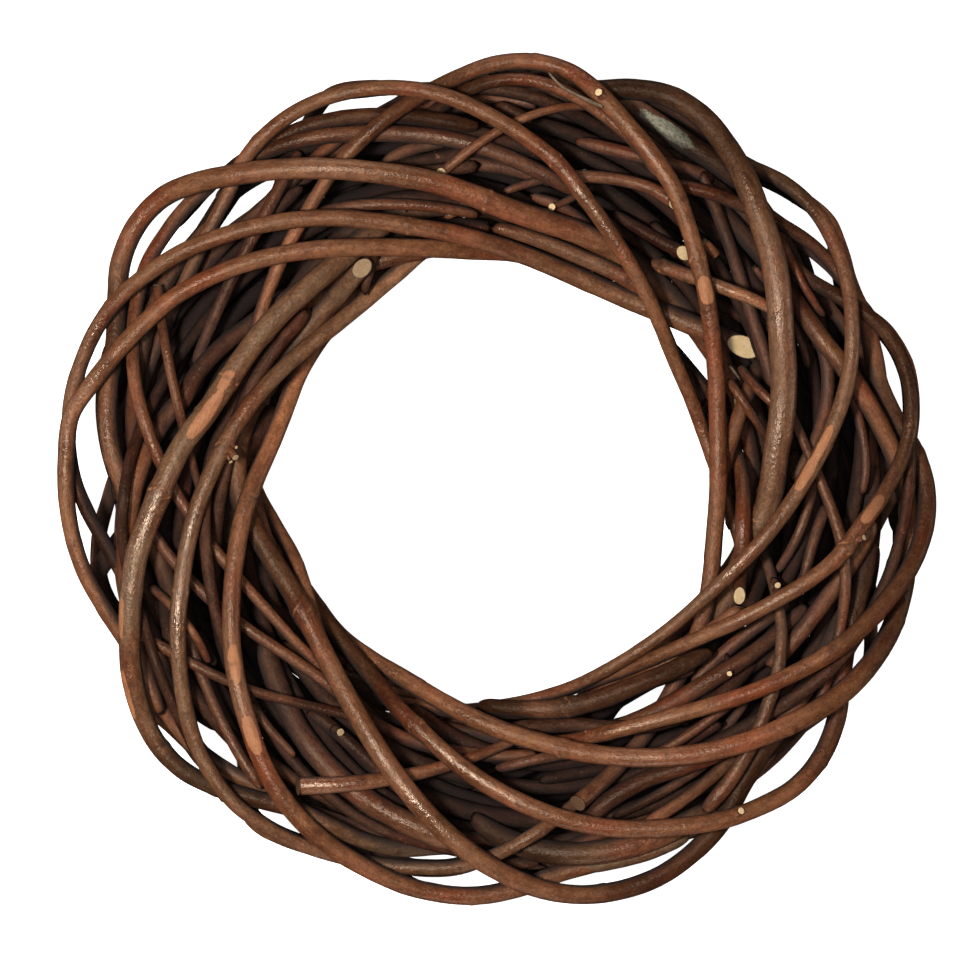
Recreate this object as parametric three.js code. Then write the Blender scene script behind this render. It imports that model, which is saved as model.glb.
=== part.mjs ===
// A wicker wreath of whole willow rods, lying flat. Millimetres, +Z up, the show side faces +Z.
// The origin is under the middle of the ring, on the surface it lies on.
import * as THREE from 'three';

// ---- driving dimensions ----
const WREATH_WIDTH = 351.9;       // widest, edge to edge, along X
const WREATH_DEPTH = 63.4;        // from the resting surface to the top of the highest rod
const NOMINAL_WIDTH = 351.9;      // the width that the routes below are written for
const NOMINAL_DEPTH = 63.4;       // the depth that the routes below are written for
const ROD_THICKNESS = 1.0;         // 1 = rods of 3.5 to 9.6 mm across, as measured
const ROD_SIDES = 6;               // flats round each rod, one of them facing straight down
const END_TAPER = 0.92;            // a rod's last ring is this much thinner than the one before

// ---- bark colours ----
const BARKS = {
  front: { color: 0x6a4027, roughness: 0.52 },
  inner: { color: 0x4f3021, roughness: 0.6 },
  back: { color: 0x432a1e, roughness: 0.62 },
};

// ---- the rods ----
// A route lists points along a rod's middle line, butt end first, each as [x, y, z, radius].
// Every rod is wound the same way round the ring: it starts at the hole, comes up over the
// face, runs out to the rim and dives under its neighbours there.
// cuts are the slopes of the knife cuts at the two ends: 0 is square to the rod, and a
// larger number turns the cut face further up.

// outer rods on the show side
const FRONT_RODS = [
  { name: 'front_rod_01', cuts: [0.9, 0.3], route: [[32.21, -129.15, 53.7, 3.4], [44.19, -119.16, 45.47, 3.41], [54.98, -108.04, 39.14, 3.42], [64.09, -95.29, 36.36, 3.43], [71.89, -81.49, 36.84, 3.45], [78.46, -67.37, 38.36, 3.46], [83.25, -52.41, 41.8, 3.47], [85.82, -37.08, 43.36, 3.48], [87.12, -21.45, 44.74, 3.49], [88.29, -5.78, 46.71, 3.5], [88.42, 9.94, 48.23, 3.51], [88.13, 25.47, 49.07, 3.52], [87.52, 40.82, 51.2, 3.53], [85.93, 56.13, 53.95, 3.54], [83.75, 71.43, 56.62, 3.55], [80.24, 86.62, 58.33, 3.56], [75.75, 101.62, 59.18, 3.57], [70.1, 116.23, 59.6, 3.57], [61.46, 129.31, 59.35, 3.59], [51.55, 141.5, 58.5, 3.6], [41.16, 153.13, 55.96, 3.56], [29.49, 162.46, 51.32, 3.49], [14.7, 166.87, 48.88, 3.41], [-0.89, 166.03, 48.37, 3.33], [-15.5, 160.69, 49.89, 3.26], [-29.57, 153.46, 52.02, 3.18], [-42.6, 144.99, 55.16, 3.09], [-54.49, 134.83, 54.15, 3.02], [-65.1, 123.47, 51.14, 2.94], [-73.84, 110.41, 49.35, 2.87], [-81.81, 96.8, 48.24, 2.79], [-88.54, 82.58, 47.56, 2.71], [-93.99, 68.12, 47.09, 2.64], [-98.11, 53.7, 45.9, 2.6]] },
  { name: 'front_rod_02', cuts: [0, 0], route: [[41.48, -94.94, 14.17, 2.41], [58.12, -85.25, 9.76, 2.49], [73.78, -76.32, 9.58, 2.58], [87.74, -67.24, 13.99, 2.68], [98.02, -57.2, 22.49, 2.8], [101.83, -44.16, 30.36, 2.81], [99.11, -28.64, 33.4, 2.85], [94.02, -13.09, 31.22, 2.89], [89.06, 2.29, 29.16, 2.91], [83.68, 17.47, 29.38, 2.94], [78.15, 32.16, 32.32, 2.98], [71.84, 46.8, 36.92, 3.02], [66.19, 60.43, 42.85, 3.06], [59.93, 73.91, 48.48, 3.1], [52.19, 87.41, 52.43, 3.13], [43.53, 100.59, 55.2, 3.17], [34.15, 113.43, 56.96, 3.21], [24.2, 125.91, 58.06, 3.25], [11.72, 135.88, 58.93, 3.3], [-1.9, 144.24, 59.65, 3.26], [-16.32, 151.05, 59.76, 3.22], [-31.74, 155.1, 58.77, 3.17], [-47.38, 156.08, 54.65, 3.14], [-63.07, 153.87, 51.31, 3.09], [-77.96, 148.08, 50.47, 3.04], [-91.1, 138.93, 50.17, 2.99], [-101.4, 127.1, 48.44, 2.95], [-108.27, 112.82, 45.32, 2.9], [-115.79, 98.63, 43.96, 2.85], [-122.53, 84.26, 42.3, 2.81], [-129.44, 69.87, 39.99, 2.8], [-135.75, 55.22, 36.78, 2.75], [-141.45, 40.36, 33.48, 2.67], [-145.56, 24.99, 30.32, 2.59], [-148.59, 9.31, 28.27, 2.53], [-150.58, -6.51, 27.67, 2.47], [-151.92, -22.16, 27.25, 2.41], [-151.55, -37.42, 27.68, 2.35], [-149.4, -52.41, 27.37, 2.3]] },
  { name: 'front_rod_03', cuts: [0, 0], route: [[98.09, 35.01, 15.17, 4.22], [89.58, 48.57, 20.62, 4.38], [80.37, 61.42, 25.15, 4.56], [70.06, 73.12, 29.28, 4.77], [58.75, 83.42, 34.23, 4.79], [46.42, 91.97, 39.93, 4.75], [33.09, 98.54, 45.42, 4.67], [18.48, 103.28, 49.76, 4.63], [3.76, 108.14, 53.32, 4.58], [-10.87, 113.76, 55.96, 4.54], [-26.02, 118.55, 57.6, 4.49], [-41.7, 121.36, 58.66, 4.44], [-57.55, 123.12, 59.28, 4.41], [-73.49, 123.82, 59.05, 4.39], [-89.39, 123.22, 57.62, 4.36], [-105.13, 121.32, 54.98, 4.32], [-120.08, 118.52, 49.52, 4.28], [-133.57, 113.12, 43.36, 4.22], [-144.52, 101.97, 39.68, 4.15], [-150.9, 87.45, 38.03, 4.1], [-152.45, 71.89, 38.19, 4.04], [-152.99, 55.78, 39.79, 3.99], [-155.25, 39.76, 41.91, 3.95], [-155.86, 23.82, 43.52, 3.91], [-153.4, 8.38, 44.5, 3.87], [-147.46, -6.24, 43.9, 3.84], [-140.32, -20.42, 42.6, 3.81], [-134.08, -35.14, 43.14, 3.8], [-128.24, -50.13, 42.91, 3.74], [-122.76, -65.31, 41.08, 3.63], [-117.19, -80.38, 39.09, 3.53], [-110.65, -94.9, 37.75, 3.44], [-102.65, -108.41, 35.5, 3.35], [-93.08, -120.7, 30.46, 3.27], [-82.29, -132.32, 27.8, 3.19], [-70.51, -143.42, 28.36, 3.12], [-57.9, -154.13, 30.89, 3.04]] },
  { name: 'front_rod_04', cuts: [1.8, 0.3], route: [[98.82, 53.29, 38.8, 4.4], [84.46, 59.47, 37.05, 4.29], [69.9, 65.64, 36.04, 4.22], [55.11, 71.36, 35.43, 4.12], [40.49, 77.68, 36.67, 4.05], [26.17, 83.86, 39.26, 3.97], [12.06, 89.45, 43.4, 3.88], [-2.43, 94.06, 47.83, 3.8], [-17.27, 98.22, 51.63, 3.74], [-32.64, 100.69, 54.42, 3.67], [-48.14, 102.82, 56.39, 3.61], [-63.79, 104.17, 57.6, 3.55], [-79.55, 103.49, 58.04, 3.49], [-95.13, 100.85, 57.75, 3.42], [-110.37, 96.65, 56.68, 3.37], [-125.03, 90.85, 54.76, 3.32], [-138.48, 82.74, 52.01, 3.26], [-150.46, 72.98, 48.35, 3.2], [-159.79, 61.11, 44.21, 3.15], [-166.57, 47.06, 40.74, 3.1], [-170.95, 32.03, 37.96, 3.04], [-171.91, 16.27, 36.25, 2.97], [-169.72, 0.68, 35.87, 2.94], [-163.94, -13.87, 36.39, 2.89], [-156.03, -27.66, 36.94, 2.84], [-148.41, -41.7, 36.35, 2.81], [-141.44, -55.98, 35.21, 2.8], [-133.45, -69.59, 34.2, 2.75], [-124.4, -82.33, 32.62, 2.67], [-114.03, -94.05, 30.87, 2.6], [-102.6, -104.93, 29.72, 2.53], [-90.96, -115.46, 27.12, 2.47], [-78.79, -125.13, 22.98, 2.41], [-65.7, -133.42, 18.29, 2.35], [-51.7, -140.42, 14.78, 2.3], [-36.83, -146.05, 12.91, 2.24], [-21.06, -150.1, 12.29, 2.18]] },
  { name: 'front_rod_05', cuts: [0, 0], route: [[95.96, 58.69, 11.13, 3.42], [80.45, 64.01, 12.1, 3.55], [65.2, 69.43, 14.74, 3.7], [50.29, 75, 18.56, 3.8], [35.56, 80.44, 23.36, 3.79], [21.73, 86.32, 29.11, 3.77], [7.91, 90.79, 35.32, 3.74], [-7.39, 91.7, 41.33, 3.72], [-22.5, 92.29, 46.9, 3.7], [-37.65, 92.52, 51.98, 3.68], [-53.3, 92.58, 55.78, 3.66], [-69.08, 91.89, 57.99, 3.64], [-84.83, 89.67, 58.74, 3.62], [-100.35, 85.86, 58.66, 3.59], [-115.22, 80.03, 58.09, 3.57], [-129.13, 72.22, 57.05, 3.54], [-141.13, 61.75, 55.35, 3.52], [-152.12, 50.31, 52.53, 3.51], [-161.96, 38.24, 48.74, 3.48], [-170.32, 25.61, 44.91, 3.45], [-172.44, 9.92, 43.01, 3.41], [-172.57, -6.12, 41.64, 3.37], [-170.33, -22.01, 40.49, 3.34], [-165.4, -37.29, 39, 3.3], [-157.91, -51.22, 36.95, 3.26], [-149.41, -64.82, 34.39, 3.22], [-141.71, -79.03, 32.78, 3.18], [-133.39, -92.94, 33.32, 3.14], [-123.43, -105.44, 34.35, 3.1], [-110.89, -115.01, 35.73, 3.06], [-96.98, -122.81, 37.16, 3.01], [-82.72, -130.01, 34.97, 3], [-67.91, -136.14, 33.76, 2.97], [-52.76, -141.24, 31.83, 2.88], [-37.35, -145.04, 27.98, 2.8], [-21.63, -147.45, 24.83, 2.72], [-5.72, -148.48, 22.89, 2.66], [10.2, -147.73, 21.53, 2.59], [25.96, -145.25, 20.13, 2.53], [41.44, -141.25, 17.94, 2.46], [56.64, -136.11, 15.14, 2.4], [71.65, -130.33, 11.95, 2.34], [86.69, -124.49, 8.98, 2.28]] },
  { name: 'front_rod_06', cuts: [0, 0], route: [[34.54, 101.39, 28.66, 4.05], [18.24, 105.8, 27.75, 4.19], [2.24, 108.89, 28.2, 4.34], [-13.34, 110.59, 30.81, 4.52], [-28.25, 109.65, 35.13, 4.6], [-42.02, 104.67, 40.09, 4.6], [-53.92, 95.53, 45.63, 4.6], [-65.36, 85.4, 50.52, 4.6], [-76.67, 75.53, 53.8, 4.6], [-87.84, 64.73, 55.57, 4.6], [-97.99, 52.74, 56.5, 4.6], [-106.93, 39.74, 57.43, 4.6], [-115.64, 26.61, 58.58, 4.6], [-125.03, 13.97, 59.31, 4.6], [-132.01, -0.16, 59.25, 4.6], [-138.04, -14.74, 58.97, 4.6], [-143.19, -29.56, 59.42, 4.6], [-145.56, -45.02, 58.98, 4.52], [-146.39, -60.6, 56.29, 4.42], [-146.05, -76.08, 51.65, 4.32], [-142.73, -91.1, 47.8, 4.18], [-136.28, -105.17, 44.66, 4.04], [-125.72, -116.4, 43.42, 3.89], [-111.7, -123.51, 43.36, 3.71], [-96.37, -127.89, 44.74, 3.56], [-81.01, -131.86, 47.79, 3.42], [-66.7, -138.43, 46.81, 3.29], [-52.67, -144.99, 41.18, 3.23], [-37.59, -148.29, 35.23, 3.21], [-21.77, -147.9, 31.3, 3.13], [-6.06, -148.45, 29.17, 3.04], [9.57, -148.47, 27.61, 2.96], [25.09, -147.41, 25.95, 2.89], [40.44, -144.92, 23.18, 2.82], [55.6, -141.04, 19.49, 2.75], [70.5, -135.86, 15.42, 2.69], [85.06, -129.18, 13.48, 2.62], [99.43, -121.25, 14.6, 2.56]] },
  { name: 'front_rod_07', cuts: [0, 0], route: [[48.43, 97.18, 22.48, 2.99], [32.27, 98.73, 21.38, 3.1], [16.28, 99.93, 22.53, 3.22], [0.5, 99.99, 24.98, 3.37], [-14.59, 97.81, 28.08, 3.4], [-28.5, 92.62, 31.91, 3.39], [-40.11, 82.64, 36.26, 3.38], [-52.15, 72.3, 41.22, 3.38], [-63.94, 62.3, 46.18, 3.37], [-76, 52.56, 49.08, 3.36], [-87.52, 42.26, 52.06, 3.35], [-97.82, 30.65, 54.8, 3.35], [-106.49, 17.63, 56.41, 3.34], [-113.45, 3.53, 57.27, 3.34], [-119.35, -11.05, 58.01, 3.33], [-123.24, -26.31, 58.25, 3.32], [-125.67, -41.91, 58.27, 3.32], [-127.07, -57.63, 57.83, 3.31], [-126.56, -73.39, 56.76, 3.3], [-124.57, -88.87, 54.92, 3.29], [-120.72, -103.93, 53.11, 3.24], [-113.75, -117.8, 51.63, 3.18], [-104.08, -130.07, 50.66, 3.12], [-91.31, -139.29, 48.02, 3.07], [-77.42, -146.32, 45.09, 3.02], [-62.37, -151.17, 42.64, 2.96], [-46.78, -154.48, 41.42, 2.91], [-30.95, -155.57, 42.17, 2.86], [-15.13, -154.86, 44.74, 2.81], [-0.58, -149.92, 50.18, 2.76], [12.65, -142.7, 53.93, 2.71], [25.5, -134.11, 50.82, 2.65], [37.08, -124.29, 42.82, 2.6]] },
  { name: 'front_rod_08', cuts: [0, 0], route: [[-32.47, 105.37, 14.93, 3.24], [-43.1, 92.92, 13.42, 3.37], [-53.46, 80.55, 14.66, 3.52], [-62.96, 67.87, 18.62, 3.6], [-72.24, 55.61, 24.66, 3.61], [-79.86, 42.32, 31.65, 3.63], [-85.25, 27.68, 38.46, 3.64], [-90.86, 13.21, 44.38, 3.65], [-96.73, -0.9, 49.36, 3.66], [-101.53, -15.73, 52.99, 3.68], [-104.32, -31.38, 55.35, 3.7], [-105.72, -47.29, 56.93, 3.71], [-105.66, -63.31, 57.95, 3.72], [-103.81, -79.25, 58.49, 3.73], [-99.76, -94.77, 58.48, 3.75], [-94.61, -109.99, 57.9, 3.77], [-87.23, -124.17, 56.85, 3.78], [-77.32, -136.67, 54.73, 3.8], [-65.37, -147.09, 51.45, 3.78], [-51.71, -155.44, 48.66, 3.76], [-37.22, -162.16, 46.16, 3.74], [-21.62, -165.97, 44.19, 3.73], [-5.82, -166.57, 42.58, 3.7], [9.67, -163.57, 41.32, 3.68], [24.79, -158.04, 40.39, 3.67], [40.48, -153.75, 39.27, 3.65], [56.19, -149.22, 37.98, 3.63], [71.1, -143.11, 35.78, 3.62], [84.98, -135.29, 33.26, 3.6], [96.62, -124.47, 32.83, 3.6], [106.75, -112.3, 30.34, 3.53], [116.11, -99.14, 28.41, 3.42], [124.5, -85.31, 26.13, 3.33], [132.27, -71.14, 23.25, 3.25], [139.44, -56.75, 20.53, 3.17], [145.81, -42.15, 18.29, 3.1], [150.76, -27.12, 16.64, 3.02], [154.47, -11.77, 15.29, 2.95]] },
  { name: 'front_rod_09', cuts: [0, 0], route: [[-82.47, 51.84, 19.26, 3.96], [-93.11, 37.97, 28.56, 4.12], [-100.79, 24.37, 37.55, 4.3], [-104.32, 10.19, 42.15, 4.4], [-103.46, -4.79, 42.8, 4.38], [-97.49, -19.19, 42.71, 4.34], [-89.46, -33.09, 43.57, 4.3], [-81.04, -46.71, 45.68, 4.26], [-73.55, -60.53, 48.38, 4.21], [-66.38, -74.58, 51.36, 4.17], [-58.84, -88.48, 54.33, 4.14], [-50.78, -102.15, 56.92, 4.1], [-42.04, -115.48, 58.92, 4.07], [-32.13, -128.05, 59.62, 4.04], [-21.19, -139.77, 59.37, 4.01], [-8.92, -150.04, 57.73, 4], [4.72, -158.25, 54.29, 4], [19.25, -163.95, 49.75, 4], [34.53, -166.14, 45.42, 4], [50.3, -164.24, 43.15, 4], [65.31, -158.67, 42.81, 4], [78.38, -149.39, 44.09, 4], [89.44, -137.66, 45.75, 4], [97.24, -123.56, 45.92, 4], [105.31, -109.73, 45.3, 4], [114.84, -96.88, 42.66, 4], [123.73, -83.55, 39.71, 3.92], [131.8, -69.8, 36.75, 3.81], [138.63, -55.39, 33.89, 3.7], [143.97, -40.29, 31.87, 3.61], [147.93, -24.66, 30.31, 3.52], [151.1, -8.85, 28.55, 3.44], [155.61, 6.21, 24.46, 3.36], [160.87, 20.59, 16.57, 3.28]] },
  { name: 'front_rod_10', cuts: [0, 0], route: [[-78.99, 75.53, 15.51, 2.92], [-86.05, 60.96, 14.72, 3.03], [-91.6, 45.81, 16.11, 3.15], [-95.49, 30.06, 19.64, 3.28], [-98.31, 14.15, 23.31, 3.4], [-99.01, -1.85, 28.71, 3.41], [-95.54, -17.54, 33.64, 3.42], [-89.3, -32.59, 32.41, 3.43], [-78.88, -45.72, 30.12, 3.44], [-68.2, -58.14, 32.92, 3.45], [-57.82, -69.94, 37.52, 3.46], [-48.15, -81.13, 43.45, 3.48], [-38.74, -92.27, 49.44, 3.49], [-27.41, -103.02, 53.71, 3.52], [-15.48, -113.54, 56.38, 3.54], [-2.18, -122.5, 57.71, 3.55], [12.15, -129.82, 58.1, 3.57], [27.24, -135.41, 57.96, 3.59], [42.99, -138.59, 57.61, 3.64], [59.04, -139.13, 57.18, 3.66], [74.95, -138.12, 56.76, 3.69], [90.54, -135.56, 54.77, 3.72], [105.37, -130.45, 50.03, 3.76], [119.18, -123, 45.65, 3.81], [129.86, -111.04, 42.5, 3.85], [135.87, -96.33, 41.12, 3.9], [137.91, -80.76, 41.06, 3.94], [140.17, -64.72, 41.72, 3.97], [144.35, -48.72, 41.03, 3.99], [148.3, -32.76, 39.14, 4], [150.34, -16.71, 37.5, 3.93], [150.48, -0.78, 35.24, 3.81], [148.93, 15.07, 31.86, 3.71], [146.75, 30.91, 27.46, 3.61], [144.57, 46.86, 22.65, 3.53], [142.11, 62.82, 17.13, 3.44], [139.71, 79.03, 12.58, 3.36], [136.29, 95.56, 11.04, 3.28]] },
  { name: 'front_rod_11', cuts: [0, 0], route: [[-115.04, 20.52, 9.31, 2.99], [-107.53, 5.92, 8.28, 3.1], [-99.62, -8.51, 8.87, 3.22], [-91.27, -22.67, 11.55, 3.36], [-82.75, -36.64, 15.29, 3.41], [-73.76, -49.75, 20.06, 3.44], [-64.28, -61.93, 25.85, 3.49], [-52.32, -71.19, 31.99, 3.55], [-38.64, -79.07, 38.17, 3.6], [-25.7, -86.84, 44.15, 3.65], [-12.17, -94.03, 49.32, 3.7], [2.23, -100.2, 53.41, 3.75], [17.38, -104.8, 55.47, 3.8], [32.84, -108.55, 56.62, 3.87], [48.69, -110.42, 57.39, 3.91], [64.69, -110.66, 58.14, 3.96], [80.6, -109.02, 58.93, 4.01], [96.16, -105.33, 59.84, 4.05], [111.18, -99.83, 59.18, 4.11], [125.61, -93, 55.78, 4.17], [138.67, -84.59, 51.09, 4.18], [149.62, -73.25, 46.31, 4.15], [157.96, -59.76, 41.7, 4.12], [162.83, -44.41, 38.13, 4.09], [164.81, -28.66, 36.15, 4.05], [164.99, -13.03, 36.23, 4.03], [161.93, 2.14, 39.36, 3.99], [156.18, 16.26, 43.23, 3.95], [148.62, 30.15, 46.52, 3.92], [139.79, 43.43, 48.5, 3.88], [130.04, 55.72, 49.2, 3.84], [121.22, 68.59, 47.15, 3.81], [112.38, 81.8, 44.6, 3.8], [102.23, 94.18, 41.4, 3.74], [91.49, 106.13, 38.59, 3.62], [80.19, 117.55, 36.57, 3.52], [68.32, 128.18, 37.89, 3.43], [56.21, 138.39, 40.68, 3.35], [43.41, 147.87, 39.81, 3.27], [30.43, 157.36, 35.63, 3.19], [17.03, 166.96, 31.61, 3.12]] },
  { name: 'front_rod_12', cuts: [0, 0], route: [[-33.52, -96.53, 29.18, 2.52], [-17.12, -100.53, 28.02, 2.62], [-1.33, -103.53, 30.38, 2.74], [13.84, -105.42, 35.85, 2.81], [28.37, -104.85, 44.49, 2.88], [42.55, -101.44, 52.33, 3], [57.57, -97.59, 56.3, 3.09], [72.82, -93.47, 58.11, 3.18], [88.17, -89.12, 58.57, 3.27], [103.32, -83.91, 58.58, 3.38], [117.94, -77.34, 58.15, 3.49], [131.97, -69.66, 57.11, 3.59], [144.44, -59.98, 55.01, 3.7], [155.29, -48.57, 51.26, 3.8], [164.69, -36.11, 46.69, 3.77], [170.7, -21.53, 42.87, 3.75], [172.22, -5.62, 39.78, 3.73], [168.44, 9.57, 38.05, 3.7], [160.3, 23.66, 38.49, 3.68], [153.39, 38.35, 40.85, 3.65], [149.91, 54.25, 39.78, 3.63], [145.4, 69.54, 38.28, 3.61], [137.53, 82.64, 36.8, 3.6], [126.7, 92.94, 32.91, 3.57], [113.75, 102.54, 28.41, 3.45], [100.46, 112.55, 24.7, 3.36], [86.98, 121.79, 21.61, 3.27], [73.05, 129.47, 17.73, 3.19], [58.41, 135.21, 12.98, 3.11], [43, 139.25, 8.92, 3.04], [27.02, 142.32, 7.85, 2.96], [10.73, 144.12, 7.15, 2.88], [-5.68, 144.87, 8.53, 2.81], [-22.17, 144.7, 11.85, 2.74]] },
  { name: 'front_rod_13', cuts: [0, 0], route: [[-47.63, -103.62, 18.65, 2.46], [-31.76, -100.92, 16.17, 2.55], [-16.2, -97.63, 15.85, 2.65], [-0.99, -93.71, 18.32, 2.76], [13.79, -89.21, 23.04, 2.81], [28.17, -84.61, 29.02, 2.83], [42.03, -79.69, 35.46, 2.87], [55.67, -74.47, 41.74, 2.9], [69.08, -68.58, 48.21, 2.94], [82.58, -62.4, 53.4, 2.98], [96.47, -56.04, 56.49, 3.01], [110.23, -48.69, 58.26, 3.05], [123.68, -40.62, 58.83, 3.09], [135.79, -30.72, 58.3, 3.14], [145.22, -18.14, 56.76, 3.18], [154.36, -5.45, 54.35, 3.17], [161.49, 8.14, 51.93, 3.12], [165.31, 22.77, 50.22, 3.08], [164.66, 38.18, 49.82, 3.02], [159.33, 52.91, 50.69, 2.97], [149.3, 64.67, 51.46, 2.91], [136, 73.22, 49.16, 2.85], [122.91, 81.64, 44.54, 2.81], [112.25, 92.93, 40.71, 2.8], [101.72, 104.54, 37.27, 2.74], [90.66, 115.61, 33.97, 2.66], [78.45, 125.46, 31.04, 2.59], [65.32, 134.1, 28.48, 2.53], [51.39, 141.5, 27.67, 2.47], [36.85, 147.75, 28.01, 2.41], [21.99, 153.26, 29, 2.35], [6.9, 158.06, 28.69, 2.29], [-8.38, 162.31, 26.78, 2.24]] },
  { name: 'front_rod_14', cuts: [0, 0], route: [[-64.61, -88.4, 7.69, 2.06], [-48.67, -91.05, 12.25, 2.14], [-32.65, -92.77, 15.87, 2.22], [-16.57, -93.21, 19.38, 2.32], [-0.6, -91.32, 24.28, 2.4], [15.23, -88.05, 30.22, 2.44], [30.65, -82.98, 36.88, 2.51], [44.9, -75.66, 43.35, 2.59], [58.22, -67.33, 46.89, 2.66], [70.8, -57.99, 49.66, 2.71], [82.47, -47.55, 52.96, 2.79], [93.85, -36.6, 56.99, 2.88], [104.89, -25.18, 58.81, 2.96], [114.8, -12.55, 58.54, 3.05], [123.42, 1.07, 58.25, 3.13], [130.99, 15.35, 58.06, 3.2], [137.15, 30.26, 58.07, 3.17], [140.76, 45.92, 58.02, 3.15], [141.39, 61.94, 57.74, 3.14], [139.8, 77.64, 55.33, 3.12], [135.2, 92.84, 51.65, 3.1], [127.56, 106.89, 47.51, 3.08], [116.25, 117.76, 43.56, 3.05], [102.11, 125.05, 40.2, 3.03], [86.66, 129.68, 37.22, 3.01], [71.46, 135.36, 34.84, 3], [56.01, 140.38, 33.69, 2.96], [40.33, 144.59, 33.49, 2.87], [24.49, 148.08, 32.81, 2.79], [8.55, 150.72, 30.15, 2.72], [-7.58, 152.11, 27.64, 2.65], [-23.6, 151.6, 23.14, 2.58], [-39.44, 149.41, 16.55, 2.52], [-55.4, 145.94, 13.1, 2.46], [-71.28, 141.19, 12.04, 2.4]] },
  { name: 'front_rod_15', cuts: [0, 0], route: [[61.07, -75.28, 19.63, 4.47], [74.25, -69.32, 26.88, 4.64], [85.39, -59.32, 32.61, 4.81], [93.54, -46.28, 37.9, 5.01], [99.28, -31.16, 42.49, 5.2], [105.63, -17.4, 46.34, 5.2], [109.45, -4.13, 51.2, 5.2], [111.47, 11.04, 55.1, 5.2], [113.6, 26.67, 57.6, 5.2], [114.19, 42.48, 58.51, 5.2], [113.15, 58.31, 58.8, 5.2], [112.09, 74.14, 58.81, 5.2], [109.3, 89.73, 58.52, 5.2], [104.43, 104.78, 58.54, 5.2], [98.92, 119.42, 56.37, 5.08], [91.34, 132.98, 52.83, 4.87], [81.64, 144.96, 50.45, 4.68], [68.46, 153.16, 48.76, 4.5], [53.18, 155.99, 47.55, 4.33], [37.35, 155.12, 46.12, 4.15], [21.75, 153.62, 40.65, 4.04], [5.95, 152.49, 36.85, 4.01], [-9.99, 151.05, 34.43, 3.92], [-25.86, 149.49, 31.82, 3.8], [-41.54, 146.66, 29.45, 3.7], [-56.76, 142.14, 25.91, 3.61], [-71.65, 136.87, 21.06, 3.52], [-86.07, 130.32, 17.05, 3.44], [-100.09, 122.26, 16.89, 3.36], [-113.76, 113.02, 19.57, 3.28]] },
];

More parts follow.
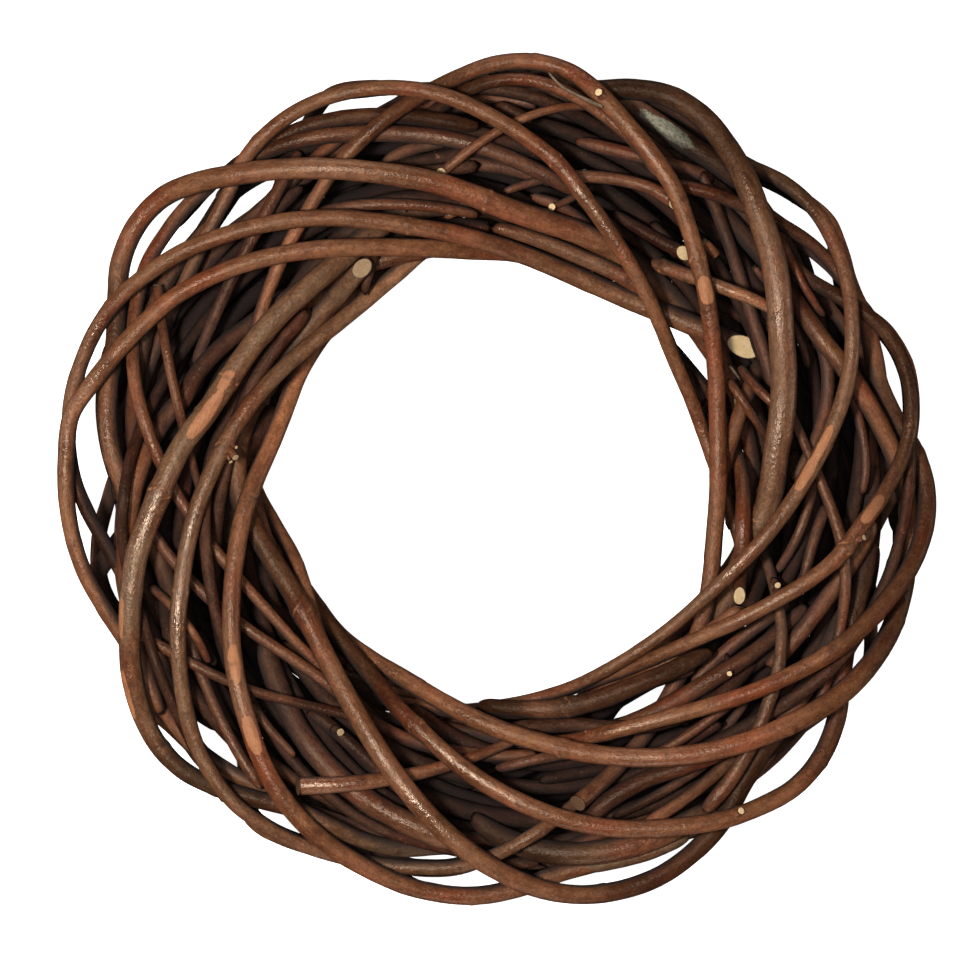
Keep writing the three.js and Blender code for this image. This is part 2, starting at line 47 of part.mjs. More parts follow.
// rods of the second layer and of the core, seen between the outer ones
const INNER_RODS = [
  { name: 'inner_rod_01', cuts: [0, 0], route: [[-111.17, 121.16, 32.73, 3], [-123.25, 111.22, 34.12, 2.97], [-132.86, 99.02, 36.23, 2.94], [-140.64, 85.57, 38.83, 2.9], [-144.36, 70.44, 42.53, 2.87], [-145.54, 54.79, 46.82, 2.84], [-144.43, 39.18, 51.42, 2.81], [-140.68, 24.05, 54.81, 2.76], [-135.34, 9.44, 53.51, 2.66], [-128.65, -4.57, 49.66, 2.57], [-120.32, -17.86, 48.69, 2.49], [-110.89, -30.42, 48.76, 2.41], [-100.72, -42.36, 47.71, 2.33], [-90.36, -54.09, 46.74, 2.26], [-79.85, -65.71, 45.33, 2.18], [-68.78, -76.81, 43.12, 2.09], [-57.92, -88.17, 40.33, 2]] },
  { name: 'inner_rod_02', cuts: [0.6, 0.3], route: [[-135.73, 77.81, 44.87, 2], [-133.73, 62.32, 51.59, 2], [-130.93, 47.07, 55.11, 2], [-127.67, 32, 55.78, 2], [-124.25, 17.16, 52.23, 1.92], [-120.65, 2.41, 47.32, 1.81], [-116.42, -12.08, 41.77, 1.7], [-110.94, -26.23, 37.58, 1.6]] },
  { name: 'inner_rod_03', cuts: [0.3, 0.3], route: [[-117.35, 42.05, 35.17, 3.6], [-128.77, 29.89, 40.22, 3.7], [-137.78, 16.4, 45.67, 3.79], [-143.54, 1.47, 51.62, 3.88], [-147.12, -14.25, 52.04, 3.99], [-148.26, -30.58, 46.58, 3.92], [-147.21, -47.05, 42.97, 3.83], [-144.45, -63.24, 40.25, 3.75], [-140.52, -79.08, 40.22, 3.68], [-134.87, -94.34, 40.61, 3.6]] },
  { name: 'inner_rod_04', cuts: [0, 0], route: [[-71.04, 82.28, 36.64, 3.2], [-84.63, 72.61, 38.82, 3.33], [-97.99, 62.96, 40.48, 3.47], [-110.59, 52.91, 43.24, 3.6], [-120.92, 40.88, 45.89, 3.6], [-127.36, 26.32, 48.41, 3.6]] },
  { name: 'inner_rod_05', cuts: [0, 0], route: [[-79.01, 132.18, 41.49, 2.6], [-86.16, 118.09, 47.48, 2.6], [-93.76, 103.8, 49.48, 2.6], [-101.37, 89.49, 49.41, 2.58], [-108.4, 74.91, 47.53, 2.46], [-115.14, 60.29, 43.97, 2.33], [-121.61, 45.57, 39.19, 2.2]] },
  { name: 'inner_rod_06', cuts: [0.5, 0.3], route: [[-140.81, -15.33, 49.37, 2.4], [-132.85, -28.02, 48.31, 2.4], [-123.19, -39.61, 47.7, 2.4], [-112.05, -50.28, 47.64, 2.4], [-99.68, -59.71, 48.15, 2.4], [-86.79, -68.43, 48.19, 2.4], [-73.96, -77.18, 47.19, 2.4], [-61.68, -86.73, 45.71, 2.4], [-50, -97.08, 42.98, 2.4]] },
  { name: 'inner_rod_07', cuts: [0, 0], route: [[-150.26, -56.53, 47.16, 2.4], [-137.38, -64.79, 48.54, 2.27], [-123.95, -72.35, 51.26, 2.16], [-110.02, -79.25, 52.49, 2.05], [-95.55, -84.94, 51.93, 2], [-80.6, -89.03, 50.58, 2], [-65.58, -92.69, 49.2, 2], [-50.66, -96.78, 48.03, 2]] },
  { name: 'inner_rod_08', cuts: [0.6, 0.3], route: [[-124.37, -58.3, 48.19, 2.2], [-120.23, -72.35, 46.64, 2.2], [-114.91, -85.88, 48.07, 2.2], [-108.67, -99.03, 50.35, 2.24], [-101.61, -111.74, 50.86, 2.32], [-93.71, -123.92, 50.29, 2.4]] },
  { name: 'inner_rod_09', cuts: [0, 0], route: [[-94.17, -64.24, 40.93, 4.4], [-89.28, -79.04, 41.06, 4.51], [-83.21, -93.25, 41.33, 4.62], [-75.18, -106.33, 42.24, 4.72], [-65.02, -117.83, 43.91, 4.8], [-53.09, -127.41, 46.77, 4.8], [-39.9, -135.09, 49.68, 4.8], [-26.16, -141.17, 50.33, 4.8], [-12.09, -145.66, 49.03, 4.8]] },
  { name: 'inner_rod_10', cuts: [0, 0], route: [[-75.32, -92, 44.33, 2.8], [-63.45, -101.54, 45.92, 2.8], [-52.13, -111.84, 46.31, 2.77], [-40.74, -122.08, 45.38, 2.58], [-28.91, -131.7, 43.06, 2.4]] },
  { name: 'inner_rod_11', cuts: [0, 0], route: [[-108.44, 113.79, 31.89, 2.8], [-99.48, 127.61, 35.29, 2.93], [-86.74, 136.97, 39.8, 3.07], [-71.74, 142.56, 43.63, 3.19], [-55.74, 145.17, 47.05, 3.2], [-39.29, 145.24, 47.75, 3.2], [-22.99, 143.26, 50.31, 3.2], [-6.74, 140.07, 50.57, 3.2]] },
  { name: 'inner_rod_12', cuts: [0, 0], route: [[-110.02, 119.19, 38.85, 3], [-97.94, 128.21, 42.52, 3.1], [-84.29, 133.95, 46.44, 3.18], [-69.72, 137.02, 48.56, 3.26], [-54.62, 138.2, 47.77, 3.33], [-39.35, 138.23, 46.88, 3.4], [-24.13, 136.92, 47.29, 3.33], [-9.27, 133.76, 47.67, 3.25], [5.05, 128.57, 47.37, 3.17], [18.87, 122.11, 45.87, 3.09], [32.4, 114.92, 43.08, 3]] },
  { name: 'inner_rod_13', cuts: [0.9, 0.3], route: [[-22.31, 122.38, 52.28, 2], [-9.34, 132.47, 53.82, 1.92], [4.19, 140.99, 53.75, 1.84], [18.91, 146.85, 53.61, 1.76], [34.39, 149.06, 48.69, 1.68], [50.2, 146.37, 44.74, 1.6]] },
  { name: 'inner_rod_14', cuts: [1.2, 0.3], route: [[-53.8, 84.09, 56.57, 4.4], [-65.25, 72.01, 45.33, 4.18], [-76.81, 59.27, 39.69, 3.98], [-87.2, 44.99, 39.62, 3.79], [-96.26, 29.75, 43.11, 3.6]] },
  { name: 'inner_rod_15', cuts: [0, 0], route: [[-30.06, 143.46, 41.56, 2.8], [-16.41, 153.07, 49.51, 2.74], [-1.49, 158.69, 54.54, 2.68], [14.43, 158.82, 55.07, 2.62], [29.62, 153.36, 54.32, 2.6], [43.48, 144.51, 51.77, 2.6], [55.9, 133.63, 51.53, 2.6], [65.9, 120.17, 53.04, 2.6]] },
  { name: 'inner_rod_16', cuts: [0.3, 0.9], route: [[25.97, 121.1, 50.31, 2.6], [37.98, 120.97, 49.73, 2.6], [49.68, 119.51, 50.06, 2.6], [60.95, 116.39, 51.13, 2.66], [71.05, 110.37, 52.76, 2.8]] },
  { name: 'inner_rod_17', cuts: [0, 0], route: [[61.27, 87.4, 42.13, 3], [75.34, 81.97, 48.21, 2.89], [89.36, 76.82, 52.37, 2.78], [103.07, 71.42, 52.84, 2.58], [116.12, 64.83, 49.47, 2.4]] },
  { name: 'inner_rod_18', cuts: [0, 0], route: [[-1.88, 101.55, 48.23, 2.8], [14.97, 96.31, 46.05, 3.01], [31.35, 89.92, 44.43, 3.2], [47.43, 82.9, 42.84, 3.2], [62.42, 74.14, 41.44, 3.2]] },
  { name: 'inner_rod_19', cuts: [0, 0], route: [[43.24, 155.85, 33.97, 4], [58.09, 146.93, 38.97, 4.21], [72.43, 136.89, 42.92, 4.39], [86.92, 126.98, 45.05, 4.2], [100.55, 115.93, 45.58, 4]] },
  { name: 'inner_rod_20', cuts: [0, 0], route: [[65.17, 118.74, 47.28, 2.6], [81.78, 115.23, 51.96, 2.67], [97.78, 109.48, 50.26, 2.74], [113.28, 102.17, 47.88, 2.79], [127.33, 92.81, 45.6, 2.66], [138.34, 80.31, 43.66, 2.53], [144.55, 64.4, 44.82, 2.4]] },
  { name: 'inner_rod_21', cuts: [0, 0], route: [[81.4, 122.7, 47.56, 2.4], [87.38, 108.68, 44.88, 2.55], [92.92, 94.12, 44.15, 2.7], [97.94, 79.21, 42.47, 2.79], [102.64, 64.16, 41.64, 2.72], [107.49, 49.2, 41.56, 2.66], [111.49, 34.04, 39.98, 2.6]] },
  { name: 'inner_rod_22', cuts: [0.3, 1.3], route: [[88.82, 30.06, 19.29, 2.4], [94.62, 15.34, 31.14, 2.71], [98.34, 0.42, 41.49, 3.05], [98.24, -14.68, 52.14, 3.15], [97.67, -30.34, 51.55, 3.07], [96.94, -46.51, 47.18, 3]] },
  { name: 'inner_rod_23', cuts: [0, 0], route: [[122.69, 70.07, 40.61, 2.4], [129.39, 56.02, 42.09, 2.55], [132.51, 41.38, 43.46, 2.71], [131.06, 26.53, 44.11, 2.71], [126.13, 12.29, 43.41, 2.55], [118.44, -1.15, 41.78, 2.4]] },
  { name: 'inner_rod_24', cuts: [0, 0], route: [[115.28, 32.58, 43.06, 1.6], [121.65, 17.37, 47.05, 1.87], [128.04, 2.18, 49.75, 2.13], [134.07, -13.16, 51.25, 2.42], [138.18, -28.99, 51.8, 2.55], [138.97, -45.24, 50.86, 2.4], [136.74, -61.38, 47.92, 2.25], [133.12, -77.47, 45.18, 2.13], [127.79, -93.2, 41.39, 2]] },
  { name: 'inner_rod_25', cuts: [0, 0], route: [[99.94, -13.92, 31.29, 2], [106.68, -28.55, 38.27, 2.15], [111.16, -43.84, 45.12, 2.3], [113.66, -59.75, 49.67, 2.46], [112.32, -75.97, 51.67, 2.62], [107.48, -91.69, 51.91, 2.77], [101.06, -106.78, 52.26, 2.91], [92.73, -120.56, 51.66, 3.05], [82.59, -132.88, 49.52, 3.2]] },
  { name: 'inner_rod_26', cuts: [0, 0], route: [[151.01, -15.97, 47.53, 3.6], [144.43, -28.88, 45.57, 3.6], [136.49, -41.13, 44.44, 3.6], [127.83, -53.11, 45.05, 3.53], [118.71, -64.77, 45.07, 3.36], [108.54, -75.57, 44.08, 3.2]] },
  { name: 'inner_rod_27', cuts: [0, 0], route: [[124.48, -50.18, 38.3, 2.8], [113.11, -60.79, 43.35, 3.08], [100.87, -70.4, 47.05, 3.34], [87.61, -78.81, 48.13, 3.6], [74.22, -87.04, 46.94, 3.6], [60.54, -94.5, 43.65, 3.6], [46.21, -100.57, 38.8, 3.6]] },
  { name: 'inner_rod_28', cuts: [0, 0], route: [[99.13, -84.94, 47.31, 1.8], [88.86, -93.11, 48.65, 1.9], [78.19, -100.82, 48.88, 2], [67.06, -107.84, 47.95, 2], [55.6, -114.24, 45.89, 2]] },
  { name: 'inner_rod_29', cuts: [0, 0], route: [[99.77, -104.96, 46.29, 2.8], [86.6, -110.76, 48.57, 3.1], [72.91, -115.39, 49.77, 3.41], [59.1, -120.01, 49.88, 3.6], [46.47, -127.02, 49.2, 3.6], [35.15, -136.07, 47.72, 3.6]] },
  { name: 'inner_rod_30', cuts: [0, 0], route: [[85.82, -112.83, 43.32, 1.6], [76.29, -118.95, 45.85, 1.82], [66.52, -124.74, 47.31, 1.99], [56.46, -130.1, 47.47, 1.89], [46.01, -134.65, 46.53, 1.8]] },
  { name: 'inner_rod_31', cuts: [0, 0], route: [[-8.5, -90.34, 39.91, 3.2], [6.32, -91.76, 43.97, 3.49], [22.38, -91.89, 46.94, 3.73], [38.74, -88.52, 49.05, 3.99], [54.7, -82.46, 50.51, 3.82], [70.68, -75.88, 50.13, 3.62], [85.97, -67.75, 48.37, 3.4]] },
  { name: 'inner_rod_32', cuts: [0, 0], route: [[-10.88, -135.45, 46.03, 4.4], [2.2, -143.28, 44.35, 4.52], [16.15, -148.2, 44.6, 4.65], [30.82, -149.71, 46.43, 4.77], [45.59, -148.24, 46.7, 4.72], [59.9, -144.65, 45.68, 4.61], [73, -138.87, 43.4, 4.51], [84.83, -130.83, 40.86, 4.4]] },
  { name: 'inner_rod_33', cuts: [0.5, 0.3], route: [[-79.44, -122.3, 53.53, 3.6], [-64.17, -121.72, 54.36, 3.33], [-48.81, -120.23, 52.92, 3.08], [-33.49, -117.67, 50.47, 2.83], [-18.39, -113.9, 48.43, 2.53], [-3.64, -108.87, 45.68, 2.15], [10.66, -102.95, 41.02, 1.78], [24.82, -96.48, 35.52, 1.4]] },
  { name: 'inner_rod_34', cuts: [0.3, 1.3], route: [[46.07, 107.13, 43.14, 2], [53.06, 102.67, 44.87, 2.3], [60.14, 98.3, 46.55, 2.59], [67.33, 94.15, 48.23, 2.69], [74.68, 90.4, 49.93, 2.8]] },
];

// outer rods on the side that lies down
const BACK_RODS = [
  { name: 'back_rod_01', cuts: [0, 0], route: [[-110.9, 28.71, 31.7, 4.4], [-101.11, 40.6, 34.1, 4.38], [-89.42, 51.37, 32.89, 4.3], [-76.17, 61.33, 30.12, 4.2], [-62.38, 71.31, 26.44, 4.13], [-48.66, 81.19, 21.82, 4.04], [-35.34, 90.71, 17.67, 3.95], [-21.65, 98.2, 15.7, 3.87], [-7.53, 103.94, 16.17, 3.81], [6.93, 108.57, 16.17, 3.74], [21.6, 113, 13.99, 3.68], [36.67, 117.39, 10.28, 3.62], [52.5, 121.54, 7.11, 3.56], [69.23, 124.71, 4.65, 3.48], [86.71, 125.77, 3.69, 3.43], [104.31, 123.66, 5.12, 3.38], [119.9, 116.01, 9.79, 3.32], [133.04, 105.6, 17.71, 3.26], [138.26, 93.44, 25.7, 3.21], [141.7, 80.27, 30.26, 3.16], [146.77, 67.27, 31.29, 3.1], [151.5, 54.01, 30.6, 3.03], [154.07, 40.27, 28.35, 2.99], [153.59, 26.25, 24.94, 2.95], [150.55, 11.92, 21.7, 2.9], [147.29, -3.03, 21.31, 2.86], [144.2, -18.32, 23.31, 2.86], [140.37, -33.45, 26.26, 2.8], [135.72, -48.24, 28.56, 2.72], [129.84, -62.4, 30.83, 2.65], [122.65, -75.82, 33.51, 2.6], [114.17, -88.47, 36.4, 2.6], [104.71, -100.51, 38.65, 2.6], [94.31, -111.62, 42.2, 2.6], [82.86, -121.61, 46.09, 2.6], [70.42, -130.62, 48.37, 2.6], [57.14, -138.67, 49.91, 2.6]] },
  { name: 'back_rod_02', cuts: [0, 0], route: [[94.23, 47.2, 34.31, 3.68], [101.84, 32.39, 30.49, 3.83], [106.37, 17.04, 25.95, 3.99], [107.78, 1.32, 21.38, 4.08], [105.51, -14.37, 17.8, 4.06], [99.75, -29.43, 15.45, 4.03], [91.24, -43.3, 13.54, 3.99], [80.73, -55.98, 10.67, 3.95], [69.32, -67.8, 7.1, 3.91], [57.91, -79.49, 4.48, 3.88], [47.05, -91.46, 3.27, 3.78], [37.93, -104.72, 3.27, 3.78], [29.2, -118.15, 3.27, 3.78], [19.91, -130.94, 3.27, 3.78], [9.56, -142.33, 3.27, 3.78], [-2.1, -151.26, 4.98, 3.71], [-15.24, -156.8, 7.91, 3.71], [-30.2, -157.36, 11.93, 3.71], [-47.73, -154.77, 16.64, 3.71], [-66.45, -150.18, 21.58, 3.71], [-84.71, -144.49, 26.53, 3.71], [-97.58, -136.77, 29.7, 3.71], [-101.67, -126.44, 29.78, 3.71], [-101.12, -114.22, 24.43, 3.71], [-105.95, -100.66, 21.78, 3.71], [-114.26, -86.4, 22.39, 3.71], [-124.47, -71.77, 25.17, 3.64], [-134.06, -57.09, 28.91, 3.53], [-141.17, -42.33, 33.62, 3.44], [-145.88, -27.48, 38.25, 3.35], [-148.82, -12.13, 36.92, 3.27], [-151.41, 3.28, 36.51, 3.2], [-153.19, 18.79, 36.17, 3.12], [-154.31, 34.34, 35.06, 3.05]] },
  { name: 'back_rod_03', cuts: [0, 0], route: [[97.76, -50.55, 51.81, 2.6], [84.73, -60.64, 47.7, 2.6], [71.61, -70.53, 42.84, 2.6], [57.75, -79.34, 38.29, 2.6], [42.59, -86.37, 36.24, 2.6], [26.59, -91.38, 34.24, 2.6], [10.01, -93.82, 31.74, 2.6], [-6.73, -93.6, 28.03, 2.6], [-23.23, -90.93, 22.97, 2.6], [-39.41, -86.96, 17.09, 2.6], [-55.42, -82.23, 13.47, 2.64], [-70.94, -76.69, 11.23, 2.73], [-85.82, -70.34, 10.01, 2.81], [-99.83, -62.82, 9.1, 2.89], [-112.71, -53.91, 7.97, 2.97], [-124.25, -43.49, 6.41, 3.03], [-134.21, -31.52, 4.62, 3.01], [-142.31, -18.03, 2.98, 2.99], [-148.91, -3.65, 2.94, 2.97], [-154.74, 10.47, 4.43, 2.96], [-157.47, 24.83, 9.97, 2.94], [-156.47, 39.07, 16.23, 2.92], [-151.55, 52.72, 21.88, 2.9], [-143.16, 65.33, 25.82, 2.87], [-132.49, 76.89, 27.75, 2.85], [-120.96, 88.01, 28.81, 2.85], [-108.79, 98.35, 30.51, 2.81], [-96, 107.78, 32.76, 2.72], [-83.03, 116.98, 34.54, 2.64], [-69.91, 125.79, 37.15, 2.6], [-56.84, 134.45, 39.91, 2.6], [-43.71, 142.92, 41.09, 2.6], [-29.82, 149.87, 39.89, 2.6], [-14.6, 154.45, 39.68, 2.6], [1.38, 157.78, 40.79, 2.6]] },
  { name: 'back_rod_04', cuts: [0, 0], route: [[-86.22, 70.21, 46.98, 3.37], [-72.93, 77.77, 44.01, 3.5], [-58.59, 83.92, 41.95, 3.65], [-43.39, 88.71, 42.19, 3.74], [-27.9, 92.26, 40.1, 3.73], [-12.36, 93.67, 35.03, 3.71], [3.23, 93.51, 29.01, 3.69], [19.07, 92.39, 22.65, 3.67], [34.84, 91.12, 16.6, 3.65], [50.52, 89.27, 11.73, 3.62], [66.11, 87.19, 8.56, 3.6], [81.38, 84.02, 6.89, 3.59], [96.18, 79.46, 6.06, 3.56], [110.34, 73.25, 5.5, 3.54], [123.65, 65.25, 4.93, 3.52], [135.93, 55.48, 4.39, 3.49], [146.85, 44.07, 4.66, 3.47], [156.23, 31.45, 6.35, 3.45], [163.3, 17.87, 9.95, 3.43], [167.44, 3.62, 15.01, 3.4], [168.08, -11.04, 19.9, 3.36], [165.41, -25.43, 24.26, 3.32], [159.46, -39.35, 26.1, 3.29], [151.56, -52.85, 26.42, 3.25], [142.78, -66.14, 25.55, 3.22], [135.25, -80.2, 24.17, 3.17], [127.21, -93.53, 23.18, 3.13], [117.69, -105.59, 22.76, 3.09], [106.64, -116.19, 23.28, 3.05], [93.88, -124.72, 25.56, 3.01], [80.05, -131.65, 29.07, 2.97], [65.34, -137.12, 31.07, 2.96], [50.08, -141.3, 31.28, 2.93], [34.55, -144.09, 31.93, 2.83], [18.92, -145.26, 33.69, 2.76], [3.28, -145.02, 36.29, 2.68], [-12.16, -143.63, 40.35, 2.62], [-27.53, -141.14, 42.43, 2.6], [-42.71, -137.58, 42.25, 2.6], [-57.41, -132.56, 41.61, 2.6], [-71.41, -125.95, 41.6, 2.6], [-84.49, -117.66, 43.65, 2.6], [-96.69, -107.77, 47.88, 2.6]] },
  { name: 'back_rod_05', cuts: [0, 0], route: [[9.47, -132.11, 24.59, 2.93], [-5.12, -126.92, 21.99, 2.94], [-18.93, -120.21, 22.16, 2.95], [-31.93, -111.94, 24.84, 2.96], [-44.1, -102.29, 27.66, 2.97], [-55.26, -91.33, 28.73, 2.98], [-65.22, -78.95, 26.87, 2.99], [-73.85, -65.3, 23.66, 3], [-81.51, -50.72, 21.84, 3.01], [-88.12, -35.44, 20.31, 3.02], [-93.57, -19.71, 18.13, 3.03], [-98.16, -3.92, 14.48, 3.03], [-101.5, 11.96, 10.25, 3.04], [-103.8, 27.87, 8.16, 3.05], [-105.04, 43.48, 6.74, 3.06], [-104.99, 58.63, 5.84, 3.07], [-103.46, 73.13, 4.97, 3.07], [-100.32, 86.99, 3.99, 3.08], [-95.56, 100.49, 3.35, 3.09], [-89.83, 114.22, 3.68, 3.1], [-84, 128.95, 6.37, 3.07], [-77.17, 143.03, 10.94, 3.01], [-67.86, 155.55, 15.18, 2.94], [-53.78, 158.72, 17.76, 2.87], [-37.62, 157.65, 18.06, 2.81], [-20.71, 153.91, 16.5, 2.74], [-4.47, 149.1, 13.75, 2.67], [10.57, 143.22, 13.33, 2.6], [24.26, 136.21, 14.87, 2.6], [36.74, 127.87, 18.06, 2.6], [48.36, 118.38, 21.67, 2.6], [59.12, 107.6, 24.42, 2.6], [69.15, 95.73, 26.44, 2.6], [78.42, 82.84, 27.69, 2.6]] },
  { name: 'back_rod_06', cuts: [0, 0], route: [[84.63, 64.94, 48.56, 2.81], [90.38, 49.1, 42.91, 2.91], [96.11, 33.28, 37.02, 3.02], [101.06, 17.18, 32.32, 3.15], [103.66, 0.86, 28.19, 3.27], [102.72, -15.21, 25.85, 3.27], [97.38, -30.4, 26.73, 3.29], [87.64, -43.59, 30.05, 3.3], [75.82, -56.12, 33.09, 3.31], [63.63, -68.02, 35.62, 3.32], [50.88, -78.8, 32.15, 3.33], [38.34, -88.83, 27.33, 3.34], [26.12, -98.55, 22.03, 3.36], [13.74, -107.88, 17.28, 3.38], [0.86, -116.47, 13.36, 3.4], [-12.96, -123.72, 10.35, 3.42], [-27.77, -129.21, 8.21, 3.43], [-43.38, -132.69, 7.32, 3.45], [-59.44, -134.03, 8.03, 3.49], [-75.42, -132.64, 10.13, 3.52], [-90.83, -128.37, 11.69, 3.55], [-105.28, -121.32, 12.96, 3.57], [-118.52, -111.84, 16.43, 3.62], [-130.04, -100.39, 20.1, 3.66], [-141.43, -90.05, 19.91, 3.7], [-147.96, -77.85, 16.5, 3.75], [-149.41, -63.82, 14.99, 3.79], [-148, -48.33, 18.01, 3.82], [-145.97, -32.05, 23.5, 3.84], [-144.6, -15.37, 28.69, 3.84], [-144.58, 1.29, 32.76, 3.78], [-145.45, 17.66, 36, 3.66], [-144.98, 33.66, 38.86, 3.56], [-142.96, 49.24, 40.59, 3.47], [-139.08, 64.37, 40.42, 3.39], [-132.73, 78.69, 39.17, 3.31], [-123.35, 91.82, 37.57, 3.23], [-112.44, 104.48, 35.82, 3.15]] },
  { name: 'back_rod_07', cuts: [0, 0], route: [[-90.45, 60.52, 44.68, 2.71], [-77.62, 69.93, 40.43, 2.81], [-64.51, 78.57, 36.17, 2.92], [-51.16, 86.28, 31.79, 3.05], [-37.22, 92, 27.04, 3.07], [-22.51, 95, 23.05, 3.07], [-6.99, 95.24, 20.01, 3.06], [9.01, 93.65, 16.63, 3.05], [25.05, 90.83, 12.29, 3.05], [40.89, 86.89, 7.92, 3.04], [56.5, 82.4, 5.44, 3.03], [71.65, 77, 5, 3.03], [85.93, 70, 5.05, 3.02], [99.15, 61.31, 5.46, 3.02], [111.17, 51.06, 6.12, 3.01], [121.79, 39.48, 6.61, 3.01], [130.89, 26.96, 6.87, 3], [138.29, 13.87, 6.99, 2.99], [143.76, 0.36, 7.28, 2.99], [147.43, -13.52, 8.17, 2.97], [149.72, -28.04, 9.98, 2.93], [150.92, -43.44, 12.83, 2.87], [151.31, -58.89, 15.98, 2.82], [149.97, -74.84, 18.29, 2.78], [141.15, -86.24, 18.97, 2.73], [129.01, -96.14, 17.68, 2.68], [115.48, -105.69, 15.27, 2.63], [101.53, -114.18, 12.8, 2.6], [87.67, -121.22, 13.22, 2.6], [73.76, -126.2, 15.95, 2.6], [59.62, -128.7, 18.79, 2.6], [45.01, -128.74, 21.61, 2.6], [30.14, -126.35, 24.61, 2.6]] },
  { name: 'back_rod_08', cuts: [0, 0], route: [[79.8, -75.34, 43.9, 2.6], [64.85, -80.22, 43.68, 2.62], [50.18, -85.28, 42.94, 2.72], [35.2, -89.24, 41.32, 2.84], [19.94, -92.02, 39.37, 2.88], [4.5, -93.38, 36.74, 2.9], [-10.95, -93.36, 33.16, 2.94], [-26.23, -92.08, 28.17, 2.98], [-41.25, -90.48, 21.83, 3.01], [-56.17, -88.69, 15.82, 3.05], [-71.22, -87.03, 11.59, 3.09], [-86.23, -84.97, 7.8, 3.13], [-101.26, -81.89, 5.56, 3.17], [-116.16, -77.45, 4.58, 3.22], [-130.53, -71.31, 4.91, 3.26], [-143.8, -63.6, 6.17, 3.25], [-154.59, -53.55, 8.02, 3.21], [-160.78, -40.62, 10.1, 3.16], [-161.37, -24.26, 12.64, 3.1], [-157.13, -7.8, 15.21, 3.04], [-152.11, 7.11, 18.11, 2.99], [-146.63, 20.57, 21.13, 2.92], [-141.51, 33.63, 23.29, 2.88], [-136.98, 47.24, 25.16, 2.87], [-131.58, 60.94, 27.27, 2.82], [-124.69, 74.28, 30.23, 2.73], [-116, 86.82, 33.49, 2.66], [-105.64, 98.34, 36.53, 2.6], [-94.13, 108.95, 38.93, 2.6], [-82.73, 119.49, 40.21, 2.6], [-71.43, 129.63, 41.74, 2.6], [-60.01, 138.97, 41.8, 2.6], [-48.37, 147.42, 40.57, 2.6]] },
  { name: 'back_rod_09', cuts: [0, 0], route: [[-103.57, 45.62, 41.72, 3.49], [-93.48, 59.19, 34.75, 3.62], [-83.83, 72.57, 30.5, 3.75], [-74, 85.27, 30.13, 3.9], [-63.19, 96.42, 31.7, 3.97], [-50.84, 104.94, 30.79, 3.97], [-36.71, 109.66, 26.23, 3.97], [-21.43, 111.83, 19.11, 3.97], [-5.54, 112.61, 11.88, 3.97], [10.76, 112.01, 7.33, 3.97], [27.07, 110.47, 5.16, 3.97], [43.07, 108.1, 4.56, 3.97], [58.59, 105.17, 4.11, 3.97], [73.6, 101.87, 3.43, 3.96], [88.07, 97.33, 3.43, 3.96], [102.24, 91.72, 3.43, 3.96], [116.45, 85.23, 3.43, 3.96], [130.78, 77.81, 3.43, 3.96], [144.77, 69.5, 7.53, 3.82], [157.35, 59.54, 14.53, 3.73], [164.94, 45.2, 22.39, 3.61], [166.89, 28.9, 28.2, 3.48], [165.21, 13.46, 30.34, 3.35], [161.52, -1.12, 26.78, 3.2], [154.91, -14.17, 23.06, 3.07], [148.33, -27.53, 22.91, 2.95], [143.53, -41.71, 24.46, 2.84], [138.81, -56.13, 26.95, 2.78], [132.81, -70.08, 29.61, 2.77], [124.99, -83.02, 32.39, 2.7], [115.35, -94.8, 33.93, 2.62], [104.11, -105.38, 33.64, 2.6], [91.76, -114.88, 32.69, 2.6], [78.79, -123.57, 32.84, 2.6], [65.38, -131.4, 34.51, 2.6], [51.58, -138.21, 36.72, 2.6], [37.49, -144.1, 38.08, 2.6], [23.14, -149.17, 37.68, 2.6]] },
  { name: 'back_rod_10', cuts: [0, 0], route: [[106.11, 48.23, 34.41, 2.95], [100.53, 34.78, 42.2, 3.06], [95.3, 20.27, 44.35, 3.17], [90.83, 4.63, 40.87, 3.31], [88.22, -12.24, 35.2, 3.36], [86.92, -28.89, 25.89, 3.39], [85.63, -45.07, 21.95, 3.44], [77.35, -56.08, 25.51, 3.5], [64.33, -65.5, 28.01, 3.55], [50.71, -76.43, 25.13, 3.6], [36.96, -87.81, 19.5, 3.65], [23.45, -98.71, 13.55, 3.69], [9.9, -107.96, 8.8, 3.75], [-3.94, -115.13, 5.65, 3.82], [-18.43, -120.25, 3.94, 3.86], [-33.72, -123.91, 3.46, 4], [-49.87, -126.38, 3.46, 4], [-66.69, -127.7, 3.46, 4], [-83.57, -127.55, 3.46, 4], [-99.39, -125, 3.46, 4], [-112.95, -118.81, 5.43, 4.12], [-123.18, -107.58, 8.76, 4.09], [-130.63, -92.66, 13.69, 4.06], [-139.07, -77.18, 20.22, 4.03], [-149.28, -63.19, 24.95, 4], [-158.32, -50.87, 24.98, 3.97], [-161.72, -39.1, 22.21, 3.94], [-154.89, -27.96, 16.27, 3.9], [-146.41, -14.23, 13.07, 3.86], [-140.27, 1.32, 16.3, 3.82], [-135.95, 17.62, 20.82, 3.79], [-132.62, 33.93, 24.21, 3.76], [-128.49, 49.63, 25.44, 3.75], [-122.87, 64.51, 25.32, 3.69], [-115.62, 78.52, 25.27, 3.57], [-106.91, 91.67, 25.48, 3.47], [-97.33, 104.15, 25.97, 3.39], [-87.49, 116.05, 27.4, 3.3], [-78.08, 127.56, 29.95, 3.22], [-68.89, 138.24, 30.09, 3.15], [-59.84, 147.88, 30.58, 3.07]] },
